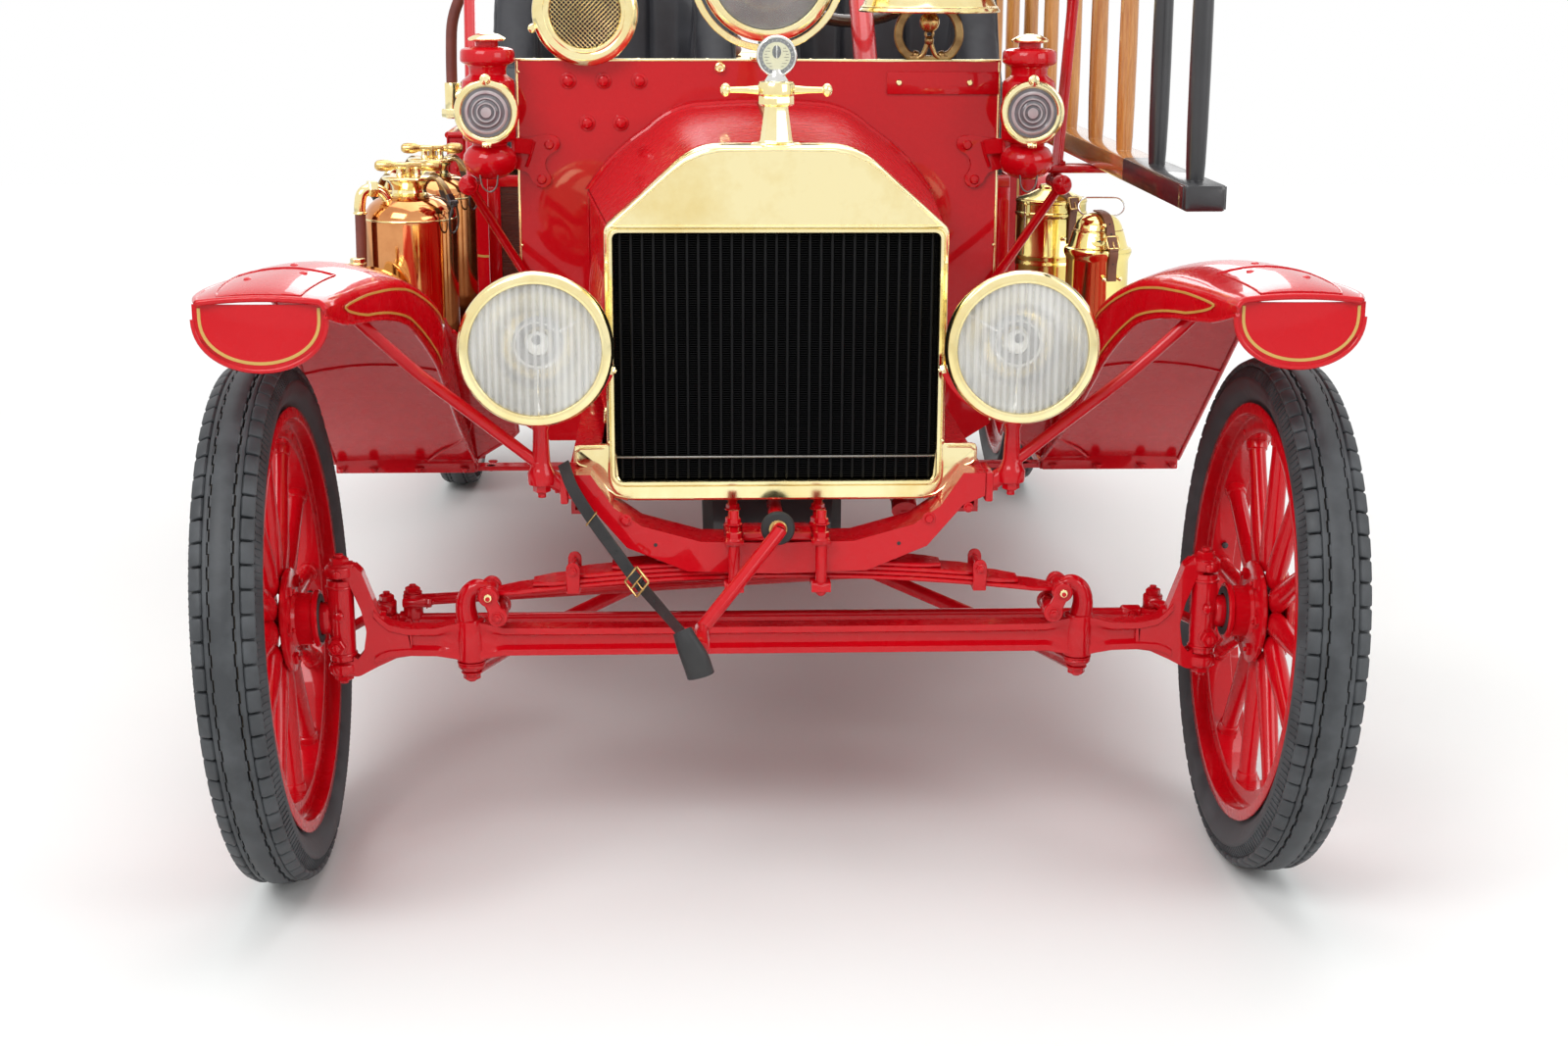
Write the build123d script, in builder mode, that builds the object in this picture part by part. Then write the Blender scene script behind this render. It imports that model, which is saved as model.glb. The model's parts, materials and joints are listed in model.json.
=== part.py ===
"""A brass-era motor fire engine: chemical and hose car on a light chassis, with its ladder.

Millimetres, +Z up, ground at Z = 0.  The front faces -Y and +X is the vehicle's own left.
The origin is on the ground, midway between the front tyres' fronts and the ladder's rear end.
"""
import math
import os
from build123d import *

os.makedirs("parts", exist_ok=True)

# ---- driving sizes ----
WHEELBASE = 2540.0
TRACK = 1422.0
TYRE_R = 381.0
TYRE_WIDTH = 96.0
RIM_R = 300.0
CAMBER = 2.5
REAR_REACH = 3165.0     # front axle to the ladder's rear end
FRONT_AXLE_Y = (TYRE_R - REAR_REACH) / 2
REAR_AXLE_Y = FRONT_AXLE_Y + WHEELBASE
KINGPIN_X = 636.0
FRAME_HALF = 300.0
FRAME_TOP = 604.0
FRAME_DEPTH = 76.0
RAIL_WIDTH = 40.0
SEAT = 0.3              # gap of soft or curved pieces to what carries them
PIN_PLAY = 0.05         # radial play of a pin in its bore
BOARD_TOP = 455.0
BOARD_INNER = 500.0
BOARD_OUTER = 740.0
BOARD_THICK = 14.0
SHEET = 3.0

RADIATOR_Y = FRONT_AXLE_Y + 15.0
RADIATOR_DEPTH = 80.0
HOOD_FRONT_Y = RADIATOR_Y + RADIATOR_DEPTH
DASH_Y = FRONT_AXLE_Y + 790.0
DASH_THICK = 20.0
DASH_HALF = 420.0
DASH_TOP = 1150.0
HOOD_REAR_Y = DASH_Y - 38.0
BOARD_FRONT_Y = FRONT_AXLE_Y + 700.0
BOARD_REAR_Y = FRONT_AXLE_Y + 2110.0
FLOOR_Z = 662.0
LAMP_X = 338.0
LAMP_Z = 796.0

COLUMN_X = 205.0
COLUMN_DIR = Vector(0, 0.8, 0.6)
COLUMN_AT = Vector(COLUMN_X, DASH_Y, 960.0)


def export(builder, name):
    """Label a finished sub-part and write it as its own file."""
    builder.part.label = name
    export_step(builder.part, f"parts/{name}.step")


def at_y(y):
    """The plane across the vehicle at y: sketch x is +X, sketch y is +Z, normal is -Y."""
    return Plane.XZ.offset(-y)


def rod(start, end, radius, tip=None):
    """A round bar from start to end, tapering to the radius tip, added to the open part."""
    start, end = Vector(*start), Vector(*end)
    length = (end - start).length
    along = Plane(origin=start, z_dir=end - start)
    with BuildSketch(along) as root:
        Circle(radius)
    if tip is None:
        extrude(root.sketch, amount=length)
    else:
        with BuildSketch(along.offset(length)) as far:
            Circle(tip)
        loft([root.sketch.face(), far.sketch.face()])


def block(low, high, mode=Mode.ADD):
    """A box between two corners, added to the open part."""
    size = [b - a for a, b in zip(low, high)]
    centre = [(a + b) / 2 for a, b in zip(low, high)]
    with Locations(tuple(centre)):
        Box(*size, mode=mode)


def plate(plane, points, thickness, mode=Mode.ADD):
    """A polygon on a plane, thickened along the plane's normal."""
    with BuildSketch(plane) as outline:
        Polygon(*points, align=None)
    extrude(outline.sketch, amount=thickness, mode=mode)


def turned(plane, points, mode=Mode.ADD):
    """A solid turned about the plane's own Y axis from (radius, height) points."""
    with BuildSketch(plane) as outline:
        Polygon(*points, align=None)
    revolve(outline.sketch, axis=Axis(plane.origin, plane.y_dir), mode=mode)


def turned_on(origin, direction, points, mode=Mode.ADD):
    """A solid turned about the line from origin along direction."""
    direction = Vector(*direction).normalized()
    aside = direction.cross(Vector(0.3, 0.2, 1))
    turned(Plane(origin=origin, x_dir=aside, z_dir=aside.cross(direction)), points, mode)


# ---- wheels and tyres: patterns about +Z, outboard is +Z ----
SPOKES = 12
RIM_HALF = 39.0
RIM_WALL = 7.0
FLANGE_R = RIM_R + 10.0
FLANGE_THICK = 5.5
FELLOE_DEPTH = 27.0
HUB_DISC_R = 76.0
SPINDLE_R = 12.0
HUB_INNER = 62.0
HUB_OUTER = 62.0
WHEEL_X = KINGPIN_X + (TRACK / 2 - KINGPIN_X) + TYRE_R * math.sin(math.radians(CAMBER))
WHEEL_Z = TYRE_R * math.cos(math.radians(CAMBER))

with BuildPart() as tyre_pattern:
    bead = RIM_HALF - FLANGE_THICK - 1.5
    foot = RIM_R + SEAT
    half = TYRE_WIDTH / 2
    with BuildSketch(Plane.XZ):
        with BuildLine():
            Polyline((FLANGE_R + 2, -bead), (foot, -bead), (foot, bead), (FLANGE_R + 2, bead))
            ThreePointArc((FLANGE_R + 2, bead), (TYRE_R - 40, half), (TYRE_R - 9, half - 9))
            ThreePointArc((TYRE_R - 9, half - 9), (TYRE_R, 0), (TYRE_R - 9, 9 - half))
            ThreePointArc((TYRE_R - 9, 9 - half), (TYRE_R - 40, -half), (FLANGE_R + 2, -bead))
        make_face()
    revolve(axis=Axis.Z)

with BuildPart() as spoke_pattern:
    with BuildSketch(Plane.YZ.offset(HUB_DISC_R - 8)):
        Ellipse(18, 15)
    with BuildSketch(Plane.YZ.offset(RIM_R - RIM_WALL - FELLOE_DEPTH + 2)):
        Ellipse(12, 13)
    loft()

wheel_patterns = {}
for axle, shaft_r in (("front", SPINDLE_R), ("rear", 14.0)):
    with BuildPart() as wheel_pattern:
        felloe_r = RIM_R - RIM_WALL - FELLOE_DEPTH
        with BuildSketch(Plane.XZ):
            with BuildLine():
                Polyline((felloe_r, -19), (felloe_r, 19), (RIM_R - RIM_WALL, 19),
                         (RIM_R - RIM_WALL, RIM_HALF), (FLANGE_R, RIM_HALF),
                         (FLANGE_R, RIM_HALF - FLANGE_THICK), (RIM_R, RIM_HALF - FLANGE_THICK),
                         (RIM_R, FLANGE_THICK - RIM_HALF), (FLANGE_R, FLANGE_THICK - RIM_HALF),
                         (FLANGE_R, -RIM_HALF), (RIM_R - RIM_WALL, -RIM_HALF),
                         (RIM_R - RIM_WALL, -19), (felloe_r, -19))
            make_face()
        revolve(axis=Axis.Z)
        with PolarLocations(0, SPOKES):
            add(spoke_pattern.part)
        turned(Plane.XZ, [(0, -HUB_INNER), (34, -HUB_INNER), (38, -24), (HUB_DISC_R, -22),
                          (HUB_DISC_R, 22), (40, 25), (36, HUB_OUTER), (31, HUB_OUTER),
                          (31, HUB_OUTER + 20), (26, HUB_OUTER + 26), (0, HUB_OUTER + 26)])
        if axle == "rear":
            turned(Plane.XZ, [(30, -60), (104, -60), (104, -20), (30, -20)])
        with Locations((0, 0, -10)):
            Cylinder(shaft_r + PIN_PLAY, 2 * HUB_OUTER - 8, mode=Mode.SUBTRACT)
    wheel_patterns[axle] = wheel_pattern.part

# name, side, front axle?, centre, outward direction
CORNERS = (
    ("front", 1, FRONT_AXLE_Y, WHEEL_X, WHEEL_Z, CAMBER),
    ("front", -1, FRONT_AXLE_Y, WHEEL_X, WHEEL_Z, CAMBER),
    ("rear", 1, REAR_AXLE_Y, TRACK / 2, TYRE_R, 0.0),
    ("rear", -1, REAR_AXLE_Y, TRACK / 2, TYRE_R, 0.0),
)
SIDE_NAMES = {1: "left", -1: "right"}


def outward(side, camber):
    """The wheel axis, pointing out of the vehicle."""
    lean = math.radians(camber)
    return Vector(side * math.cos(lean), 0, -math.sin(lean))


for axle, side, y, x, z, camber in CORNERS:
    seat = Plane(origin=(side * x, y, z), x_dir=(0, 1, 0), z_dir=outward(side, camber))
    for pattern, kind in ((tyre_pattern.part, "tyre"), (wheel_patterns[axle], "wheel")):
        with BuildPart() as placed:
            with Locations(seat):
                add(pattern)
        export(placed, f"{axle}_{kind}_{SIDE_NAMES[side]}")

# ---- front axle, with kingpins and spring perches ----
BEAM_TOP = 369.0
BEAM_LOW = 328.0
BEAM_HALF = 16.0
YOKE_HALF = 12.0
KINGPIN_R = 8.0
YOKE_TOP = 463.0
YOKE_LOW = 300.0
YOKE_ARM = 16.0
PERCH_X = 449.0
SHACKLE_LOW = (406.0, 392.0)
SHACKLE_TOP = (419.0, 422.0)
SPRING_HALF = 28.0

with BuildPart() as front_axle:
    block((-575, FRONT_AXLE_Y - BEAM_HALF, BEAM_LOW), (575, FRONT_AXLE_Y + BEAM_HALF, BEAM_TOP))
    for face in (-1, 1):
        y = FRONT_AXLE_Y + face * (BEAM_HALF - 5)
        block((-420, min(y, y + face * 6), BEAM_LOW + 9), (420, max(y, y + face * 6), BEAM_TOP - 9),
              Mode.SUBTRACT)
    for side in (1, -1):
        yoke = [(556, 369), (588, 402), (606, YOKE_TOP), (KINGPIN_X + 22, YOKE_TOP),
                (KINGPIN_X + 22, YOKE_TOP - YOKE_ARM), (612, YOKE_TOP - YOKE_ARM), (600, 384),
                (612, YOKE_LOW + YOKE_ARM), (KINGPIN_X + 22, YOKE_LOW + YOKE_ARM),
                (KINGPIN_X + 22, YOKE_LOW), (604, YOKE_LOW), (580, 318), (556, 328)]
        plate(at_y(FRONT_AXLE_Y + YOKE_HALF), [(side * px, pz) for px, pz in yoke], 2 * YOKE_HALF)
        pin = (side * KINGPIN_X, FRONT_AXLE_Y)
        rod((*pin, YOKE_LOW - 16), (*pin, YOKE_TOP + 9), KINGPIN_R)
        rod((*pin, YOKE_LOW - 12), (*pin, YOKE_LOW), 13)
        rod((*pin, YOKE_TOP), (*pin, YOKE_TOP + 6), 13)
        rod((side * PERCH_X, FRONT_AXLE_Y, BEAM_LOW - 14), (side * PERCH_X, FRONT_AXLE_Y, BEAM_TOP + 12), 22)
        lower = (side * SHACKLE_LOW[0], SHACKLE_LOW[1])
        rod((side * PERCH_X, FRONT_AXLE_Y, BEAM_TOP + 4), (lower[0], FRONT_AXLE_Y, lower[1]), 13)
        rod((lower[0], FRONT_AXLE_Y - SPRING_HALF, lower[1]), (lower[0], FRONT_AXLE_Y + SPRING_HALF, lower[1]), 13)
export(front_axle, "front_axle")

# ---- shackles and leaf springs ----
LEAF = 7.0
REAR_SPRING_Z = 504.0
AXLE_TUBE_R = 34.0


def leaf_spring(y, centre_z, end_x, end_z, halves):
    """A stack of leaves arched over the axle; halves lists each leaf's half length, longest first."""
    rise = centre_z - end_z
    for number, reach in enumerate(halves):
        low = centre_z + number * LEAF
        tip = low - rise * (reach / end_x) ** 2
        with BuildSketch(at_y(y + SPRING_HALF)) as outline:
            with BuildLine():
                ThreePointArc((-reach, tip), (0, low), (reach, tip))
                Line((reach, tip), (reach, tip + LEAF))
                ThreePointArc((reach, tip + LEAF), (0, low + LEAF), (-reach, tip + LEAF))
                Line((-reach, tip + LEAF), (-reach, tip))
            make_face()
        extrude(outline.sketch, amount=2 * SPRING_HALF)


with BuildPart() as springs:
    leaf_spring(FRONT_AXLE_Y, 446, 410, 419, (410, 355, 300, 240, 175, 110))
    for side in (1, -1):
        eye_x, eye_z = side * SHACKLE_TOP[0], SHACKLE_TOP[1]
        rod((eye_x, FRONT_AXLE_Y - SPRING_HALF, eye_z), (eye_x, FRONT_AXLE_Y + SPRING_HALF, eye_z), 12)
        clip = side * 296
        block((clip - 14, FRONT_AXLE_Y - SPRING_HALF - 6, 430), (clip + 14, FRONT_AXLE_Y + SPRING_HALF + 6, 462))
    for side in (1, -1):
        low = (side * SHACKLE_LOW[0], SHACKLE_LOW[1])
        top = (side * SHACKLE_TOP[0], SHACKLE_TOP[1])
        for near in (FRONT_AXLE_Y - SPRING_HALF - 8.0, FRONT_AXLE_Y + SPRING_HALF + SEAT):
            for x, z in (low, top):
                rod((x, near, z), (x, near + 7.7, z), 14)
            plate(at_y(near + 7.7), [(low[0] - 12, low[1]), (low[0] + 12, low[1]),
                                     (top[0] + 12, top[1]), (top[0] - 12, top[1])], 7.7)
    leaf_spring(REAR_AXLE_Y, REAR_SPRING_Z, 560, 454, (560, 480, 400, 320, 240, 160))
    for side in (1, -1):
        x = side * 572
        for z, radius in ((458, 12), (431, 431 - TYRE_R - AXLE_TUBE_R - SEAT)):
            rod((x, REAR_AXLE_Y - SPRING_HALF, z), (x, REAR_AXLE_Y + SPRING_HALF, z), radius)
        for y in (REAR_AXLE_Y - SPRING_HALF - 8, REAR_AXLE_Y + SPRING_HALF):
            block((x - 12, y, 424), (x + 12, y + 8, 466))
export(springs, "springs")

# ---- frame ----
FRAME_LOW = FRAME_TOP - FRAME_DEPTH
RAIL_FRONT_Y = FRONT_AXLE_Y + 38.0
RAIL_REAR_Y = FRONT_AXLE_Y + 2900.0
RAIL_WALL = 6.0
TOW_EYE_R = 14.0
TOW_EYE_THICK = 16.0
TOW_EYE_Z = FRAME_TOP - RAIL_WALL - 22.0

with BuildPart() as frame_rails:
    for side in (1, -1):
        channel = [(FRAME_HALF - RAIL_WIDTH, FRAME_LOW), (FRAME_HALF, FRAME_LOW), (FRAME_HALF, FRAME_TOP),
                   (FRAME_HALF - RAIL_WIDTH, FRAME_TOP), (FRAME_HALF - RAIL_WIDTH, FRAME_TOP - RAIL_WALL),
                   (FRAME_HALF - RAIL_WALL, FRAME_TOP - RAIL_WALL),
                   (FRAME_HALF - RAIL_WALL, FRAME_LOW + RAIL_WALL),
                   (FRAME_HALF - RAIL_WIDTH, FRAME_LOW + RAIL_WALL)]
        plate(at_y(RAIL_REAR_Y), [(side * x, z) for x, z in channel], RAIL_REAR_Y - RAIL_FRONT_Y)
    inner_x = FRAME_HALF - RAIL_WALL
    for y in (FRONT_AXLE_Y + 1250, REAR_AXLE_Y, RAIL_REAR_Y - 40):
        block((-inner_x, y - 30, FRAME_TOP - RAIL_WALL - 6), (inner_x, y + 30, FRAME_TOP - RAIL_WALL))
        block((-250, y - 30, FRAME_TOP - 52), (250, y - 24, FRAME_TOP - RAIL_WALL - 6))
        block((-250, y + 24, FRAME_TOP - 52), (250, y + 30, FRAME_TOP - RAIL_WALL - 6))
    block((-70, REAR_AXLE_Y - 24, REAR_SPRING_Z + 6 * LEAF), (70, REAR_AXLE_Y + 24, FRAME_TOP - RAIL_WALL - 6))
    with BuildSketch(Plane.XY.offset(TOW_EYE_Z)) as tongue:
        with Locations((0, RAIL_REAR_Y + 30)):
            Rectangle(60, 120)
        with Locations((0, RAIL_REAR_Y + 62)):
            Circle(TOW_EYE_R, mode=Mode.SUBTRACT)
    extrude(tongue.sketch, amount=TOW_EYE_THICK)
export(frame_rails, "frame_rails")

CROSS_HALF = 38.0
with BuildPart() as front_crossmember:
    low_line = [(0, 456), (130, 460), (217, 496), (268, 556), (FRAME_HALF, 570)]
    top_line = [(FRAME_HALF, FRAME_TOP), (268, FRAME_TOP), (236, 556), (196, 528), (110, 504), (0, 502)]
    outline = low_line + top_line
    for side in (1, -1):
        plate(at_y(FRONT_AXLE_Y + CROSS_HALF), [(side * x, z) for x, z in outline], 2 * CROSS_HALF)
        inner = [(0, 440), (124, 440), (226, 478), (276, 540), (FRAME_HALF + 1, 560),
                 (FRAME_HALF + 1, FRAME_TOP - 6), (272, FRAME_TOP - 6), (240, 550), (198, 521), (110, 498), (0, 496)]
        plate(at_y(FRONT_AXLE_Y + CROSS_HALF - 6), [(side * x, z) for x, z in inner],
              2 * CROSS_HALF - 12, Mode.SUBTRACT)
    for x in (-63, 63):
        for y in (-CROSS_HALF - 7, CROSS_HALF + 7):
            rod((x, FRONT_AXLE_Y + y, 428), (x, FRONT_AXLE_Y + y, 552), 7)
            rod((x, FRONT_AXLE_Y + y, 502), (x, FRONT_AXLE_Y + y, 512), 12)
        block((x - 14, FRONT_AXLE_Y - CROSS_HALF - 17, 432), (x + 14, FRONT_AXLE_Y + CROSS_HALF + 17, 444.7))
        block((x - 14, FRONT_AXLE_Y - CROSS_HALF - 17, 502), (x + 14, FRONT_AXLE_Y + CROSS_HALF + 17, 508))
export(front_crossmember, "front_crossmember")

with BuildPart() as radius_rods:
    ball = (0, FRONT_AXLE_Y + 660, 352)
    for side in (1, -1):
        root = (side * PERCH_X, FRONT_AXLE_Y, BEAM_LOW - 20)
        rod(root, (root[0], root[1], BEAM_LOW - 14 - SEAT), 20)
        rod((root[0], root[1], root[2] - 16), root, 12)
        rod((root[0], root[1] + 4, root[2] - 8), (side * 380, FRONT_AXLE_Y + 150, 304), 11)
        rod((side * 380, FRONT_AXLE_Y + 150, 304), ball, 11)
    with Locations(ball):
        Sphere(26)
    rod(ball, (0, ball[1], 424 - SEAT), 12)
export(radius_rods, "radius_rods")

# ---- rear axle and torque tube ----
with BuildPart() as rear_axle:
    inboard = TRACK / 2 - 68
    rod((-inboard, REAR_AXLE_Y, TYRE_R), (inboard, REAR_AXLE_Y, TYRE_R), AXLE_TUBE_R)
    shaft = TRACK / 2 + HUB_OUTER - 20
    rod((-shaft, REAR_AXLE_Y, TYRE_R), (shaft, REAR_AXLE_Y, TYRE_R), 14)
    turned(Plane(origin=(0, REAR_AXLE_Y, TYRE_R), x_dir=(0, 1, 0), z_dir=(0, 0, 1)),
           [(0, -105), (60, -90), (114, -28), (118, 0), (114, 28), (60, 90), (0, 105)])
    for side in (1, -1):
        rod((side * (inboard - 8), REAR_AXLE_Y, TYRE_R), (side * inboard, REAR_AXLE_Y, TYRE_R), 100)
    rod((0, REAR_AXLE_Y - 100, TYRE_R), (0, FRONT_AXLE_Y + 1010, 470), 55, 36)
export(rear_axle, "rear_axle")


# ---- knuckles: kingpin barrel, spindle and steering arm ----
BARREL_LOW = YOKE_LOW + YOKE_ARM + 5.0
BARREL_TOP = YOKE_TOP - YOKE_ARM - 5.0
BARREL_R = 19.0
ARM_X = 588.0
ARM_BACK = 130.0
ARM_BOSS = (352.0, 370.0)
ROD_EYE = (333.0, 351.0)
ROD_PIN_R = 7.0

for side in (1, -1):
    lean = outward(side, CAMBER)
    centre = Vector(side * WHEEL_X, FRONT_AXLE_Y, WHEEL_Z)
    with BuildPart() as knuckle:
        pin = (side * KINGPIN_X, FRONT_AXLE_Y)
        rod((*pin, BARREL_LOW), (*pin, BARREL_TOP), BARREL_R)
        inner = (WHEEL_X - KINGPIN_X) / math.cos(math.radians(CAMBER))
        rod(centre - lean * inner, centre - lean * (HUB_INNER + 5), 17)
        rod(centre - lean * inner, centre + lean * 38, SPINDLE_R)
        tip = (side * ARM_X, FRONT_AXLE_Y + ARM_BACK)
        rod((*pin, 361), (*tip, 361), 7.5, 8)
        rod((*tip, ARM_BOSS[0]), (*tip, ARM_BOSS[1]), 15)
        if side == 1:
            rod((*tip, ROD_EYE[0] - 10), (*tip, ARM_BOSS[1] + 8), ROD_PIN_R)
            rod((*tip, ROD_EYE[0] - 10), (*tip, ROD_EYE[0] - 1), 12)
        else:
            rod((*tip, ARM_BOSS[1]), (*tip, ARM_BOSS[1] + 8), ROD_PIN_R)
        with Locations((*pin, (BARREL_LOW + BARREL_TOP) / 2)):
            Cylinder(KINGPIN_R + PIN_PLAY, 200, mode=Mode.SUBTRACT)
    export(knuckle, f"knuckle_{SIDE_NAMES[side]}")

PITMAN_ARM = 122.0
PITMAN_AT = COLUMN_AT - COLUMN_DIR * 762
with BuildPart() as tie_rod:
    y = FRONT_AXLE_Y + ARM_BACK
    eye_z = (ROD_EYE[0] + ROD_EYE[1]) / 2
    for side in (1, -1):
        rod((side * ARM_X, y, ROD_EYE[0]), (side * ARM_X, y, ROD_EYE[1] - SEAT), 16)
    rod((-ARM_X, y, eye_z), (ARM_X, y, eye_z), 9)
    with Locations((ARM_X, y, eye_z)):
        Cylinder(ROD_PIN_R + PIN_PLAY, 60, mode=Mode.SUBTRACT)
    link_end = PITMAN_AT + Vector(0, 0.6, -0.8) * PITMAN_ARM - COLUMN_DIR * 32
    rod((-ARM_X + 40, y, eye_z), (-ARM_X + 40, y, eye_z + 34), 10)
    rod((-ARM_X + 40, y, eye_z + 30), tuple(link_end), 9)
    rod(tuple(link_end - COLUMN_DIR * 8), tuple(link_end + COLUMN_DIR * 8), 16)
export(tie_rod, "tie_rod")

with BuildPart() as pitman_arm:
    hang = Vector(0, 0.6, -0.8)
    rod(PITMAN_AT - COLUMN_DIR * 10, PITMAN_AT + COLUMN_DIR * 14, 20)
    rod(PITMAN_AT, PITMAN_AT + hang * PITMAN_ARM, 12, 10)
    rod(PITMAN_AT + hang * PITMAN_ARM - COLUMN_DIR * 12, PITMAN_AT + hang * PITMAN_ARM + COLUMN_DIR * 12, 15)
export(pitman_arm, "pitman_arm")

# ---- steering column and hand wheel ----
COLUMN_R = 22.0
WHEEL_AT = COLUMN_AT + COLUMN_DIR * 640
with BuildPart() as steering_column:
    rod(PITMAN_AT + COLUMN_DIR * (14 + SEAT), COLUMN_AT + COLUMN_DIR * 590, COLUMN_R)
    rod(COLUMN_AT + COLUMN_DIR * 540, COLUMN_AT + COLUMN_DIR * 600, 34)
    rod(COLUMN_AT + COLUMN_DIR * 590, COLUMN_AT + COLUMN_DIR * 632, 8)
    foot = PITMAN_AT + COLUMN_DIR * 60
    block((COLUMN_X - 12, foot.Y - 20, foot.Z), (FRAME_HALF - RAIL_WIDTH - SEAT, foot.Y + 30, foot.Z + 26))
    block((FRAME_HALF - RAIL_WIDTH - 20, foot.Y - 20, foot.Z), (FRAME_HALF - RAIL_WIDTH - SEAT, foot.Y + 30, 590))
export(steering_column, "steering_column")

HAND_WHEEL_R = 190.0
with BuildPart() as hand_wheel:
    dish = Plane(origin=WHEEL_AT, x_dir=(1, 0, 0), z_dir=COLUMN_DIR)
    with BuildSketch(Plane(origin=WHEEL_AT, x_dir=(1, 0, 0), z_dir=COLUMN_DIR.cross(Vector(1, 0, 0)))) as section:
        with Locations((HAND_WHEEL_R - 13, 0)):
            Circle(13)
    revolve(section.sketch, axis=Axis(WHEEL_AT, COLUMN_DIR))
    rod(WHEEL_AT - COLUMN_DIR * 24, WHEEL_AT + COLUMN_DIR * 14, 30)
    for turn in range(4):
        angle = math.radians(45 + 90 * turn)
        aim = dish.x_dir * math.cos(angle) + dish.y_dir * math.sin(angle)
        rod(WHEEL_AT - COLUMN_DIR * 12 + aim * 20, WHEEL_AT + aim * (HAND_WHEEL_R - 16), 8)
    with BuildSketch(Plane(origin=WHEEL_AT - COLUMN_DIR * 40, z_dir=COLUMN_DIR)) as bore:
        Circle(8 + PIN_PLAY)
    extrude(bore.sketch, amount=34, mode=Mode.SUBTRACT)
export(hand_wheel, "hand_wheel")

# ---- engine ----
with BuildPart() as engine:
    block((-140, FRONT_AXLE_Y + 150, 560), (140, FRONT_AXLE_Y + 620, 800))
    block((-105, FRONT_AXLE_Y + 150, 424), (105, FRONT_AXLE_Y + 620, 560))
    block((-110, FRONT_AXLE_Y + 620, 424), (110, FRONT_AXLE_Y + 980, 640))
    arm_x = FRAME_HALF - RAIL_WALL - SEAT
    block((-arm_x, FRONT_AXLE_Y + 560, FRAME_LOW + RAIL_WALL), (arm_x, FRONT_AXLE_Y + 600, FRAME_LOW + RAIL_WALL + 18))
export(engine, "engine")

# ---- radiator ----
RAD_HALF = 246.0
CORE_HALF = 233.0
CORE_LOW = 582.0
CORE_TOP = 942.0
TANK_SHOULDER = 948.0
TANK_TOP = 1064.0
TANK_FLAT = 116.0
RAD_LOW = 552.0

with BuildPart() as radiator_shell:
    outline = [(-RAD_HALF, 604), (-RAD_HALF, TANK_SHOULDER), (-TANK_FLAT, TANK_TOP), (TANK_FLAT, TANK_TOP),
               (RAD_HALF, TANK_SHOULDER), (RAD_HALF, 604)]
    plate(at_y(RADIATOR_Y + RADIATOR_DEPTH), outline, RADIATOR_DEPTH)
    apron = [(-294, 604), (-294, 632), (294, 632), (294, 604), (250, 604), (230, 560), (215, RAD_LOW),
             (-215, RAD_LOW), (-230, 560), (-250, 604)]
    plate(at_y(RADIATOR_Y + 12), apron, 12)
    block((-205, RADIATOR_Y + 10, 556), (205, RADIATOR_Y + RADIATOR_DEPTH, CORE_LOW + 1))
    for side in (1, -1):
        low_x, high_x = sorted((side * (RAD_HALF - 4), side * 292))
        block((low_x, RADIATOR_Y + 26, FRAME_TOP), (high_x, RADIATOR_Y + 66, 612))
    block((-CORE_HALF, RADIATOR_Y - 1, CORE_LOW), (CORE_HALF, RADIATOR_Y + RADIATOR_DEPTH + 1, CORE_TOP),
          Mode.SUBTRACT)
    turned_on((0, RADIATOR_Y + 40, TANK_TOP - 4), (0, 0, 1), [(0, 0), (27, 0), (24, 10), (17, 50), (17, 58), (0, 58)])
export(radiator_shell, "radiator_shell")

with BuildPart() as radiator_core:
    block((-CORE_HALF + SEAT, RADIATOR_Y + 8, CORE_LOW + SEAT),
          (CORE_HALF - SEAT, RADIATOR_Y + RADIATOR_DEPTH - 6, CORE_TOP - SEAT))
export(radiator_core, "radiator_core")

CAP_Z = TANK_TOP + 54.0
with BuildPart() as radiator_cap:
    cap_y = RADIATOR_Y + 40
    turned_on((0, cap_y, CAP_Z), (0, 0, 1), [(0, 0), (21, 0), (24, 4), (24, 24), (18, 28), (9, 30), (9, 44), (0, 44)])
    rod((-74, cap_y, CAP_Z + 15), (74, cap_y, CAP_Z + 15), 5.5)
    for x in (-74, 74):
        with Locations((x, cap_y, CAP_Z + 15)):
            Sphere(8)
    rod((0, cap_y - 7, CAP_Z + 66), (0, cap_y + 7, CAP_Z + 66), 27.5)
export(radiator_cap, "radiator_cap")

# ---- hood ----
HOOD_FRONT = [(RAD_HALF - 2, TANK_SHOULDER - 1), (TANK_FLAT - 1, TANK_TOP - 2)]
HOOD_REAR = [(300, 930), (150, 1076)]
HOOD_LOW = 642.0


def hood_section(y, half_points):
    """A thin folded strip across the hood, as a face on the plane at y."""
    outer = [(-x, z) for x, z in half_points] + [(x, z) for x, z in reversed(half_points)]
    with BuildSketch(at_y(y)) as section:
        with BuildLine() as fold:
            Polyline(*outer)
            lower = [(x * (1 - SHEET / 320), z - SHEET * 1.2) for x, z in outer]
            Polyline(*reversed(lower))
            Line(outer[-1], lower[-1])
            Line(outer[0], lower[0])
        make_face()
    return section.sketch.face()


with BuildPart() as hood_top:
    loft([hood_section(HOOD_FRONT_Y + SEAT, HOOD_FRONT), hood_section(DASH_Y - SEAT, HOOD_REAR)], ruled=True)
    for side in (1, -1):
        low_x, high_x = sorted((side * (HOOD_REAR[0][0] - SHEET), side * HOOD_REAR[0][0]))
        block((low_x, HOOD_REAR_Y + 3, HOOD_LOW), (high_x, DASH_Y - SEAT, HOOD_REAR[0][1] - 1))
export(hood_top, "hood_top")


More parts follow.
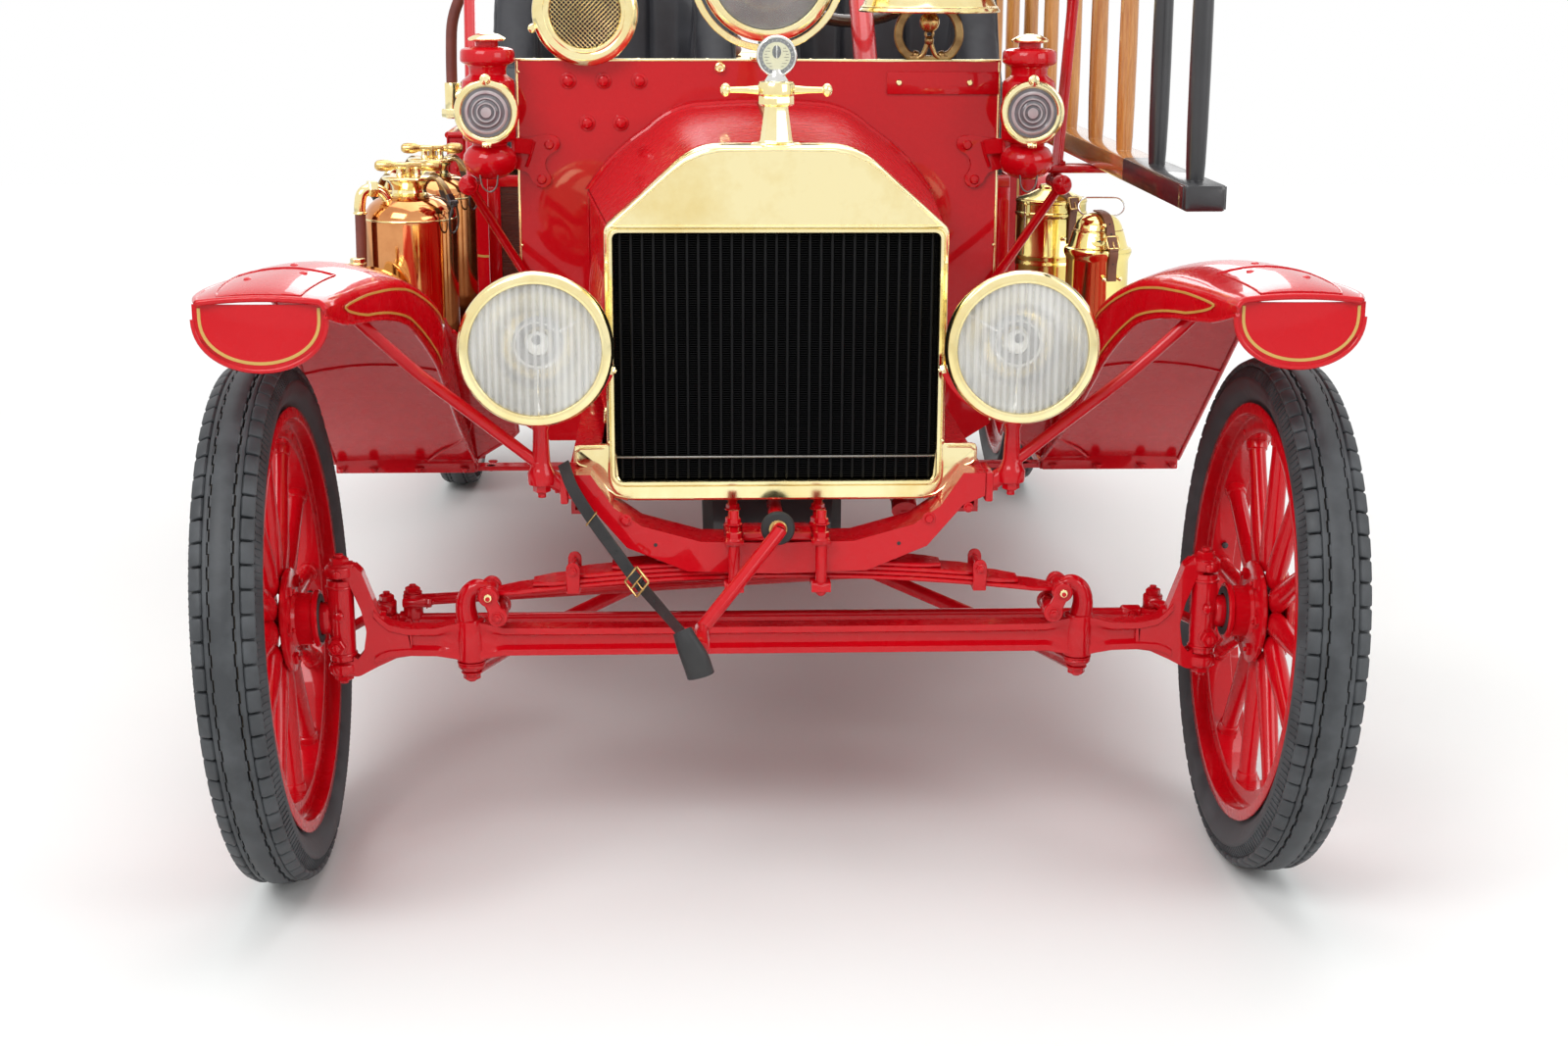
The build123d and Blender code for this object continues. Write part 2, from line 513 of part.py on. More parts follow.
def shoulder(y):
    """The hood's shoulder line at y, as (x, z) on the left."""
    share = (y - HOOD_FRONT_Y - SEAT) / (DASH_Y - HOOD_FRONT_Y - 2 * SEAT)
    return [front + share * (rear - front) for front, rear in zip(HOOD_FRONT[0], HOOD_REAR[0])]


for side in (1, -1):
    with BuildPart() as hood_side:
        front_y, rear_y = HOOD_FRONT_Y + 2, HOOD_REAR_Y - 2
        (front_x, front_z), (rear_x, rear_z) = shoulder(front_y), shoulder(rear_y)
        along = Vector(side * (rear_x - front_x), rear_y - front_y, 0)
        skin = Plane(origin=(side * front_x, front_y, HOOD_LOW), x_dir=along, z_dir=along.cross(Vector(0, 0, 1)))
        top_gap = HOOD_LOW + 1.3 * SHEET
        plate(skin, [(0, 0), (along.length, 0), (along.length, rear_z - top_gap), (0, front_z - top_gap)],
              -side * SHEET)
    export(hood_side, f"hood_side_{SIDE_NAMES[side]}")

# ---- firewall ----
with BuildPart() as firewall:
    outline = [(-DASH_HALF, 506), (-DASH_HALF, DASH_TOP), (DASH_HALF, DASH_TOP), (DASH_HALF, 506), (376, 478),
               (-376, 478)]
    plate(at_y(DASH_Y + DASH_THICK), outline, DASH_THICK)
    for side in (1, -1):
        low_x, high_x = sorted((side * (FRAME_HALF - RAIL_WIDTH - SEAT), side * (FRAME_HALF + SEAT)))
        block((low_x, DASH_Y - 1, 470), (high_x, DASH_Y + DASH_THICK + 1, FRAME_TOP + SEAT), Mode.SUBTRACT)
    block((-115, DASH_Y - 1, 470), (115, DASH_Y + DASH_THICK + 1, 645), Mode.SUBTRACT)
    column_hole = Plane(origin=COLUMN_AT - COLUMN_DIR * 60, z_dir=COLUMN_DIR)
    with BuildSketch(column_hole) as hole:
        Circle(COLUMN_R + SEAT)
    extrude(hole.sketch, amount=120, mode=Mode.SUBTRACT)
export(firewall, "firewall")

# ---- headlamps ----
LAMP_R = 108.0
LENS_R = 92.0
LAMP_FRONT_Y = FRONT_AXLE_Y - 110.0
POST_Y = FRONT_AXLE_Y - 30.0
with BuildPart() as headlamps:
    for side in (1, -1):
        bowl = [(LENS_R, 0), (LAMP_R - 6, 0), (LAMP_R, 8), (LAMP_R, 24), (LAMP_R - 6, 30), (98, 70), (78, 112),
                (48, 140), (0, 152), (0, 149), (46, 137), (75, 110), (94, 69), (LAMP_R - 10, 30), (LENS_R + 4, 14),
                (LENS_R, 12)]
        turned_on((side * LAMP_X, LAMP_FRONT_Y, LAMP_Z), (0, 1, 0), bowl)
export(headlamps, "headlamps")

with BuildPart() as lamp_lenses:
    for side in (1, -1):
        rod((side * LAMP_X, LAMP_FRONT_Y + 2, LAMP_Z), (side * LAMP_X, LAMP_FRONT_Y + 8, LAMP_Z), LENS_R - SEAT)
export(lamp_lenses, "lamp_lenses")

FENDER_TOP = 906.0
with BuildPart() as lamp_brackets:
    for side in (1, -1):
        x = side * LAMP_X
        rod((x, POST_Y, 596), (x, POST_Y, LAMP_Z - 98.5), 12)
        rod((x, POST_Y, 590), (x, POST_Y, 640), 20, 15)
        rod((x, POST_Y, 606), (side * (FRAME_HALF - 12), FRONT_AXLE_Y - 14, 570), 13)
        low_x, high_x = sorted((side * (FRAME_HALF + SEAT), side * (FRAME_HALF + 12)))
        block((low_x, FRONT_AXLE_Y - 36, 562), (high_x, FRONT_AXLE_Y + 36, 604))
        rod((x, POST_Y, 616), (side * 628, FRONT_AXLE_Y - 40, FENDER_TOP - 14), 9)
        block((min(side * 600, side * 660), FRONT_AXLE_Y - 56, FENDER_TOP - 14),
              (max(side * 600, side * 660), FRONT_AXLE_Y - 24, FENDER_TOP - SHEET - SEAT))
    for side in (1, -1):
        low_x, high_x = sorted((side * (FRAME_HALF - 60), side * (FRAME_HALF + SEAT)))
        block((low_x, FRONT_AXLE_Y - 60, 540), (high_x, FRONT_AXLE_Y + 60, 640), Mode.SUBTRACT)
export(lamp_brackets, "lamp_brackets")

# ---- side lamps ----
SIDE_LAMP_X = 466.0
SIDE_LAMP_Z = 1067.0
SIDE_LAMP_Y = DASH_Y - 42.0
with BuildPart() as side_lamps:
    for side in (1, -1):
        stem = (side * SIDE_LAMP_X, SIDE_LAMP_Y, 0)
        turned_on((stem[0], stem[1], 950), (0, 0, 1),
                  [(0, 0), (22, 2), (34, 14), (36, 40), (30, 52), (40, 62), (46, 70), (46, 165), (40, 176), (30, 184),
                   (36, 196), (36, 214), (20, 222), (24, 226), (24, 236), (10, 244), (0, 244)])
        rod((stem[0], SIDE_LAMP_Y - 52, SIDE_LAMP_Z), (stem[0], SIDE_LAMP_Y, SIDE_LAMP_Z), 55, 42)
        rod((side * 366, DASH_Y - 8, 985), (side * (SIDE_LAMP_X - 20), SIDE_LAMP_Y, 985), 7)
        low_x, high_x = sorted((side * 345, side * 385))
        block((low_x, DASH_Y - 8, 940), (high_x, DASH_Y - SEAT, 1010))
export(side_lamps, "side_lamps")

# ---- fenders ----
FENDER_OUTER = BOARD_OUTER + 8.0
FENDER_LIP_Y = FRONT_AXLE_Y - 265
LIP_TOP = 898.0
LIP_LOW = 840.0
SLOPE_TOP = (FRONT_AXLE_Y + 230, 832.0)
SLOPE_FOOT = (BOARD_FRONT_Y, BOARD_TOP)


def side_view(points):
    """A face on the plane X = 0 from (y, z) points."""
    with BuildSketch(Plane.YZ.offset(-1000)) as profile:
        Polygon(*points, align=None)
    return profile.sketch


# side view of the crown: y from the front axle, crown z, depth of the inner flank there
FENDER_STATIONS = ((-265, 899, 46), (-150, 908, 48), (-40, 908, 50), (70, 896, 62), (160, 868, 78), (230, 832, 92),
                   (BOARD_FRONT_Y - FRONT_AXLE_Y, BOARD_TOP + 6, 60))


def fender_line(sheet):
    """The crown in side view, or its underside: sheet is the share of the flank's depth, or a thickness."""
    line = []
    for y, z, flank in FENDER_STATIONS:
        drop = flank if sheet is None else sheet
        lean = 0.6 if y > 200 else 0.0
        line.append((FRONT_AXLE_Y + y - lean * drop, z - drop * (0.6 if z < 500 else 1)))
    return line


LIP_INNER = 588.0
INNER_EDGE = [(LIP_INNER, FENDER_LIP_Y), (572, FRONT_AXLE_Y - 90), (520, FRONT_AXLE_Y + 130),
              (BOARD_INNER, FRONT_AXLE_Y + 260), (BOARD_INNER, BOARD_FRONT_Y + 5)]

sides = []
for side in (1, -1):
    with BuildPart() as fender:
        skin = fender_line(0) + list(reversed(fender_line(SHEET)))
        extrude(side_view(skin), amount=2000)
        plan = INNER_EDGE + [(FENDER_OUTER, BOARD_FRONT_Y + 5), (FENDER_OUTER, FRONT_AXLE_Y - 150),
                             (FENDER_OUTER - 12, FENDER_LIP_Y + 30), (FENDER_OUTER - 40, FENDER_LIP_Y)]
        plate(Plane.XY, [(side * x, y) for x, y in plan], 1200, Mode.INTERSECT)
    with BuildPart() as flank:
        band = fender_line(0) + list(reversed(fender_line(None)))
        extrude(side_view(band), amount=2000)
        strip = INNER_EDGE + [(x + SHEET, y) for x, y in reversed(INNER_EDGE)]
        plate(Plane.XY, [(side * x, y) for x, y in strip], 1200, Mode.INTERSECT)
    with BuildPart() as whole:
        add(fender.part)
        add(flank.part)
        moon = Plane.XZ.offset(-FENDER_LIP_Y - SHEET)
        middle = side * (LIP_INNER + FENDER_OUTER - 40) / 2
        half = (FENDER_OUTER - 40 - LIP_INNER) / 2
        with BuildSketch(moon) as lip:
            with BuildLine():
                Polyline((middle - half, LIP_LOW), (middle - half, LIP_TOP), (middle + half, LIP_TOP),
                         (middle + half, LIP_LOW))
                ThreePointArc((middle + half, LIP_LOW), (middle, LIP_LOW - 25), (middle - half, LIP_LOW))
            make_face()
        extrude(lip.sketch, amount=SHEET)
    sides.append(whole.part)
with BuildPart() as front_fenders:
    add(sides)
export(front_fenders, "front_fenders")

REAR_FENDER_R = 450.0
REAR_INNER = 640.0
REAR_OUTER = 800.0
sides = []
for side in (1, -1):
    with BuildPart() as rear_fender:
        with BuildSketch(Plane.YZ.offset(side * REAR_INNER)) as arch:
            with Locations((REAR_AXLE_Y, TYRE_R)):
                Circle(REAR_FENDER_R + SHEET)
                Circle(REAR_FENDER_R, mode=Mode.SUBTRACT)
        extrude(arch.sketch, amount=side * (REAR_OUTER - REAR_INNER))
        with BuildSketch(Plane.YZ.offset(side * REAR_INNER)) as apron:
            with Locations((REAR_AXLE_Y, TYRE_R)):
                Circle(REAR_FENDER_R + SHEET)
                Circle(REAR_FENDER_R - 90, mode=Mode.SUBTRACT)
        extrude(apron.sketch, amount=side * SHEET)
        keep = [(REAR_AXLE_Y - 700, BOARD_TOP), (REAR_AXLE_Y - 700, 1000), (REAR_AXLE_Y + 700, 1000),
                (REAR_AXLE_Y + 700, 640), (REAR_AXLE_Y, 440), (REAR_AXLE_Y - 200, BOARD_TOP)]
        with BuildSketch(Plane.YZ.offset(-1000)) as cut:
            Polygon(*keep, align=None)
        extrude(cut.sketch, amount=2000, mode=Mode.INTERSECT)
    sides.append(rear_fender.part)
with BuildPart() as rear_fenders:
    add(sides)
export(rear_fenders, "rear_fenders")

with BuildPart() as running_boards:
    for side in (1, -1):
        low_x, high_x = sorted((side * BOARD_INNER, side * BOARD_OUTER))
        block((low_x, BOARD_FRONT_Y + SEAT, BOARD_TOP - BOARD_THICK), (high_x, BOARD_REAR_Y, BOARD_TOP))
    for y in (BOARD_FRONT_Y + 60, BOARD_FRONT_Y + 620, BOARD_REAR_Y - 60):
        for side in (1, -1):
            low_x, high_x = sorted((side * (FRAME_HALF - 30), side * (BOARD_OUTER - 20)))
            block((low_x, y - 16, BOARD_TOP - BOARD_THICK - 8), (high_x, y + 16, BOARD_TOP - BOARD_THICK))
            low_x, high_x = sorted((side * (FRAME_HALF - 30), side * FRAME_HALF))
            block((low_x, y - 16, BOARD_TOP - BOARD_THICK), (high_x, y + 16, FRAME_LOW))
    for side in (1, -1):
        section = [(FRAME_HALF + SEAT, FRAME_TOP), (FRAME_HALF + SEAT, FRAME_TOP + SHEET), (330, FRAME_TOP + SHEET),
                   (BOARD_INNER - SEAT, BOARD_TOP + 2), (BOARD_INNER - SEAT, BOARD_TOP - BOARD_THICK),
                   (BOARD_INNER - SEAT - SHEET, BOARD_TOP - BOARD_THICK), (BOARD_INNER - SEAT - SHEET, BOARD_TOP),
                   (328, FRAME_TOP)]
        plate(at_y(BOARD_REAR_Y), [(side * x, z) for x, z in section], BOARD_REAR_Y - DASH_Y - DASH_THICK - SEAT)
export(running_boards, "running_boards")

# ---- floor and seats ----
SEAT_FRONT_Y = FRONT_AXLE_Y + 1330
SEAT_REAR_Y = FRONT_AXLE_Y + 1720
SEAT_BOX_TOP = 900.0
SILL = 50.0
with BuildPart() as floor:
    block((-DASH_HALF, DASH_Y + DASH_THICK + SEAT, FLOOR_Z - 20), (DASH_HALF, SEAT_FRONT_Y, FLOOR_Z))
    for side in (1, -1):
        low_x, high_x = sorted((side * (FRAME_HALF - RAIL_WIDTH), side * FRAME_HALF))
        block((low_x, DASH_Y + DASH_THICK + SEAT, FRAME_TOP), (high_x, RAIL_REAR_Y - 40, FLOOR_Z - 20))
    block((-DASH_HALF, SEAT_FRONT_Y, FLOOR_Z - 20), (DASH_HALF, RAIL_REAR_Y, FLOOR_Z))
    with BuildSketch(Plane(origin=COLUMN_AT - COLUMN_DIR * 700, z_dir=COLUMN_DIR)) as hole:
        Circle(COLUMN_R + SEAT)
    extrude(hole.sketch, amount=1200, mode=Mode.SUBTRACT)
export(floor, "floor")

with BuildPart() as seat_box:
    block((-520, SEAT_FRONT_Y, FLOOR_Z), (520, SEAT_REAR_Y, SEAT_BOX_TOP))
    block((-500, SEAT_FRONT_Y + 20, FLOOR_Z - 1), (500, SEAT_REAR_Y - 20, SEAT_BOX_TOP - 20), Mode.SUBTRACT)
export(seat_box, "seat_box")

SEAT_X = 272.0
SEAT_HALF = 242.0
with BuildPart() as seat_cushions:
    for x in (-SEAT_X, SEAT_X):
        block((x - SEAT_HALF + 70, SEAT_FRONT_Y - 30, SEAT_BOX_TOP + SEAT), (x + SEAT_HALF - 70, SEAT_REAR_Y - 136, 1010))
export(seat_cushions, "seat_cushions")

with BuildPart() as seat_backs:
    for x in (-SEAT_X, SEAT_X):
        with BuildSketch(Plane.XY.offset(SEAT_BOX_TOP + SEAT)) as horseshoe:
            with Locations((x, (SEAT_FRONT_Y + SEAT_REAR_Y) / 2)):
                RectangleRounded(2 * SEAT_HALF, SEAT_REAR_Y - SEAT_FRONT_Y, 150)
            block_half = SEAT_HALF - 69
            with Locations((x, (SEAT_FRONT_Y + SEAT_REAR_Y) / 2 - 70)):
                RectangleRounded(2 * block_half, SEAT_REAR_Y - SEAT_FRONT_Y + 72, 100, mode=Mode.SUBTRACT)
        extrude(horseshoe.sketch, amount=1330 - SEAT_BOX_TOP)
    with BuildSketch(Plane.YZ.offset(-600)) as arms:
        Polygon((SEAT_FRONT_Y, SEAT_BOX_TOP), (SEAT_FRONT_Y, 1080), (SEAT_FRONT_Y + 90, 1110), (SEAT_FRONT_Y + 230, 1330),
                (SEAT_REAR_Y, 1330), (SEAT_REAR_Y, SEAT_BOX_TOP), align=None)
    extrude(arms.sketch, amount=1200, mode=Mode.INTERSECT)
export(seat_backs, "seat_backs")

# ---- body behind the seats: tank compartment in front, hose bed behind ----
TANK_Y = FRONT_AXLE_Y + 1960
TANK_Z = 900.0
TANK_R = 190.0
TANK_HALF = 540.0
GAS_AT = (50.0 - BOARD_OUTER, FRONT_AXLE_Y + 565, 703.0)
GAS_R = 97.0
BODY_FRONT_Y = FRONT_AXLE_Y + 1728
BED_FRONT_Y = FRONT_AXLE_Y + 2180
BED_REAR_Y = FRONT_AXLE_Y + 2900
BED_HALF = 640.0
BED_TOP = 955.0
BED_BOARD = 14.0
BED_FLOOR = FLOOR_Z + 18.0
SKIRT_Z = 580.0
with BuildPart() as hose_bed:
    block((-BED_HALF, BODY_FRONT_Y, FLOOR_Z), (BED_HALF, BED_REAR_Y, BED_TOP))
    inner = BED_HALF - BED_BOARD
    block((-inner, BODY_FRONT_Y + BED_BOARD, BED_FLOOR), (inner, BED_FRONT_Y, BED_TOP + 1), Mode.SUBTRACT)
    block((-inner, BED_FRONT_Y + BED_BOARD, BED_FLOOR), (inner, BED_REAR_Y - BED_BOARD, BED_TOP + 1), Mode.SUBTRACT)
    for side in (1, -1):
        low_x, high_x = sorted((side * inner, side * BED_HALF))
        block((low_x, BODY_FRONT_Y, SKIRT_Z), (high_x, BED_REAR_Y, FLOOR_Z))
        low_x, high_x = sorted((side * (DASH_HALF + 4), side * BED_HALF))
        block((low_x, BODY_FRONT_Y, SKIRT_Z), (high_x, BODY_FRONT_Y + BED_BOARD, FLOOR_Z))
export(hose_bed, "hose_bed")

VALVE_X = -652.0
VALVE_Z = 990.0
HOSE_R = 12.5
HOSE_EXIT = (VALVE_X, TANK_Y, VALVE_Z + 62)
with BuildPart() as chemical_tank:
    turned_on((-TANK_HALF, TANK_Y, TANK_Z), (1, 0, 0),
              [(0, 0), (80, 6), (140, 26), (TANK_R - 10, 60), (TANK_R, 80), (TANK_R, 2 * TANK_HALF - 80),
               (TANK_R - 10, 2 * TANK_HALF - 60), (140, 2 * TANK_HALF - 26), (80, 2 * TANK_HALF - 6),
               (0, 2 * TANK_HALF)])
    rod((-TANK_HALF + 8, TANK_Y, TANK_Z + 40), (-TANK_HALF - 46, TANK_Y, TANK_Z + 40), 16)
    rod((-TANK_HALF - 36, TANK_Y, TANK_Z + 30), (-TANK_HALF - 36, TANK_Y, VALVE_Z + 16), 18)
    rod((-TANK_HALF - 36, TANK_Y, VALVE_Z), (VALVE_X - 16, TANK_Y, VALVE_Z), 13)
    rod((VALVE_X, TANK_Y, VALVE_Z - 18), HOSE_EXIT, 17)
    rod((-TANK_HALF - 36, TANK_Y, VALVE_Z + 8), (-TANK_HALF - 36, TANK_Y, VALVE_Z + 58), 7)
    rod((-TANK_HALF - 86, TANK_Y, VALVE_Z + 58), (-TANK_HALF + 14, TANK_Y, VALVE_Z + 58), 9)
export(chemical_tank, "chemical_tank")

with BuildPart() as cradles:
    for x in (-300, 300):
        block((x - 25, TANK_Y - 150, BED_FLOOR), (x + 25, TANK_Y + 150, TANK_Z - 100))
        with Locations((x, TANK_Y, TANK_Z)):
            Cylinder(TANK_R + SEAT, 60, rotation=(0, 90, 0), mode=Mode.SUBTRACT)
    for x in (GAS_AT[0] - 45, GAS_AT[0] + 45):
        block((x - 9, BOARD_FRONT_Y + 2, BOARD_TOP), (x + 9, BOARD_FRONT_Y + 40, GAS_AT[2] - 70))
    with Locations((GAS_AT[0], BOARD_FRONT_Y + 21, GAS_AT[2])):
        Cylinder(GAS_R + SEAT, 60, rotation=(90, 0, 0), mode=Mode.SUBTRACT)
export(cradles, "cradles")

# hose basket over the tank, and the rails of the hose bed
BASKET_X = 410.0
BASKET_Y = 204.0
BASKET_LOW = 1108.0
BASKET_TOP = 1240.0
WIRE_R = 5.0
RAIL_X = 500.0
RAIL_TOP = 1080.0
with BuildPart() as bed_rails:
    for x in (-BASKET_X, BASKET_X):
        for y in (TANK_Y - BASKET_Y, TANK_Y + BASKET_Y):
            rod((x, y, BED_FLOOR), (x, y, BASKET_TOP + 12), 8)
        for z, radius in ((BASKET_LOW, 6.5), (BASKET_TOP, 6.5)):
            rod((x, TANK_Y - BASKET_Y, z), (x, TANK_Y + BASKET_Y, z), radius)
    for y in (TANK_Y - BASKET_Y, TANK_Y + BASKET_Y):
        for z, radius in ((BASKET_LOW, 6.5), (BASKET_TOP, 6.5)):
            rod((-BASKET_X, y, z), (BASKET_X, y, z), radius)
    for number in range(5):
        y = TANK_Y + (number - 2) * 68
        rod((-BASKET_X, y, BASKET_LOW), (BASKET_X, y, BASKET_LOW), WIRE_R)
    for x in (-RAIL_X, RAIL_X):
        ends = (BED_FRONT_Y + 34, (BED_FRONT_Y + BED_REAR_Y) / 2, BED_REAR_Y - 34)
        rod((x, ends[0] - 16, RAIL_TOP), (x, ends[2] + 16, RAIL_TOP), 12)
        for y in ends:
            rod((x, y, BED_FLOOR), (x, y, RAIL_TOP), 9)
export(bed_rails, "bed_rails")

# ---- hoses: routes, tubes along the free stretches and the coil in the basket ----
COIL_AT = (-190.0, TANK_Y)
COIL_LOW = BASKET_LOW + WIRE_R + SEAT
COIL_TURNS = 4
COIL_LAYERS = 4
COIL_INNER = 105.0
CHEMICAL_ROUTE = [HOSE_EXIT, (VALVE_X, TANK_Y, 1120), (VALVE_X + 6, TANK_Y - 6, 1205),
                  (VALVE_X + 56, TANK_Y - 24, 1290), (VALVE_X + 152, TANK_Y - 62, 1322),
                  (-396, TANK_Y - 112, 1300), (-292, TANK_Y - 158, 1248), (-190, TANK_Y - 181, 1206)]


def tube(route, radius, name):
    """A hose's free stretch: straight runs joined by tangent arcs, each as large as its two runs allow."""
    points = [Vector(*point) for point in route]
    radii = []
    for before, here, after in zip(points, points[1:], points[2:]):
        turn = math.radians((here - before).get_angle(after - here))
        shorter = min((here - before).length, (after - here).length)
        radii.append(0.45 * shorter / math.tan(turn / 2))
    with BuildPart() as hose:
        with BuildLine() as path:
            line = FilletPolyline(*points, radius=radii)
        with BuildSketch(Plane(origin=points[0], z_dir=points[1] - points[0])) as section:
            Circle(radius)
        sweep(section.sketch, path=path.wire())
    runs = [round((b - a).length) for a, b in zip(points, points[1:])]
    print(name, "radii", [round(r) for r in radii], "runs", runs, "length", round(path.wire().length),
          "volume ratio", round(hose.part.volume / (math.pi * radius**2 * path.wire().length), 4))
    export(hose, name)


tube(CHEMICAL_ROUTE, HOSE_R, "chemical_hose")
with BuildPart() as coil:
    outer = COIL_INNER + (COIL_TURNS - 1) * 2 * HOSE_R + HOSE_R
    with BuildSketch(Plane.XY.offset(COIL_LOW)) as ring:
        with Locations(COIL_AT):
            Circle(outer)
            Circle(COIL_INNER - HOSE_R, mode=Mode.SUBTRACT)
    extrude(ring.sketch, amount=COIL_LAYERS * 2 * HOSE_R)
export(coil, "chemical_hose_coil")

NOZZLE_Z = COIL_LOW + COIL_LAYERS * 2 * HOSE_R + 16
with BuildPart() as nozzle:
    rod((COIL_AT[0] + 60, TANK_Y + 130, NOZZLE_Z), (COIL_AT[0] - 20, TANK_Y + 130, NOZZLE_Z), 15.5)
    rod((COIL_AT[0] - 20, TANK_Y + 130, NOZZLE_Z), (COIL_AT[0] - 190, TANK_Y + 130, NOZZLE_Z), 14, 9)
export(nozzle, "hose_nozzle")

with BuildPart() as tail_step:
    block((-DASH_HALF, RAIL_REAR_Y + SEAT, BOARD_TOP - BOARD_THICK), (DASH_HALF, RAIL_REAR_Y + 240, BOARD_TOP))
    for side in (1, -1):
        low_x, high_x = sorted((side * (FRAME_HALF - RAIL_WIDTH), side * FRAME_HALF))
        block((low_x, RAIL_REAR_Y + SEAT, BOARD_TOP), (high_x, RAIL_REAR_Y + 12, FRAME_TOP))
export(tail_step, "tail_step")

# ---- ladder ----
LADDER_X = 620.0
LADDER_FRONT_Y = FRONT_AXLE_Y + 51
LADDER_REAR_Y = FRONT_AXLE_Y + REAR_REACH
LADDER_LOW = 968.0
LADDER_WIDTH = 400.0
STILE_DEEP = 61.0
STILE_THICK = 39.0
RUNG_PITCH = 270.0
RUNG_R = 15.0
with BuildPart() as ladder:
    for z in (LADDER_LOW, LADDER_LOW + LADDER_WIDTH - STILE_THICK):
        block((LADDER_X - STILE_DEEP / 2, LADDER_FRONT_Y, z), (LADDER_X + STILE_DEEP / 2, LADDER_REAR_Y, z + STILE_THICK))
    for number in range(int((LADDER_REAR_Y - LADDER_FRONT_Y - 72) // RUNG_PITCH) + 1):
        y = LADDER_FRONT_Y + 72 + number * RUNG_PITCH
        rod((LADDER_X, y, LADDER_LOW + STILE_THICK), (LADDER_X, y, LADDER_LOW + LADDER_WIDTH - STILE_THICK), RUNG_R)
export(ladder, "ladder")

HANGER_Y = FRONT_AXLE_Y + 832
POST_X = 532.0
POST_R = 10.0
SOCKET_Z = 938.0
SOCKET_R = 13.0
with BuildPart() as ladder_hangers:
    for y, foot_z in ((HANGER_Y, SOCKET_Z), (BED_FRONT_Y + 60, LADDER_LOW - 8)):
        rod((POST_X, y, foot_z), (562, y, LADDER_LOW + LADDER_WIDTH + 20), POST_R)
        block((516, y - 25, BED_TOP), (662, y + 25, LADDER_LOW))
        block((654, y - 25, BED_TOP), (662, y + 25, LADDER_LOW + 45))
        block((542, y - 20, LADDER_LOW + LADDER_WIDTH), (662, y + 20, LADDER_LOW + LADDER_WIDTH + 8))
    stay_x, stay_y = FRAME_HALF + 12, HANGER_Y - 60
    for side, socket_x in ((1, POST_X), (-1, -506)):
        low_x, high_x = sorted((side * (FRAME_HALF - 30), side * (stay_x + 10)))
        block((low_x, stay_y - 14, FRAME_TOP), (high_x, stay_y + 14, FRAME_TOP + 16))
        rod((side * stay_x, stay_y, FRAME_TOP + 8), (socket_x, stay_y, SOCKET_Z), 8)
        rod((socket_x, stay_y - 16, SOCKET_Z), (socket_x, HANGER_Y + 20, SOCKET_Z), SOCKET_R)
    rod((-506, HANGER_Y, SOCKET_Z), (-500, HANGER_Y, 1340), POST_R)
export(ladder_hangers, "ladder_hangers")

# ---- equipment on the running boards ----
EXT_X = BOARD_OUTER - 120.0
EXT_R = 82.0
EXT_TOP = 917.0
EXT_YS = (FRONT_AXLE_Y + 855, FRONT_AXLE_Y + 1235)
SMALL_HOSE_R = 9.5
# from the extinguisher's axis: x outboard, y, z
ELBOW = ((-30, -34, 876), (-36, -38, 918), (-80, -58, 922), (-80, -58, 884))
HANGING = (ELBOW[-1], (-80, -58, 800), (-86, -61, 690), (-84, -58, 600), (-78, -54, 530))
with BuildPart() as extinguishers:
    for y in EXT_YS:
        turned_on((-EXT_X, y, BOARD_TOP), (0, 0, 1),
                  [(0, 0), (EXT_R + 4, 0), (EXT_R + 4, 16), (EXT_R, 16), (EXT_R, EXT_TOP - BOARD_TOP - 46),
                   (EXT_R + 4, EXT_TOP - BOARD_TOP - 44), (EXT_R + 4, EXT_TOP - BOARD_TOP - 28),
                   (EXT_R - 10, EXT_TOP - BOARD_TOP - 18), (46, EXT_TOP - BOARD_TOP), (34, EXT_TOP - BOARD_TOP + 6),
                   (34, EXT_TOP - BOARD_TOP + 28), (14, EXT_TOP - BOARD_TOP + 30), (12, EXT_TOP - BOARD_TOP + 48),
                   (0, EXT_TOP - BOARD_TOP + 48)])
        rod((-EXT_X - 55, y, EXT_TOP + 46), (-EXT_X + 55, y, EXT_TOP + 46), 9)
        corners = [(-EXT_X + x, y + dy, z) for x, dy, z in ELBOW]
        for start, end in zip(corners, corners[1:]):
            rod(start, end, 10)
        for corner in corners[1:-1]:
            with Locations(corner):
                Sphere(10)
        nozzle_top = (-EXT_X + HANGING[-1][0], y + HANGING[-1][1], HANGING[-1][2])
        hang = (Vector(*HANGING[-1]) - Vector(*HANGING[-2])).normalized()
        nozzle_end = tuple(Vector(*nozzle_top) + hang * 66)
        rod(nozzle_top, nozzle_end, 10, 6)
        rod((nozzle_top[0], nozzle_top[1], 505), (-EXT_X - 50, y - 34, 505), 7)
export(extinguishers, "extinguishers")
for y, name in zip(EXT_YS, ("extinguisher_hose_front", "extinguisher_hose_rear")):
    tube([(-EXT_X + x, y + dy, z) for x, dy, z in HANGING], SMALL_HOSE_R, name)

with BuildPart() as gas_drum:
    turned_on(GAS_AT, (0, 1, 0), [(0, 0), (60, 4), (GAS_R - 12, 12), (GAS_R, 26), (GAS_R, 150), (GAS_R - 14, 172),
                                  (50, 184), (0, 186)])
export(gas_drum, "gas_drum")

with BuildPart() as cans:
    turned_on((BOARD_OUTER - 168, FRONT_AXLE_Y + 1110, BOARD_TOP), (0, 0, 1),
              [(0, 0), (66, 0), (66, 396), (69, 396), (69, 424), (50, 442), (20, 450), (0, 452)])
    turned_on((BOARD_OUTER - 138, FRONT_AXLE_Y + 774, BOARD_TOP), (0, 0, 1),
              [(0, 0), (56, 0), (56, 360), (59, 362), (59, 372), (44, 402), (26, 416), (26, 430), (0, 434)])
export(cans, "cans")

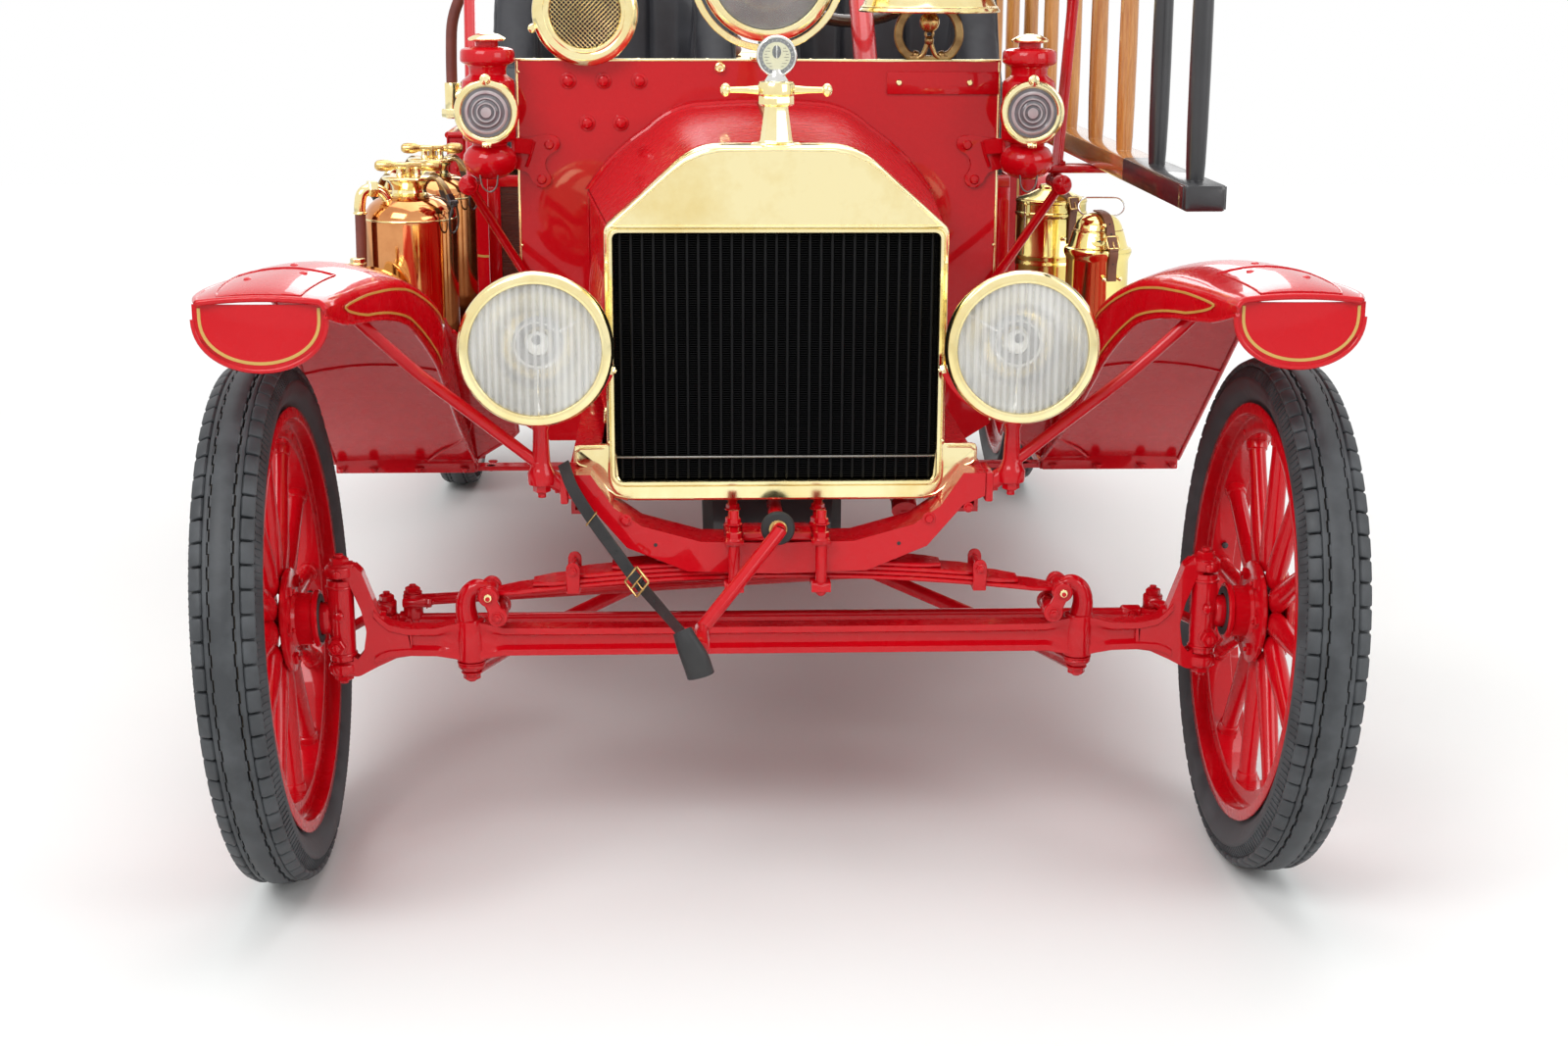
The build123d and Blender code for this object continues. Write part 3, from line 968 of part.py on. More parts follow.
# ---- signals on the firewall ----
with BuildPart() as siren:
    x, z = -299.0, 1232.0
    front = DASH_Y - 36
    turned_on((x, front, z), (0, 1, 0),
              [(61, 0), (84, 0), (91, 8), (91, 16), (70, 50), (62, 70), (62, 112), (30, 124), (0, 126), (0, 20), (61, 14)])
    rod((x, DASH_Y + 26, DASH_TOP + 8), (x, DASH_Y + 26, z - 56), 18)
    block((x - 38, DASH_Y - 4, DASH_TOP), (x + 38, DASH_Y + 50, DASH_TOP + 9))
export(siren, "siren")

SEARCH_AT = Vector(14.0, DASH_Y + 10, 1300.0)
SEARCH_R = 118.0
with BuildPart() as searchlight:
    turned_on((SEARCH_AT.X, SEARCH_AT.Y - 62, SEARCH_AT.Z), (0, 1, 0),
              [(96, 0), (SEARCH_R - 6, 0), (SEARCH_R - 1, 8), (SEARCH_R - 1, 24), (105, 30), (100, 60), (84, 92),
               (50, 114), (0, 122), (0, 119), (48, 111), (81, 90), (97, 58), (101, 30), (96, 14)])
    for side in (1, -1):
        rod((SEARCH_AT.X + side * 97, SEARCH_AT.Y, SEARCH_AT.Z), (SEARCH_AT.X + side * 128, SEARCH_AT.Y, SEARCH_AT.Z), 6)
    with BuildSketch(at_y(SEARCH_AT.Y + 8)) as yoke:
        with Locations((SEARCH_AT.X, SEARCH_AT.Z)):
            Circle(133)
            Circle(122, mode=Mode.SUBTRACT)
            with Locations((0, 90)):
                Rectangle(300, 170, mode=Mode.SUBTRACT)
    extrude(yoke.sketch, amount=16)
    rod((SEARCH_AT.X, SEARCH_AT.Y, DASH_TOP + 8 + SEAT), (SEARCH_AT.X, SEARCH_AT.Y, SEARCH_AT.Z - 124), 15)
    with Locations((SEARCH_AT.X, SEARCH_AT.Y, DASH_TOP + 9)):
        Cylinder(10 + PIN_PLAY, 36, mode=Mode.SUBTRACT)
export(searchlight, "searchlight")

with BuildPart() as searchlight_lens:
    rod((SEARCH_AT.X, SEARCH_AT.Y - 59, SEARCH_AT.Z), (SEARCH_AT.X, SEARCH_AT.Y - 53, SEARCH_AT.Z), 96 - SEAT)
export(searchlight_lens, "searchlight_lens")

BELL_AT = (296.0, DASH_Y + 10, 1233.0)
with BuildPart() as bell:
    turned_on(BELL_AT, (0, 0, 1), [(123, 0), (119, 0), (104, 26), (84, 62), (72, 96), (50, 116), (11, 116), (11, 121),
                                   (54, 121), (78, 98), (90, 62), (110, 26)])
export(bell, "bell")

with BuildPart() as signal_posts:
    x, y, z = BELL_AT
    block((x - 34, DASH_Y + 1, DASH_TOP), (x + 34, DASH_Y + DASH_THICK - 1, DASH_TOP + 8))
    with BuildSketch(at_y(y + 6)) as ring:
        with Locations((x, DASH_TOP + 52)):
            Circle(30)
            Circle(20, mode=Mode.SUBTRACT)
    extrude(ring.sketch, amount=12)
    rod((x, y, DASH_TOP), (x, y, DASH_TOP + 24), 10)
    rod((x, y, DASH_TOP + 80), (x, y, z + 110), 9)
    rod((x, y, z + 108), (x, y, z + 116), 20)
    rod((x, y, z + 112), (x, y, z + 138), 9)
    rod((x, y, z + 121), (x, y, z + 142), 15)
    rod((SEARCH_AT.X, SEARCH_AT.Y, DASH_TOP), (SEARCH_AT.X, SEARCH_AT.Y, DASH_TOP + 8), 30)
    rod((SEARCH_AT.X, SEARCH_AT.Y, DASH_TOP), (SEARCH_AT.X, SEARCH_AT.Y, DASH_TOP + 24), 10)
export(signal_posts, "signal_posts")

# ---- starting crank with its holding strap ----
with BuildPart() as crank:
    y = FRONT_AXLE_Y
    rod((0, y - 46, 527), (0, y + 150, 527), 11)
    rod((0, y - 60, 527), (0, y - 46, 527), 15)
    rod((0, y - 56, 522), (-112, y - 142, 402), 10)
    with Locations((-112, y - 142, 402)):
        Sphere(11)
    rod((-112, y - 142, 402), (-113, y - 232, 402), 13)
export(crank, "crank")
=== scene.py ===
"""Finishes, details and studio for a brass-era motor fire engine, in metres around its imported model."""
import json
import math

import bmesh
import bpy
from mathutils import Matrix, Vector

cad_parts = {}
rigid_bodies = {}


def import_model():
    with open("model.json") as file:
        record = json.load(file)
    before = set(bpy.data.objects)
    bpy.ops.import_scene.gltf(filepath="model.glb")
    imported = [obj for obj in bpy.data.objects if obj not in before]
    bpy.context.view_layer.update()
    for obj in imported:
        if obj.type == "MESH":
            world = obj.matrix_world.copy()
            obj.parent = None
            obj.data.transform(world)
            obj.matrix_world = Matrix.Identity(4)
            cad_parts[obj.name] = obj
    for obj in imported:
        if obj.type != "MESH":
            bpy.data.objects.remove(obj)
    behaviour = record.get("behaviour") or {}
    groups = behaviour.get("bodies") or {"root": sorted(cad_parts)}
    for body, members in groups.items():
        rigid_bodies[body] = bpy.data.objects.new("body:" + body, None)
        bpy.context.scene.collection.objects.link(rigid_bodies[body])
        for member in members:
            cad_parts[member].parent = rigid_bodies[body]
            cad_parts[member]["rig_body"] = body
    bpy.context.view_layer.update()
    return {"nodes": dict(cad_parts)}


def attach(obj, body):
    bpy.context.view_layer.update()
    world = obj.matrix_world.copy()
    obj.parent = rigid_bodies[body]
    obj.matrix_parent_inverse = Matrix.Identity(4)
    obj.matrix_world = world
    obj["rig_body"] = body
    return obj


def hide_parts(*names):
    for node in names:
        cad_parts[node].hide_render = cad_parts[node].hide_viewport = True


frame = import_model()

MM = 0.001
FRONT_AXLE_Y = -1392.0
REAR_AXLE_Y = 1148.0
DASH_Y = -602.0
RADIATOR_Y = -1377.0
TYRE_R = 381.0
CHASSIS = "chassis"
ORIGIN = (0, 0, 0)
LEFT, AFT, FORE, UP, DOWN = (1, 0, 0), (0, 1, 0), (0, -1, 0), (0, 0, 1), (0, 0, -1)


# ---------------------------------------------------------------- finishes
class Signal:
    """One output of a finish's nodes; arithmetic on it adds Math nodes."""

    def __init__(self, wiring, socket):
        self.wiring, self.socket = wiring, socket

    def math(self, operation, *others):
        return self.wiring.add("ShaderNodeMath", {"operation": operation}, [self, *others])

    def __add__(self, other):
        return self.math("ADD", other)

    def __radd__(self, other):
        return self.math("ADD", other)

    def __mul__(self, other):
        return self.math("MULTIPLY", other)

    def __rmul__(self, other):
        return self.math("MULTIPLY", other)

    def __sub__(self, other):
        return self.math("SUBTRACT", other)

    def __rsub__(self, other):
        return self.wiring.add("ShaderNodeMath", {"operation": "SUBTRACT"}, [other, self])

    def __truediv__(self, other):
        return self.math("DIVIDE", other)

    def __gt__(self, other):
        return self.math("GREATER_THAN", other)


class Wiring:
    """Adds nodes to one finish."""

    def __init__(self, tree):
        self.tree = tree

    def add(self, kind, settings=None, inputs=(), out=0):
        node = self.tree.nodes.new(kind)
        for key, value in (settings or {}).items():
            if key == "ramp":
                for stop, (place, colour) in zip(node.color_ramp.elements, value):
                    stop.position, stop.color = place, colour
                for place, colour in value[2:]:
                    node.color_ramp.elements.new(place).color = colour
            else:
                setattr(node, key, value)
        pairs = inputs.items() if isinstance(inputs, dict) else enumerate(inputs)
        for key, value in pairs:
            self.plug(node.inputs[key], value)
        return Signal(self, node.outputs[out])

    def plug(self, socket, value):
        if isinstance(value, Signal):
            self.tree.links.new(value.socket, socket)
        elif value is not None:
            socket.default_value = value

    def place(self, stretch=(1, 1, 1), turn=(0, 0, 0)):
        """Object coordinates, stretched and turned."""
        where = self.add("ShaderNodeTexCoord", out="Object")
        return self.add("ShaderNodeMapping", inputs={"Vector": where, "Scale": stretch, "Rotation": turn})

    def noise(self, scale, detail=3.0, stretch=(1, 1, 1), rough=0.5, where=None):
        return self.add("ShaderNodeTexNoise", inputs={"Vector": where or self.place(stretch), "Scale": scale,
                                                      "Detail": detail, "Roughness": rough}, out="Fac")

    def spread(self, signal, low, high, to_low=0.0, to_high=1.0):
        return self.add("ShaderNodeMapRange", inputs={"Value": signal, "From Min": low, "From Max": high,
                                                      "To Min": to_low, "To Max": to_high})

    def tint(self, share, first, second):
        return self.add("ShaderNodeMix", {"data_type": "RGBA"}, {0: share, 6: colour(first), 7: colour(second)}, out=2)

    def bump(self, height, depth, strength=1.0, normal=None):
        return self.add("ShaderNodeBump", inputs={"Height": height, "Distance": depth, "Strength": strength,
                                                  "Normal": normal})

    def soft_edge(self, radius):
        """The normal of an edge that is rounded to a radius."""
        return self.add("ShaderNodeBevel", {"samples": 4}, {"Radius": radius})

    def axis(self, name, where=None):
        return self.add("ShaderNodeSeparateXYZ", inputs=[where or self.place()], out=name)


def colour(value):
    """A colour as a shader's input takes it, with its alpha."""
    return value if isinstance(value, Signal) else (*value, 1.0)


def finish(name, varying, **fixed):
    """A material: varying(wiring) gives the inputs that change over the surface, fixed sets the shader's own."""
    material = bpy.data.materials.new(name)
    material.use_nodes = True
    wiring = Wiring(material.node_tree)
    shader = material.node_tree.nodes["Principled BSDF"]
    for key, value in fixed.items():
        shader.inputs[key.replace("_", " ").title().replace("Ior", "IOR")].default_value = value
    for key, value in varying(wiring).items():
        wiring.plug(shader.inputs[key], colour(value) if key == "Base Color" else value)
    return material


def enamel(w):
    """Red enamel: deep clouds, a fine peel and polished wear."""
    cloud = w.noise(5.0, 2.0)
    grime = w.noise(38.0, 5.0)
    base = w.tint(cloud, (0.500, 0.0012, 0.0060), (0.585, 0.0022, 0.0090))
    peel = w.noise(420.0, 1.0)
    return {"Base Color": base, "Roughness": w.spread(grime, 0.35, 0.75, 0.24, 0.33),
            "Normal": w.bump(peel, 0.000004, normal=w.soft_edge(0.0016))}


def polish(light, dark, rough=(0.07, 0.17), scale=9.0):
    """Bare metal that is rubbed bright: clouds of tarnish, fine rubbing marks and soft edges."""
    def varying(w):
        cloud = w.noise(scale, 6.0, rough=0.62)
        rub = w.noise(160.0, 3.0, stretch=(1, 1, 0.12))
        return {"Base Color": w.tint(w.spread(cloud, 0.42, 0.66), light, dark),
                "Roughness": w.spread(cloud * 0.5 + rub * 0.5, 0.35, 0.65, *rough),
                "Normal": w.bump(rub, 0.00002, normal=w.soft_edge(0.0012))}
    return varying


def rubber(w):
    """Black rubber with dust lying on it."""
    dust = w.noise(24.0, 6.0)
    grain = w.noise(900.0, 2.0)
    return {"Base Color": w.tint(w.spread(dust, 0.4, 0.7), (0.030, 0.033, 0.037), (0.062, 0.067, 0.073)),
            "Roughness": w.spread(dust, 0.3, 0.7, 0.48, 0.66), "Normal": w.bump(grain, 0.00012)}


def leather(deep, worn, scale=1.0):
    """Creased leather, lighter where it is worn."""
    def varying(w):
        where = w.place()
        cells = w.add("ShaderNodeTexVoronoi", {"feature": "DISTANCE_TO_EDGE"},
                      {"Vector": where, "Scale": 330.0 * scale}, out="Distance")
        fine = w.noise(900.0 * scale, 2.0)
        wear = w.noise(11.0, 5.0)
        grain = w.spread(cells, 0.0, 0.12) * 0.8 + fine * 0.35
        return {"Base Color": w.tint(w.spread(wear, 0.45, 0.75), deep, worn),
                "Roughness": w.spread(wear, 0.3, 0.7, 0.34, 0.52), "Normal": w.bump(grain, 0.00022)}
    return varying


def timber(light, dark, along, gloss=0.2):
    """Varnished wood with its grain along one axis."""
    def varying(w):
        stretch = [1.0 if name == along else 14.0 for name in "XYZ"]
        warp = w.noise(2.2, 2.0, stretch=stretch)
        streak = w.noise(6.0, 8.0, stretch=[s * 2.2 for s in stretch], rough=0.7)
        pore = w.noise(60.0, 2.0, stretch=[0.25 if name == along else 6.0 for name in "XYZ"])
        share = w.spread(streak * 0.7 + warp * 0.3, 0.36, 0.64)
        return {"Base Color": w.tint(share, light, dark), "Roughness": w.spread(pore, 0.3, 0.7, gloss, gloss + 0.12),
                "Normal": w.bump(pore, 0.00008, normal=w.soft_edge(0.0012))}
    return varying


def black_paint(w):
    """Black paint, slightly uneven in its gloss."""
    cloud = w.noise(14.0, 4.0)
    return {"Base Color": w.tint(cloud, (0.008, 0.008, 0.010), (0.020, 0.020, 0.023)),
            "Roughness": w.spread(cloud, 0.3, 0.7, 0.30, 0.46), "Normal": w.bump(w.noise(500.0), 0.00003,
            normal=w.soft_edge(0.001))}


def core_black(w):
    """The near black of a radiator's core."""
    cloud = w.noise(30.0, 4.0)
    return {"Base Color": w.tint(cloud, (0.0025, 0.0025, 0.003), (0.007, 0.007, 0.0075)),
            "Roughness": w.spread(cloud, 0.3, 0.7, 0.42, 0.6)}


def cast(w):
    """Rough cast iron."""
    cloud = w.noise(20.0, 6.0)
    return {"Base Color": w.tint(w.spread(cloud, 0.35, 0.7), (0.030, 0.031, 0.033), (0.085, 0.085, 0.085)),
            "Roughness": w.spread(cloud, 0.3, 0.7, 0.45, 0.7), "Normal": w.bump(w.noise(300.0, 4.0), 0.0003)}


def hose_skin(w):
    """Woven red rubber hose."""
    weave = w.noise(700.0, 2.0)
    cloud = w.noise(18.0, 5.0)
    return {"Base Color": w.tint(w.spread(cloud, 0.35, 0.7), (0.200, 0.045, 0.030), (0.135, 0.030, 0.022)),
            "Roughness": w.spread(cloud, 0.3, 0.7, 0.42, 0.58), "Normal": w.bump(weave, 0.00008)}


def steel(light, dark, rough):
    """Plain steel, clouded."""
    def varying(w):
        cloud = w.noise(22.0, 5.0)
        return {"Base Color": w.tint(cloud, light, dark), "Roughness": w.spread(cloud, 0.3, 0.7, rough, rough + 0.1),
                "Normal": w.soft_edge(0.0006)}
    return varying


def flute_glass(w):
    """Fluted glass: stripes along its flutes are painted light and shade in its colour, mixed with smears."""
    x = w.axis("X")
    wave = ((x + w.noise(9.0, 1.0, stretch=(1.0, 1.0, 0.0)) * 0.03) * (2 * math.pi / 0.0105)).math("SINE")
    smear = w.noise(6.0, 4.0, stretch=(3.0, 1.0, 0.6))
    # the flutes' wave lightens and darkens the colour as painted light and shade; the smears are random tone
    share = w.spread(wave, -1.0, 1.0) * 0.22 + smear * 0.78
    return {"Base Color": w.tint(share, (0.78, 0.78, 0.76), (0.97, 0.97, 0.95)),
            "Alpha": w.spread(share, 0.25, 0.75, 0.16, 0.44), "Roughness": 0.05, "Normal": w.bump(wave, 0.0003)}


def clear_glass(w):
    """Clear glass, slightly smeared."""
    smear = w.noise(14.0, 3.0)
    return {"Base Color": w.tint(smear, (0.62, 0.65, 0.66), (0.80, 0.83, 0.83)),
            "Alpha": w.spread(smear, 0.3, 0.7, 0.12, 0.2), "Roughness": 0.04}


def ring_glass(w):
    """The raised rings of a pressed lens."""
    cloud = w.noise(40.0, 3.0)
    return {"Base Color": w.tint(cloud, (0.50, 0.52, 0.54), (0.74, 0.76, 0.78)),
            "Alpha": w.spread(cloud, 0.3, 0.7, 0.55, 0.7), "Roughness": 0.05}


def ring_valley_shade(w):
    """The valleys between a pressed lens's rings, painted darker as shade."""
    cloud = w.noise(40.0, 3.0)
    return {"Base Color": w.tint(cloud, (0.10, 0.105, 0.115), (0.21, 0.22, 0.235)),
            "Alpha": w.spread(cloud, 0.3, 0.7, 0.86, 0.94), "Roughness": 0.05}


def plain(value, roughness, spot=0.75):
    """One colour with faint clouds and an even roughness."""
    def varying(w):
        cloud = w.noise(40.0, 4.0)
        return {"Base Color": w.tint(cloud, value, tuple(c * spot for c in value)), "Roughness": roughness}
    return varying


RED = finish("red_enamel", enamel, coat_weight=0.72, coat_roughness=0.03, coat_ior=1.45, specular_ior_level=0.08)
BRASS = finish("polished_brass", polish((0.960, 0.845, 0.480), (0.880, 0.715, 0.330)), metallic=1.0)
CAN_BRASS = finish("lacquered_brass", polish((0.930, 0.780, 0.300), (0.840, 0.640, 0.200)), metallic=1.0)
DARK_BRASS = finish("handled_brass", polish((0.720, 0.500, 0.200), (0.380, 0.215, 0.080), (0.16, 0.32), 30.0),
                    metallic=1.0)
COPPER = finish("polished_copper", polish((0.740, 0.330, 0.130), (0.500, 0.160, 0.055), (0.06, 0.15), 6.0),
                metallic=1.0)
BRONZE = finish("cast_bronze", polish((0.370, 0.240, 0.100), (0.190, 0.110, 0.045), (0.22, 0.4), 24.0), metallic=1.0)
NICKEL = finish("nickel", steel((0.80, 0.79, 0.76), (0.66, 0.65, 0.62), 0.10), metallic=1.0)
SMOKED = finish("smoked_bowl", steel((0.34, 0.35, 0.38), (0.13, 0.135, 0.15), 0.14), metallic=1.0)
SILVERED = finish("silvered_bowl", steel((0.90, 0.90, 0.89), (0.80, 0.80, 0.79), 0.16), metallic=1.0)
IRON = finish("cast_iron", cast, metallic=0.4)
BOLT_STEEL = finish("bolt_steel", steel((0.34, 0.33, 0.31), (0.18, 0.17, 0.16), 0.34), metallic=1.0)
TYRE_RUBBER = finish("tyre_rubber", rubber)
BOOT_RUBBER = finish("boot_rubber", plain((0.022, 0.022, 0.022), 0.6, 0.6))
HOSE = finish("hose_rubber", hose_skin)
BLACK = finish("black_japan", black_paint, coat_weight=0.5, coat_roughness=0.1)
CORE = finish("core_black", core_black, specular_ior_level=0.12)
BLACK_LEATHER = finish("black_leather", leather((0.011, 0.012, 0.017), (0.028, 0.030, 0.038)), sheen_weight=0.08)
STRAP_LEATHER = finish("strap_leather", leather((0.010, 0.010, 0.011), (0.030, 0.029, 0.028), 1.6))
BROWN_LEATHER = finish("brown_leather", leather((0.150, 0.050, 0.022), (0.250, 0.100, 0.048), 1.6))
LADDER_WOOD = finish("ladder_ash", timber((0.640, 0.300, 0.075), (0.380, 0.125, 0.022), "Y", 0.14), coat_weight=0.8,
                     coat_roughness=0.06)
RUNG_WOOD = finish("rung_ash", timber((0.660, 0.320, 0.085), (0.410, 0.145, 0.028), "Z", 0.14), coat_weight=0.8,
                   coat_roughness=0.06)
FLOOR_WOOD = finish("floor_boards", timber((0.230, 0.115, 0.050), (0.120, 0.055, 0.024), "X", 0.35), coat_weight=0.2)
DARK_WOOD = finish("dark_wood", timber((0.060, 0.024, 0.012), (0.025, 0.011, 0.006), "X", 0.18), coat_weight=0.7,
                   coat_roughness=0.08)
HEADLAMP_GLASS = finish("fluted_glass", flute_glass)
CLEAR_GLASS = finish("clear_glass", clear_glass)
RING_GLASS = finish("ring_glass", ring_glass)
RING_VALLEY_SHADE = finish("ring_valley_shade", ring_valley_shade)
BULB_GLASS = finish("bulb_glass", plain((0.93, 0.93, 0.90), 0.1, 0.95))
DIAL = finish("dial_face", plain((0.80, 0.76, 0.46), 0.4, 0.92))
GOLD_LINE = finish("gold_line", plain((0.60, 0.36, 0.075), 0.34, 0.85), coat_weight=0.6)
RUBBER_MAT = finish("board_mat", plain((0.030, 0.030, 0.031), 0.55, 0.6))
WEBBING = finish("cotton_jacket", plain((0.55, 0.50, 0.40), 0.85, 0.8))
RUBY = finish("ruby_glass", plain((0.45, 0.004, 0.006), 0.08, 0.7), coat_weight=1.0)


# ------------------------------------------------------- making the pieces
class Piece:
    """A mesh built up from forms in millimetres, in the model's frame, with a finish for each form."""

    def __init__(self):
        self.bm = bmesh.new()
        self.finishes = []
        self.index = 0

    def use(self, material):
        if material not in self.finishes:
            self.finishes.append(material)
        self.index = self.finishes.index(material)
        return self

    def _close(self, before):
        fresh = self.bm.faces[before:]
        for face in fresh:
            face.material_index = self.index
        bmesh.ops.recalc_face_normals(self.bm, faces=fresh)
        return fresh

    def _start(self):
        self.bm.faces.ensure_lookup_table()
        return len(self.bm.faces)

    def _end(self, before):
        self.bm.faces.ensure_lookup_table()
        return self._close(before)

    def skin(self, rings, capped=True, round_trip=False):
        """Rings of equal length joined in order; the ends are closed, or the last ring joins the first."""
        before = self._start()
        made = [[self.bm.verts.new(Vector(p) * MM) for p in ring] for ring in rings]
        pairs = list(zip(made, made[1:])) + ([(made[-1], made[0])] if round_trip else [])
        for low, high in pairs:
            for i in range(len(low)):
                j = (i + 1) % len(low)
                self.bm.faces.new((low[i], low[j], high[j], high[i]))
        if capped and not round_trip:
            self.bm.faces.new(list(reversed(made[0])))
            self.bm.faces.new(made[-1])
        self._end(before)
        return self

    def lathe(self, profile, at, axis=UP, steps=48, whole=False):
        """A profile of (radius, along) turned about an axis; whole joins its last point to its first."""
        before = self._start()
        spin = Vector(axis).normalized().to_track_quat("Z", "Y").to_matrix()
        at = Vector(at)
        loops = []
        for radius, along in profile:
            if radius < 1e-6:
                loops.append([self.bm.verts.new((at + spin @ Vector((0, 0, along))) * MM)])
                continue
            ring = []
            for i in range(steps):
                a = math.tau * i / steps
                spot = Vector((radius * math.cos(a), radius * math.sin(a), along))
                ring.append(self.bm.verts.new((at + spin @ spot) * MM))
            loops.append(ring)
        pairs = list(zip(loops, loops[1:])) + ([(loops[-1], loops[0])] if whole else [])
        for low, high in pairs:
            for i in range(steps):
                j = (i + 1) % steps
                corners = [low[i % len(low)], low[j % len(low)], high[j % len(high)], high[i % len(high)]]
                corners = list(dict.fromkeys(corners))
                if len(corners) > 2:
                    self.bm.faces.new(corners)
        if not whole:
            for loop in (loops[0], loops[-1]):
                if len(loop) > 1:
                    self.bm.faces.new(loop)
        self._end(before)
        return self

    def drum(self, at, axis, radius, length, edge=1.5, steps=32):
        """A cylinder centred on a point, with rounded edges."""
        h, e = length / 2, min(edge, length / 2 * 0.9, radius * 0.5)
        return self.lathe([(0, -h), (radius - e, -h), (radius - e * 0.3, -h + e * 0.3), (radius, -h + e),
                           (radius, h - e), (radius - e * 0.3, h - e * 0.3), (radius - e, h), (0, h)], at, axis, steps)

    def rod(self, start, end, radius, edge=1.0, steps=20):
        start, end = Vector(start), Vector(end)
        return self.drum((start + end) / 2, end - start, radius, (end - start).length, edge, steps)

    def ball(self, at, radius, steps=20, squash=1.0, axis=UP):
        rings = steps // 2
        return self.lathe([(radius * math.sin(math.pi * i / rings), -radius * squash * math.cos(math.pi * i / rings))
                           for i in range(rings + 1)], at, axis, steps)

    def hoop(self, at, axis, radius, wire, steps=64, around=12, tall=1.0):
        """A torus."""
        return self.lathe([(radius + wire * math.cos(math.tau * i / around),
                            wire * tall * math.sin(math.tau * i / around)) for i in range(around)], at, axis,
                          steps, whole=True)

    def tube(self, points, radius, steps=14, closed=False, flat=None, up=UP):
        """A round or flat section swept along smooth points; radius may be a list."""
        points = [Vector(p) for p in points]
        count = len(points)
        radii = radius if isinstance(radius, (list, tuple)) else [radius] * count
        rings, side = [], None
        for i, p in enumerate(points):
            back = points[i - 1] if i or closed else points[0]
            ahead = points[(i + 1) % count] if i + 1 < count or closed else points[-1]
            along = (ahead - back).normalized()
            if flat:
                side = along.cross(Vector(up)).normalized()
            elif side is None:
                side = along.orthogonal().normalized()
            else:
                side = (side - along * side.dot(along)).normalized()
            over = side.cross(along)
            if flat:
                w, t = flat[0] / 2, flat[1] / 2
                c = min(w, t) * 0.45
                outline = [(w, -t + c), (w, t - c), (w - c, t), (-w + c, t), (-w, t - c), (-w, -t + c),
                           (-w + c, -t), (w - c, -t)]
                rings.append([p + side * a + over * b for a, b in outline])
            else:
                rings.append([p + (side * math.cos(math.tau * k / steps) + over * math.sin(math.tau * k / steps))
                              * radii[i] for k in range(steps)])
        return self.skin(rings, round_trip=closed)

    def adopt(self, form, place):
        """Takes over another bmesh's faces, each corner moved by place and turned into metres."""
        before = self._start()
        corner = {v: self.bm.verts.new(Vector(place(v.co)) * MM) for v in form.verts}
        for face in form.faces:
            self.bm.faces.new([corner[v] for v in face.verts])
        form.free()
        self._end(before)
        return self

    def block(self, low, high, edge=1.5, turn=None, segments=2):
        """A box with bevelled edges between two corners, turned about its middle by a matrix."""
        low, high = Vector(map(min, low, high)), Vector(map(max, low, high))
        middle, size = (low + high) / 2, high - low
        form = bmesh.new()
        for v in bmesh.ops.create_cube(form, size=1.0)["verts"]:
            v.co = Vector((v.co.x * size.x, v.co.y * size.y, v.co.z * size.z))
        if edge:
            bmesh.ops.bevel(form, geom=form.edges[:], offset=min(edge, min(size) * 0.45), segments=segments,
                            affect="EDGES", profile=0.5)
        return self.adopt(form, lambda p: (turn @ p if turn else p) + middle)

    def slab(self, outline, at, normal, thickness, up=UP, edge=1.0, segments=2):
        """A plate cut to an outline of (across, up) points, centred through its thickness on a plane."""
        normal = Vector(normal).normalized()
        across = Vector(up).cross(normal).normalized()
        rise = normal.cross(across)
        at = Vector(at)
        form = bmesh.new()
        rings = [[form.verts.new(at + across * a + rise * b + normal * (side * thickness / 2)) for a, b in outline]
                 for side in (-1, 1)]
        count = len(outline)
        for i in range(count):
            j = (i + 1) % count
            form.faces.new((rings[0][i], rings[0][j], rings[1][j], rings[1][i]))
        ends = [form.faces.new(list(reversed(rings[0]))), form.faces.new(rings[1])]
        if edge:
            edges = list({e for f in ends for e in f.edges})
            bmesh.ops.bevel(form, geom=edges, offset=min(edge, thickness * 0.42), segments=segments,
                            affect="EDGES", profile=0.5)
        return self.adopt(form, lambda p: p)

    def nut(self, at, axis, across=12.0, height=8.0, sides=6, stud=3.0):
        """A nut on its washer, with the stud's end showing."""
        at, axis = Vector(at), Vector(axis).normalized()
        r = across / 2 / math.cos(math.pi / sides)
        self.drum(at + axis * 0.8, axis, r * 1.22, 1.6, 0.4, 20)
        self.lathe([(0, 1.2), (r * 0.92, 1.2), (r, 2.2), (r, height - 1.4), (r * 0.86, height), (0, height)],
                   at, axis, sides)
        if stud:
            self.drum(at + axis * (height + stud / 2), axis, across * 0.27, stud, 0.8, 12)
        return self

    def rivet(self, at, axis, radius=4.0, tall=0.5):
        return self.lathe([(radius * math.cos(a), radius * tall * math.sin(a)) for a in (0, 0.4, 0.8, 1.2)]
                          + [(0, radius * tall)], at, axis, 12)

    def screw(self, at, axis, radius=5.0):
        """A round-headed slotted screw."""
        at, axis = Vector(at), Vector(axis).normalized()
        self.lathe([(radius, 0), (radius, radius * 0.22), (radius * 0.75, radius * 0.5), (0, radius * 0.56)], at, axis,
                   18)
        return self

    def moved(self, matrix):
        bmesh.ops.transform(self.bm, matrix=matrix, verts=self.bm.verts[:])
        return self

    def done(self, name, body=CHASSIS, slot=None, stands_for=(), crease=34.0):
        mesh = bpy.data.meshes.new(name)
        self.bm.to_mesh(mesh)
        self.bm.free()
        for material in self.finishes:
            mesh.materials.append(material)
        return placed(mesh, name, body, stands_for, crease)


def placed(mesh, name, body, stands_for=(), crease=34.0):
    """A mesh becomes a finished piece on a body."""
    mesh.polygons.foreach_set("use_smooth", [True] * len(mesh.polygons))
    if crease:
        mesh.set_sharp_from_angle(angle=math.radians(crease))
    piece = bpy.data.objects.new(name, mesh)
    bpy.context.scene.collection.objects.link(piece)
    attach(piece, body)
    if stands_for:
        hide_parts(*stands_for)
    return piece


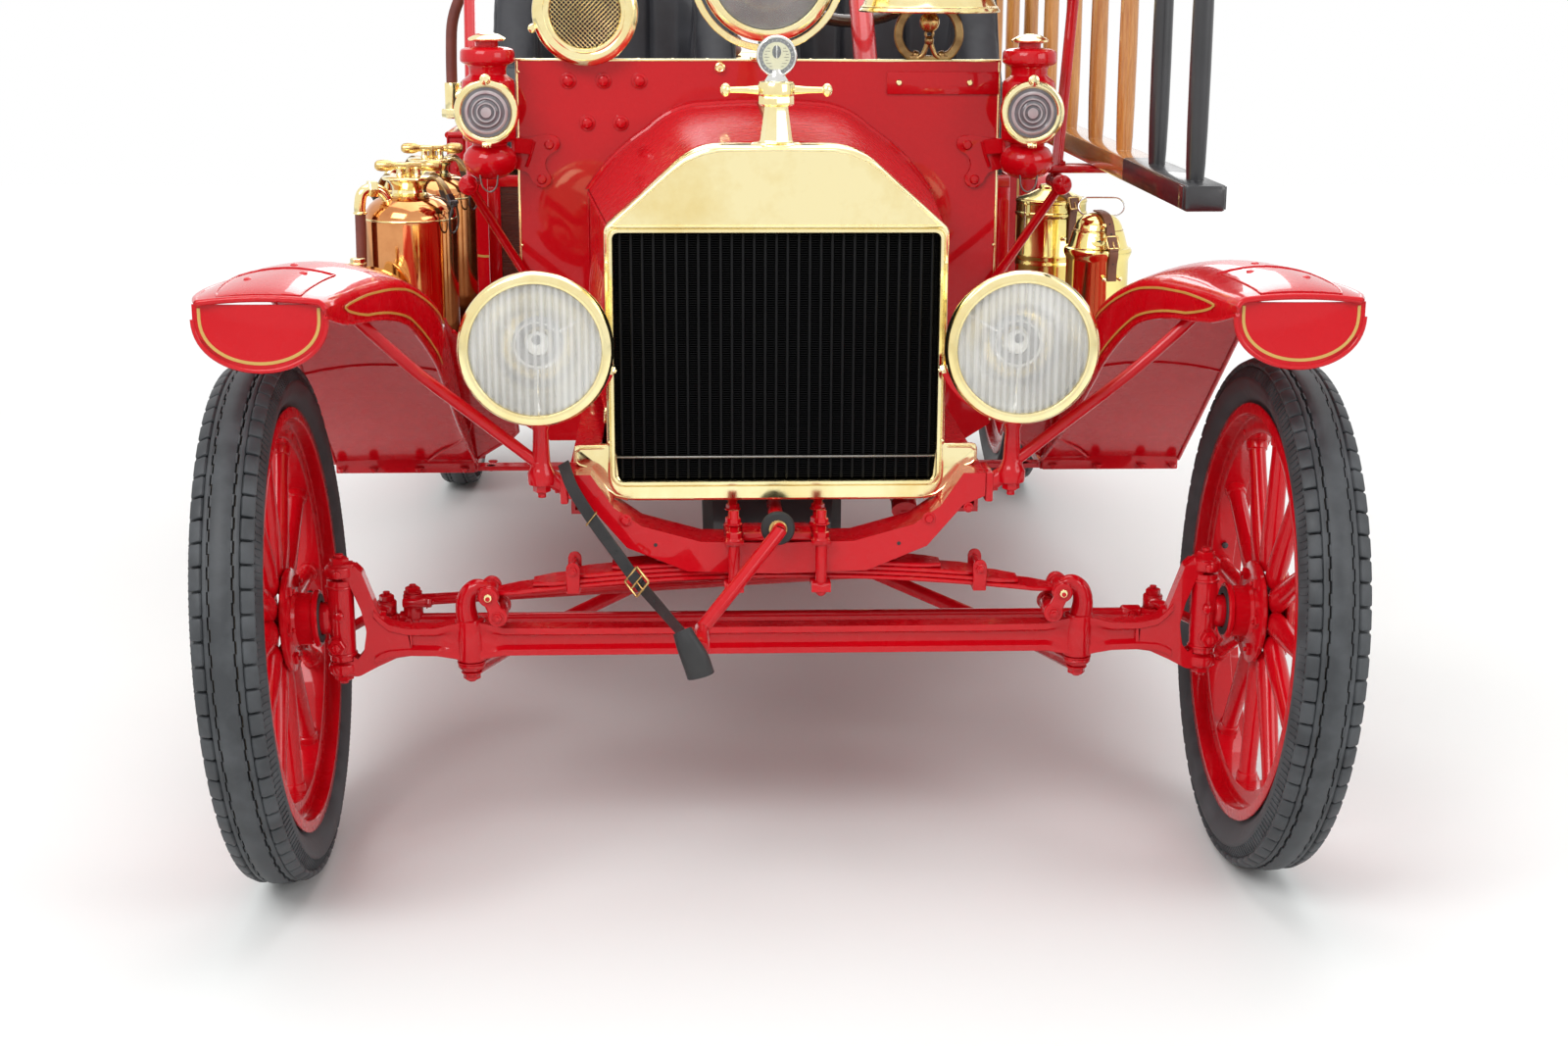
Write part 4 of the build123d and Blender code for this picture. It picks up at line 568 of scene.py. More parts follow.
def node_body(node):
    """The body a CAD node moves with."""
    return frame["nodes"][node]["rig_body"]


def node_mesh(node):
    """A bmesh of a CAD node's surface in the model's frame, with its seams merged."""
    source = frame["nodes"][node]
    bm = bmesh.new()
    bm.from_mesh(source.data)
    bmesh.ops.transform(bm, matrix=source.matrix_world, verts=bm.verts[:])
    bmesh.ops.remove_doubles(bm, verts=bm.verts[:], dist=0.00001)
    bmesh.ops.dissolve_degenerate(bm, edges=bm.edges[:], dist=0.000005)
    bmesh.ops.recalc_face_normals(bm, faces=bm.faces[:])
    return bm


def dressed(node, pick, crease=32.0):
    """A CAD node's own form, finished; pick is a finish, or gives one for a face's middle and normal in mm."""
    bm = node_mesh(node)
    mesh = bpy.data.meshes.new(node + "_dressed")
    if callable(pick):
        finishes = []
        for face in bm.faces:
            chosen = pick(face.calc_center_median() / MM, face.normal)
            if chosen not in finishes:
                finishes.append(chosen)
            face.material_index = finishes.index(chosen)
    else:
        finishes = [pick]
    bm.to_mesh(mesh)
    bm.free()
    for material in finishes:
        mesh.materials.append(material)
    return placed(mesh, node + "_dressed", node_body(node), [node], crease)


def curve_points(points, steps=8):
    """A smooth line through points, for wires and beads that aren't cords."""
    points = [Vector(p) for p in points]
    padded_points = [points[0] * 2 - points[1], *points, points[-1] * 2 - points[-2]]
    line = []
    for a, b, c, d in zip(padded_points, padded_points[1:], padded_points[2:], padded_points[3:]):
        for k in range(steps):
            t = k / steps
            line.append(0.5 * ((2 * b) + (c - a) * t + (2 * a - 5 * b + 4 * c - d) * t * t
                               + (3 * b - a - 3 * c + d) * t ** 3))
    return [*line, points[-1]]


def points_at(origin_y, points, side=1):
    """Points given as x outwards on one side, y behind an origin, and z."""
    return [(side * x, origin_y + y, z) for x, y, z in points]


def arc(centre, radius, start, end, steps, plane="XZ"):
    """Points on an arc in a plane, angles in degrees."""
    made = []
    for i in range(steps + 1):
        a = math.radians(start + (end - start) * i / steps)
        u, v = radius * math.cos(a), radius * math.sin(a)
        made.append(Vector(centre) + (Vector((u, 0, v)) if plane == "XZ" else Vector((0, u, v)) if plane == "YZ"
                                      else Vector((u, v, 0))))
    return made


# ---------------------------------------------------------- camera and studio
def set_camera():
    """The camera at the viewing point, its three axes from how far it looks down, aside and over."""
    down, aside, over = (math.radians(a) for a in (14.215, 2.593, 0.250))
    ahead = Vector((math.sin(aside) * math.cos(down), math.cos(aside) * math.cos(down), -math.sin(down)))
    right = Vector((math.cos(aside), -math.sin(aside), 0))
    up = right.cross(ahead)
    right, up = right * math.cos(over) + up * math.sin(over), up * math.cos(over) - right * math.sin(over)
    data = bpy.data.cameras.new("viewpoint")
    data.lens, data.sensor_width = 50.66, 36.0
    camera = bpy.data.objects.new("viewpoint", data)
    bpy.context.scene.collection.objects.link(camera)
    turn = Matrix((right, up, -ahead)).transposed().to_4x4()
    camera.matrix_world = Matrix.Translation((-0.1303, -4.5123, 1.3131)) @ turn
    bpy.context.scene.camera = camera


def softbox(name, at, towards, size, power, tone=(1, 1, 1)):
    """A rectangular lamp aimed at a point."""
    data = bpy.data.lights.new(name, "AREA")
    data.shape = "RECTANGLE"
    data.size, data.size_y = size
    data.energy, data.color = power, tone
    lamp = bpy.data.objects.new(name, data)
    bpy.context.scene.collection.objects.link(lamp)
    lamp.location = at
    lamp.rotation_euler = (Vector(towards) - Vector(at)).to_track_quat("-Z", "Y").to_euler()


def floor_paint(n):
    """Pale round the object, where its shadow lies, and white where only the camera looks further off."""
    place = n.add("ShaderNodeSeparateXYZ", inputs=[n.place((1 / 1.9, 1 / 2.5, 1))], out="X")
    y = n.axis("Y", n.place((1 / 1.9, 1 / 2.5, 1)))
    far = n.spread((place * place + y * y).math("SQRT"), 0.85, 1.75)
    seen = n.add("ShaderNodeLightPath", out="Is Camera Ray") * far
    cloud = n.noise(0.8, 2.0)
    return {"Base Color": n.tint(seen, n.tint(cloud, (0.855, 0.870, 0.862), (0.835, 0.850, 0.843)), (0.0, 0.0, 0.0)),
            "Emission Color": n.tint(seen, (0.0, 0.0, 0.0), (1.0, 1.0, 1.0))}


def set_studio():
    """The white world, the floor and the four lamps."""
    bpy.context.scene.view_settings.view_transform = "Standard"
    world = bpy.data.worlds.new("studio")
    bpy.context.scene.world = world
    world.use_nodes = True
    w = Wiring(world.node_tree)
    shown = world.node_tree.nodes["Background"]
    shown.inputs["Color"].default_value = (1.0, 1.0, 1.0, 1.0)
    seen, *others = [w.add("ShaderNodeLightPath", out="Is %s Ray" % kind)
                     for kind in ("Camera", "Glossy", "Transmission")]
    for ray in others:
        seen = seen.math("MAXIMUM", ray)
    w.plug(shown.inputs["Strength"], w.spread(seen, 0.0, 1.0, 0.62, 1.0))
    floor = Piece().use(finish("studio_floor", floor_paint, roughness=0.75, specular_ior_level=0.1,
                               emission_strength=1.0))
    floor.skin([[(-9000, -7000, z), (9000, -7000, z), (9000, 9000, z), (-9000, 9000, z)] for z in (-20, 0)])
    mesh = bpy.data.meshes.new("floor")
    floor.bm.to_mesh(mesh)
    mesh.materials.append(floor.finishes[0])
    ground = bpy.data.objects.new("floor", mesh)
    bpy.context.scene.collection.objects.link(ground)
    softbox("key_light", (-2.6, -4.6, 4.2), (0, -0.6, 0.7), (3.2, 2.2), 150.0)
    softbox("fill_light", (3.6, -4.0, 2.6), (0, -0.6, 0.7), (2.6, 2.2), 62.0)
    softbox("top_light", (0.2, 0.2, 4.6), (0, 0, 0), (4.0, 5.0), 110.0)
    softbox("back_light", (0.5, 5.0, 3.4), (0, 0.5, 0.8), (4.0, 2.4), 90.0)


# -------------------------------------------------------------------- cords
def cord_curve(name, route, diameter, material):
    """A smooth curve whose control points are the cord's route, in metres."""
    data = bpy.data.curves.new(name, "CURVE")
    data.dimensions = "3D"
    data.bevel_depth, data.bevel_resolution, data.resolution_u = diameter / 2, 5, 6
    data.use_fill_caps = True
    spline = data.splines.new("NURBS")
    spline.points.add(len(route) - 1)
    for point, place in zip(spline.points, route):
        point.co = (*place, 1.0)
    spline.order_u = 3
    spline.use_endpoint_u = True
    spline.use_smooth = True
    data.materials.append(material)
    made = bpy.data.objects.new(name, data)
    bpy.context.scene.collection.objects.link(made)
    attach(made, CHASSIS)
    return made


HOSE_RISE = [(-0.652, 0.568, 1.052), (-0.652, 0.568, 1.120), (-0.646, 0.562, 1.205), (-0.596, 0.544, 1.290),
             (-0.500, 0.506, 1.322), (-0.396, 0.456, 1.300), (-0.292, 0.410, 1.248), (-0.190, 0.387, 1.206)]
COIL_AT = (-0.190, 0.568)
COIL_RADII = (0.105, 0.130, 0.155, 0.180)
COIL_TOP = 1.2133 - 0.0125
COIL_STEP = 0.025
TURN_POINTS = 16


def column_turn(radius, next_radius, z, climb, flat):
    """One turn of the coil: it climbs by a layer, or lies flat and shifts to the next column."""
    points = []
    for k in range(TURN_POINTS):
        part = k / TURN_POINTS
        ease = max(0.0, (part - 0.6) / 0.4) if flat else 0.0
        r = radius + (next_radius - radius) * ease
        angle = math.radians(-90) + math.tau * part
        r += 0.0022 * math.sin(2 * angle + 0.6) + 0.0012 * math.sin(3 * angle + 60 * z)
        points.append((COIL_AT[0] + r * math.cos(angle), COIL_AT[1] + r * math.sin(angle),
                       z + (0.0 if flat else climb * COIL_STEP * part)))
    return points


def coil_route():
    """The hose's turns in four columns, down the outer one and up the inner one, then over the top to the nozzle."""
    route, z, climb = [], COIL_TOP, -1
    for number, radius in enumerate(reversed(COIL_RADII)):
        inner = COIL_RADII[max(0, 2 - number)]
        for turn in range(4):
            flat = turn == 3
            route += column_turn(radius, inner, z, climb, flat)
            if not flat:
                z += climb * COIL_STEP
        climb = -climb
    for k in range(1, 8):
        part = k / 8
        angle = math.radians(-90 + 150 * part)
        route.append((COIL_AT[0] + (0.105 + 0.037 * part) * math.cos(angle),
                      COIL_AT[1] + (0.105 + 0.037 * part) * math.sin(angle),
                      COIL_TOP + (NOZZLE_Z - COIL_TOP) * min(1.0, part * 1.6)))
    return [*route, (-0.100, 0.698, NOZZLE_Z), (-0.150, 0.698, NOZZLE_Z)]


NOZZLE_Z = 1.2293


def make_chemical_hose():
    """The hose from the tank's outlet over the seat to its coil in the basket, with its turned nozzle."""
    hose = cord_curve("chemical_hose_line", HOSE_RISE + coil_route()[1:], 0.025, HOSE)
    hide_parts("chemical_hose", "chemical_hose_coil")

    nozzle = Piece().use(BRASS)
    nozzle.lathe([(0, 0), (13.5, 0), (15.5, 3), (15.5, 12), (14.2, 13), (14.2, 18), (15.5, 19), (15.5, 74), (14, 80),
                  (15.2, 84), (13.4, 96), (11.6, 150), (10.2, 214), (11.4, 222), (11.4, 238), (9.8, 244), (9.8, 249),
                  (7, 250), (6, 240), (0, 240)], (-130, 698, 1229.3), (-1, 0, 0), 36)
    for along in (26, 40, 54, 68):
        nozzle.hoop((-130 - along, 698, 1229.3), LEFT, 15.2, 1.4, 36, 8)
    nozzle.done("hose_nozzle_turned", slot="brass", stands_for=["hose_nozzle"])


# where the two bottles stand, front and rear
BOTTLE_X, EXTINGUISHER_YS = -620, (-537.0, -157.0)


def make_extinguisher_hoses():
    """Each extinguisher's short hose, hanging from its elbow."""
    for y, end in zip(EXTINGUISHER_YS, ("front", "rear")):
        low = y * MM
        drop = [(-0.700, low - 0.058, 0.884), (-0.700, low - 0.058, 0.800), (-0.706, low - 0.061, 0.690),
                (-0.704, low - 0.058, 0.600), (-0.698, low - 0.054, 0.530)]
        line = cord_curve("extinguisher_hose_line_" + end, drop, 0.019, HOSE)
        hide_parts("extinguisher_hose_" + end)
        tip = Piece().use(BRASS)
        down = (Vector(drop[-1]) - Vector(drop[-2])).normalized()
        tip.lathe([(0, -14), (10.6, -14), (11.4, -12), (11.4, 2), (10.0, 4), (10.0, 14), (8.4, 18), (7.4, 40),
                   (6.6, 58), (7.6, 60), (7.6, 65), (4.4, 66), (3.6, 58), (0, 58)], Vector(drop[-1]) / MM, down, 24)
        tip.done("extinguisher_nozzle_" + end, slot="brass")


# ------------------------------------------------------- repeated small forms
def make_repeater():
    """A node group that repeats a form with an even step and turn, and gives it a finish."""
    tree = bpy.data.node_groups.new("repeated_form", "GeometryNodeTree")
    sockets = tree.interface
    for name, kind in (("Form", "Geometry"), ("Count", "Int"), ("Step", "Vector"), ("Turn", "Vector"),
                       ("Unevenness", "Float"), ("Finish", "Material")):
        sockets.new_socket(name, in_out="INPUT", socket_type="NodeSocket" + kind)
    sockets.new_socket("Result", in_out="OUTPUT", socket_type="NodeSocketGeometry")
    w = Wiring(tree)
    outer = tree.nodes.new("NodeGroupInput")
    given = {name: Signal(w, outer.outputs[name]) for name in ("Form", "Count", "Step", "Turn", "Unevenness", "Finish")}
    line = w.add("GeometryNodeMeshLine", {"mode": "OFFSET"}, {"Count": given["Count"], "Offset": given["Step"]},
                 out="Mesh")
    index = w.add("GeometryNodeInputIndex")
    turn = w.add("ShaderNodeVectorMath", {"operation": "SCALE"}, {0: given["Turn"], "Scale": index})
    spin = w.add("FunctionNodeEulerToRotation", inputs=[turn])
    chance = w.add("FunctionNodeRandomValue", {"data_type": "FLOAT"}, {2: -1.0, 3: 1.0, "Seed": 7}, out=1)
    size = chance * given["Unevenness"] + 1.0
    spread = w.add("GeometryNodeInstanceOnPoints", inputs={"Points": line, "Instance": given["Form"], "Rotation": spin,
                                                           "Scale": size})
    whole = w.add("GeometryNodeRealizeInstances", inputs=[spread])
    dyed = w.add("GeometryNodeSetMaterial", inputs={"Geometry": whole, "Material": given["Finish"]}, out="Geometry")
    last = tree.nodes.new("NodeGroupOutput")
    w.plug(last.inputs["Result"], dyed)
    return tree, {item.name: item.identifier for item in sockets.items_tree if item.in_out == "INPUT"}


REPEATER, REPEATER_INPUTS = make_repeater()


def repeat(piece, form, count, step=(0, 0, 0), turn=(0, 0, 0), uneven=0.0):
    """Adds a form's even repeats to a piece; step in mm and turn in radians, about the piece's own origin."""
    mesh = bpy.data.meshes.new("form")
    form.bm.to_mesh(mesh)
    form.bm.free()
    carrier = bpy.data.objects.new("form", mesh)
    bpy.context.scene.collection.objects.link(carrier)
    modifier = carrier.modifiers.new("repeat", "NODES")
    modifier.node_group = REPEATER
    for name, value in (("Count", count), ("Step", [c * MM for c in step]), ("Turn", list(turn)),
                        ("Unevenness", uneven), ("Finish", form.finishes[0])):
        modifier[REPEATER_INPUTS[name]] = value
    bpy.context.view_layer.update()
    seen = carrier.evaluated_get(bpy.context.evaluated_depsgraph_get())
    result = bpy.data.meshes.new_from_object(seen)
    piece.use(form.finishes[0])
    piece.bm.faces.ensure_lookup_table()
    before = len(piece.bm.faces)
    piece.bm.from_mesh(result)
    piece.bm.faces.ensure_lookup_table()
    for face in piece.bm.faces[before:]:
        face.material_index = piece.index
    bpy.data.objects.remove(carrier)
    bpy.data.meshes.remove(mesh)
    bpy.data.meshes.remove(result)
    return piece


# ---------------------------------------------------------- wheels and tyres
GROOVE_DUST = finish("groove_dust", plain((0.115, 0.085, 0.055), 0.8, 0.4))
LUGS, WALL_RIBS = 72, 216
LUG_R, LUG_LEAN = 0.370, math.radians(27)


def tyre_piece():
    """A pneumatic tyre about its own axle line, outboard up."""
    half = [(301, 31.5), (311, 32), (314, 33), (318, 37), (326, 43), (334, 46.6), (341, 47.6), (343, 48.2), (346, 48.2),
            (347.5, 47.0), (354, 44.6), (360, 41.6), (363.5, 39), (367, 30), (369.5, 26.5), (370, 25), (375.4, 24.2),
            (376.2, 23.4), (377.2, 19.2), (376.8, 18.2), (371.4, 17.8), (371.4, 14.2), (378.6, 13.8),
            (379.6, 12.8), (380.8, 0)]
    tyre = Piece().use(TYRE_RUBBER)
    profile = half + [(r, -z) for r, z in reversed(half[:-1])]
    tyre.lathe(profile, ORIGIN, steps=144, whole=True)
    for face in tyre.bm.faces:
        radius = max(v.co.xy.length for v in face.verts)
        if abs(radius - 0.3714) < 0.0001 and abs(face.calc_center_median().z) < 0.019:
            face.material_index = 1
    tyre.finishes.append(GROOVE_DUST)
    turn = math.tau / LUGS
    for side in (1, -1):
        lug = Piece().use(TYRE_RUBBER)
        lug.block((365.5, -15.4, -9.8), (374.5, 15.4, 9.8), 4.6, segments=2)
        lug.moved(Matrix.Rotation(-side * LUG_LEAN, 4, "Y"))
        lug.moved(Matrix.Translation((LUG_R - LUG_R * math.cos(LUG_LEAN) + 0.0003, 0,
                                      side * (0.0335 - LUG_R * math.sin(LUG_LEAN)))))
        repeat(tyre, lug, LUGS, turn=(0, 0, turn))
        tooth = Piece().use(TYRE_RUBBER).block((370.6, 0, -1), (378.6, 16, 1), 0)
        tooth.moved(Matrix.Translation((0, 0, side * 0.0146)))
        repeat(tyre, tooth, LUGS, turn=(0, 0, turn))
        tooth = Piece().use(TYRE_RUBBER).block((369.6, -17, -1), (376.4, -1, 1), 0)
        tooth.moved(Matrix.Translation((0, 0, side * 0.0174)))
        repeat(tyre, tooth, LUGS, turn=(0, 0, turn))
        rib = Piece().use(TYRE_RUBBER).block((347.5, -1.3, -1.6), (362, 1.3, 1.6), 0)
        rib.moved(Matrix.Translation((0, 0, side * 0.0435)) @ Matrix.Translation((0.355, 0, 0))
                  @ Matrix.Rotation(math.radians(side * 24), 4, "Y") @ Matrix.Translation((-0.355, 0, 0)))
        repeat(tyre, rib, WALL_RIBS, turn=(0, 0, math.tau / WALL_RIBS))
    tyre.use(BOOT_RUBBER)
    tyre.rod((300.5, 0, 12), (300.4, 0, 13), 1.0)
    return tyre


def wheel_piece(rear):
    """A wood-spoked wheel about its own axle line, outboard up."""
    wheel = Piece().use(RED)
    wheel.lathe([(266, -18), (267.5, -19), (291, -19), (292.6, -20.6), (293, -37.6), (294.5, -39), (307.4, -39),
                 (310, -37.5), (310, -35.5), (308.5, -33.8), (301, -33.4), (300, -32), (300, 32), (301, 33.4),
                 (308.5, 33.8), (310, 35.5), (310, 37.5), (307.4, 39), (294.5, 39), (293, 37.6), (292.6, 20.6),
                 (291, 19), (267.5, 19), (266, 18)], ORIGIN, steps=96, whole=True)
    spoke = Piece().use(RED)
    stations = [(66, 20.5, 13), (90, 19.6, 14.6), (110, 18.4, 15.2), (150, 15.6, 14.4), (200, 13.4, 13.2),
                (240, 12.6, 12.8), (252, 12.8, 13), (253, 15.2, 15.2), (258, 16, 16), (267, 16, 16)]
    spoke.skin([[(r, a * math.cos(math.tau * k / 20), b * math.sin(math.tau * k / 20)) for k in range(20)]
                for r, a, b in stations])
    repeat(wheel, spoke, 12, turn=(0, 0, math.tau / 12))
    wheel.lathe([(35, -60), (36.5, -62), (40, -62), (42, -60), (42, -55), (38, -52), (38.5, -30), (42, -25.5),
                 (73, -23.6), (76, -21.5), (76, -17), (74, -14.5), (30, -14), (30, -60)], ORIGIN, steps=56, whole=True)
    wheel.lathe([(30, 13), (74, 14), (76, 16.5), (76, 21), (73, 23.2), (48, 24.4), (42, 28), (39.5, 34), (37.5, 50),
                 (38.5, 58), (37, 61.5), (34, 62), (30, 60)], ORIGIN, steps=56, whole=True)
    wheel.use(BRASS).lathe([(0, 60), (33.4, 60), (33.4, 63), (31, 65), (31, 70), (32.5, 72), (32.5, 79), (30.5, 82.5),
                            (22, 86.5), (10, 87.8), (0, 88)], ORIGIN, steps=48)
    wheel.lathe([(30.9, 62), (33.1, 62), (31, 70)], ORIGIN, steps=6)
    wheel.use(BOOT_RUBBER).lathe([(26, -63.6), (35.4, -63.6), (36.4, -62.2), (35.4, -60.6), (26, -60.6)], ORIGIN,
                                 steps=40, whole=True)
    if rear:
        wheel.use(RED).lathe([(96, -58), (98, -60), (102, -60), (104, -58), (104, -26), (102, -22), (94, -20),
                              (40, -20), (40, -24), (94, -24), (96, -28)], ORIGIN, steps=72, whole=True)
    bolt = Piece().use(RED)
    bolt.nut((58, 0, 23), UP, 13, 8, 6, 3)
    bolt.nut((58, 0, -22), DOWN, 13, 8, 4, 4)
    repeat(wheel, bolt, 6, turn=(0, 0, math.tau / 6))
    screw = Piece().use(RED).screw((280, 0, 18.5), UP, 5).screw((280, 0, -18.5), DOWN, 5)
    repeat(wheel, screw, 6, turn=(0, 0, math.tau / 6))
    wheel.use(BRASS).rod((296, 34, 0), (262, 34, 0), 4, 1)
    wheel.use(BLACK).rod((262, 34, 0), (256, 34, 0), 5, 1)
    return wheel


def corner_matrix(side, y, x, z, camber):
    """From a wheel's own frame, outboard up, to its place."""
    lean = math.radians(camber)
    out = Vector((side * math.cos(lean), 0, -math.sin(lean)))
    fore = Vector(AFT)
    turn = Matrix((fore, out.cross(fore), out)).transposed().to_4x4()
    return Matrix.Translation(Vector((side * x, y, z)) * MM) @ turn


CAMBER, TRACK_HALF = 2.5, 711.0
WHEEL_X = TRACK_HALF + TYRE_R * math.sin(math.radians(CAMBER))
WHEEL_Z = TYRE_R * math.cos(math.radians(CAMBER))
SIDES = {1: "left", -1: "right"}


def make_wheels():
    """Four spoked wheels in their tyres, the front pair leaning with their camber."""
    for axle, y, x, z, camber in (("front", FRONT_AXLE_Y, WHEEL_X, WHEEL_Z, CAMBER),
                                  ("rear", REAR_AXLE_Y, TRACK_HALF, TYRE_R, 0.0)):
        for side, name in SIDES.items():
            place = corner_matrix(side, y, x, z, camber)
            body = "wheel_%s_%s" % (axle, name)
            tyre_piece().moved(place).done("%s_tyre_%s_treaded" % (axle, name), body, "tyre",
                                           ["%s_tyre_%s" % (axle, name)], 40)
            wheel_piece(axle == "rear").moved(place).done("%s_wheel_%s_spoked" % (axle, name), body, "red_paint",
                                                          ["%s_wheel_%s" % (axle, name)])


# ------------------------------------------------------------ shaping helpers
def rounded_loop(corners, radii, steps=5):
    """A closed outline with each corner turned into the same number of points; a straight corner stays straight."""
    loop = []
    count = len(corners)
    for i, here in enumerate(corners):
        here = Vector(here)
        back = (Vector(corners[i - 1]) - here)
        ahead = (Vector(corners[(i + 1) % count]) - here)
        turn = math.pi - back.angle(ahead)
        radius = radii[i] if isinstance(radii, (list, tuple)) else radii
        reach = radius * math.tan(turn / 2) if turn > 0.01 else radius
        reach = min(reach, back.length * 0.48, ahead.length * 0.48)
        start, end = here + back.normalized() * reach, here + ahead.normalized() * reach
        for k in range(steps + 1):
            t = k / steps
            loop.append(start * (1 - t) ** 2 + here * 2 * t * (1 - t) + end * t * t)
    return loop


def shifted(loop, amount):
    """A loop of 2-D points moved outwards, or inwards for a negative amount."""
    count = len(loop)
    area = sum(loop[i].x * loop[(i + 1) % count].y - loop[(i + 1) % count].x * loop[i].y for i in range(count))
    sign = 1 if area > 0 else -1
    moved = []
    for i, p in enumerate(loop):
        along = (loop[(i + 1) % count] - loop[i - 1]).normalized()
        moved.append(p + Vector((along.y, -along.x)) * amount * sign)
    return moved


def at_depth(loop, y):
    """A loop of the front view, set at one y."""
    return [(p.x, y, p.y) for p in loop]


# ------------------------------------------------------------------ radiator
RAD_FRONT, RAD_BACK = RADIATOR_Y, RADIATOR_Y + 80


def make_radiator_shell():
    """The polished shell with its lips, feet, edge lines and filler neck."""
    shell = Piece().use(BRASS)
    outer = rounded_loop([(-246, 552), (246, 552), (246, 948), (116, 1064), (-116, 1064), (-246, 948)],
                         [44, 44, 16, 105, 105, 16], 8)
    inner = rounded_loop([(-233, 582), (233, 582), (233, 942), (100, 942), (-100, 942), (-233, 942)],
                         [12, 12, 9, 6, 6, 9], 8)
    shell.skin([at_depth(outer, RAD_BACK), at_depth(outer, RAD_FRONT + 5),
                at_depth(shifted(outer, -1.6), RAD_FRONT + 1.4), at_depth(shifted(outer, -4.4), RAD_FRONT),
                at_depth(shifted(inner, 8.2), RAD_FRONT), at_depth(shifted(inner, 7.4), RAD_FRONT + 2.4),
                at_depth(shifted(inner, 6.6), RAD_FRONT + 2.4), at_depth(shifted(inner, 6.0), RAD_FRONT - 0.9),
                at_depth(shifted(inner, 1.6), RAD_FRONT - 1.2), at_depth(inner, RAD_FRONT + 1),
                at_depth(inner, RAD_BACK)], round_trip=True)
    for side in (1, -1):
        foot = [(side * x, z) for x, z in ((232, 636), (286, 635), (292.5, 633), (294, 628), (294, 610), (291, 605.5),
                                           (281, 602.5), (270, 595), (260, 581), (249, 567), (236, 557), (216, 552.2),
                                           (214, 566), (232, 588))]
        shell.slab(foot, (0, RAD_FRONT + 8, 0), FORE, 14, edge=2.5)
        edge = [(250, 631.5), (284, 631), (290.4, 626), (290.4, 611), (286, 606.6), (277, 603.6), (266, 596),
                (256, 582), (246, 570), (234, 561), (214, 556.4), (120, 556)]
        shell.tube([(side * x, RAD_FRONT + 1.2, z) for x, z in edge], 1.3, 8)
        shell.block((side * 244, RAD_FRONT + 26, 604), (side * 292, RAD_FRONT + 66, 612), 2)
        shell.nut((side * 270, RAD_FRONT + 46, 612), UP, 15, 9)
        for z in (640, 900):
            shell.rivet((side * 242.6, RAD_FRONT + 0.2, z), FORE, 2.4)
    shell.tube([(-236, RAD_FRONT - 0.6, 952), (0, RAD_FRONT - 0.6, 952), (236, RAD_FRONT - 0.6, 952)], 2.2, 8)
    for side in (1, -1):
        shell.tube(points_at(RAD_FRONT, [(242, 0.6, 946), (180, 0.4, 1001), (149, 0.4, 1028.6), (129, 0.4, 1043.4),
                                         (106, 0.4, 1053), (80, 0.4, 1058.4), (0, 0.4, 1059.4)], side), 1.6, 8)
    neck = [(25.5, -2), (25.5, 2), (23.4, 5), (23, 7)] + [(23 - 6 * k / 5, 7 + 43 * k / 5)
                                                          for k in range(1, 6)] + [(17, 54), (0, 54)]
    shell.lathe(neck, (0, RAD_FRONT + 40, 1064), steps=8)
    shell.lathe([(0, -1), (36, -1), (36, 1.4), (33, 3.4), (25, 4.4), (0, 4.4)], (0, RAD_FRONT + 40, 1064), steps=40)
    shell.use(BRASS).tube([(-226, RAD_FRONT + 50, 566), (-232, RAD_FRONT + 50, 620), (-236, RAD_FRONT + 74, 700)], 4, 8)
    shell.done("radiator_shell_polished", slot="brass", stands_for=["radiator_shell"], crease=26)


def make_radiator_core():
    """Upright tubes through thin fins, with a stay rod across."""
    core = Piece().use(CORE)
    core.block((-232.5, RAD_FRONT + 40, 582.5), (232.5, RAD_FRONT + 72, 941.5), 1)
    tube_form = Piece().use(CORE).block((-226, RAD_FRONT + 12, 583), (-222, RAD_FRONT + 60, 941), 1.6, segments=2)
    repeat(core, tube_form, 29, step=(16, 0, 0))
    fin_form = Piece().use(CORE).block((-232, RAD_FRONT + 15, 584.6), (232, RAD_FRONT + 62, 585.3), 0)
    repeat(core, fin_form, 108, step=(0, 0, 3.32))
    core.use(BOLT_STEEL).rod((-232, RAD_FRONT + 9, 616), (232, RAD_FRONT + 9, 616), 1.7)
    core.done("radiator_core_tubes", slot="black_metal", stands_for=["radiator_core"])


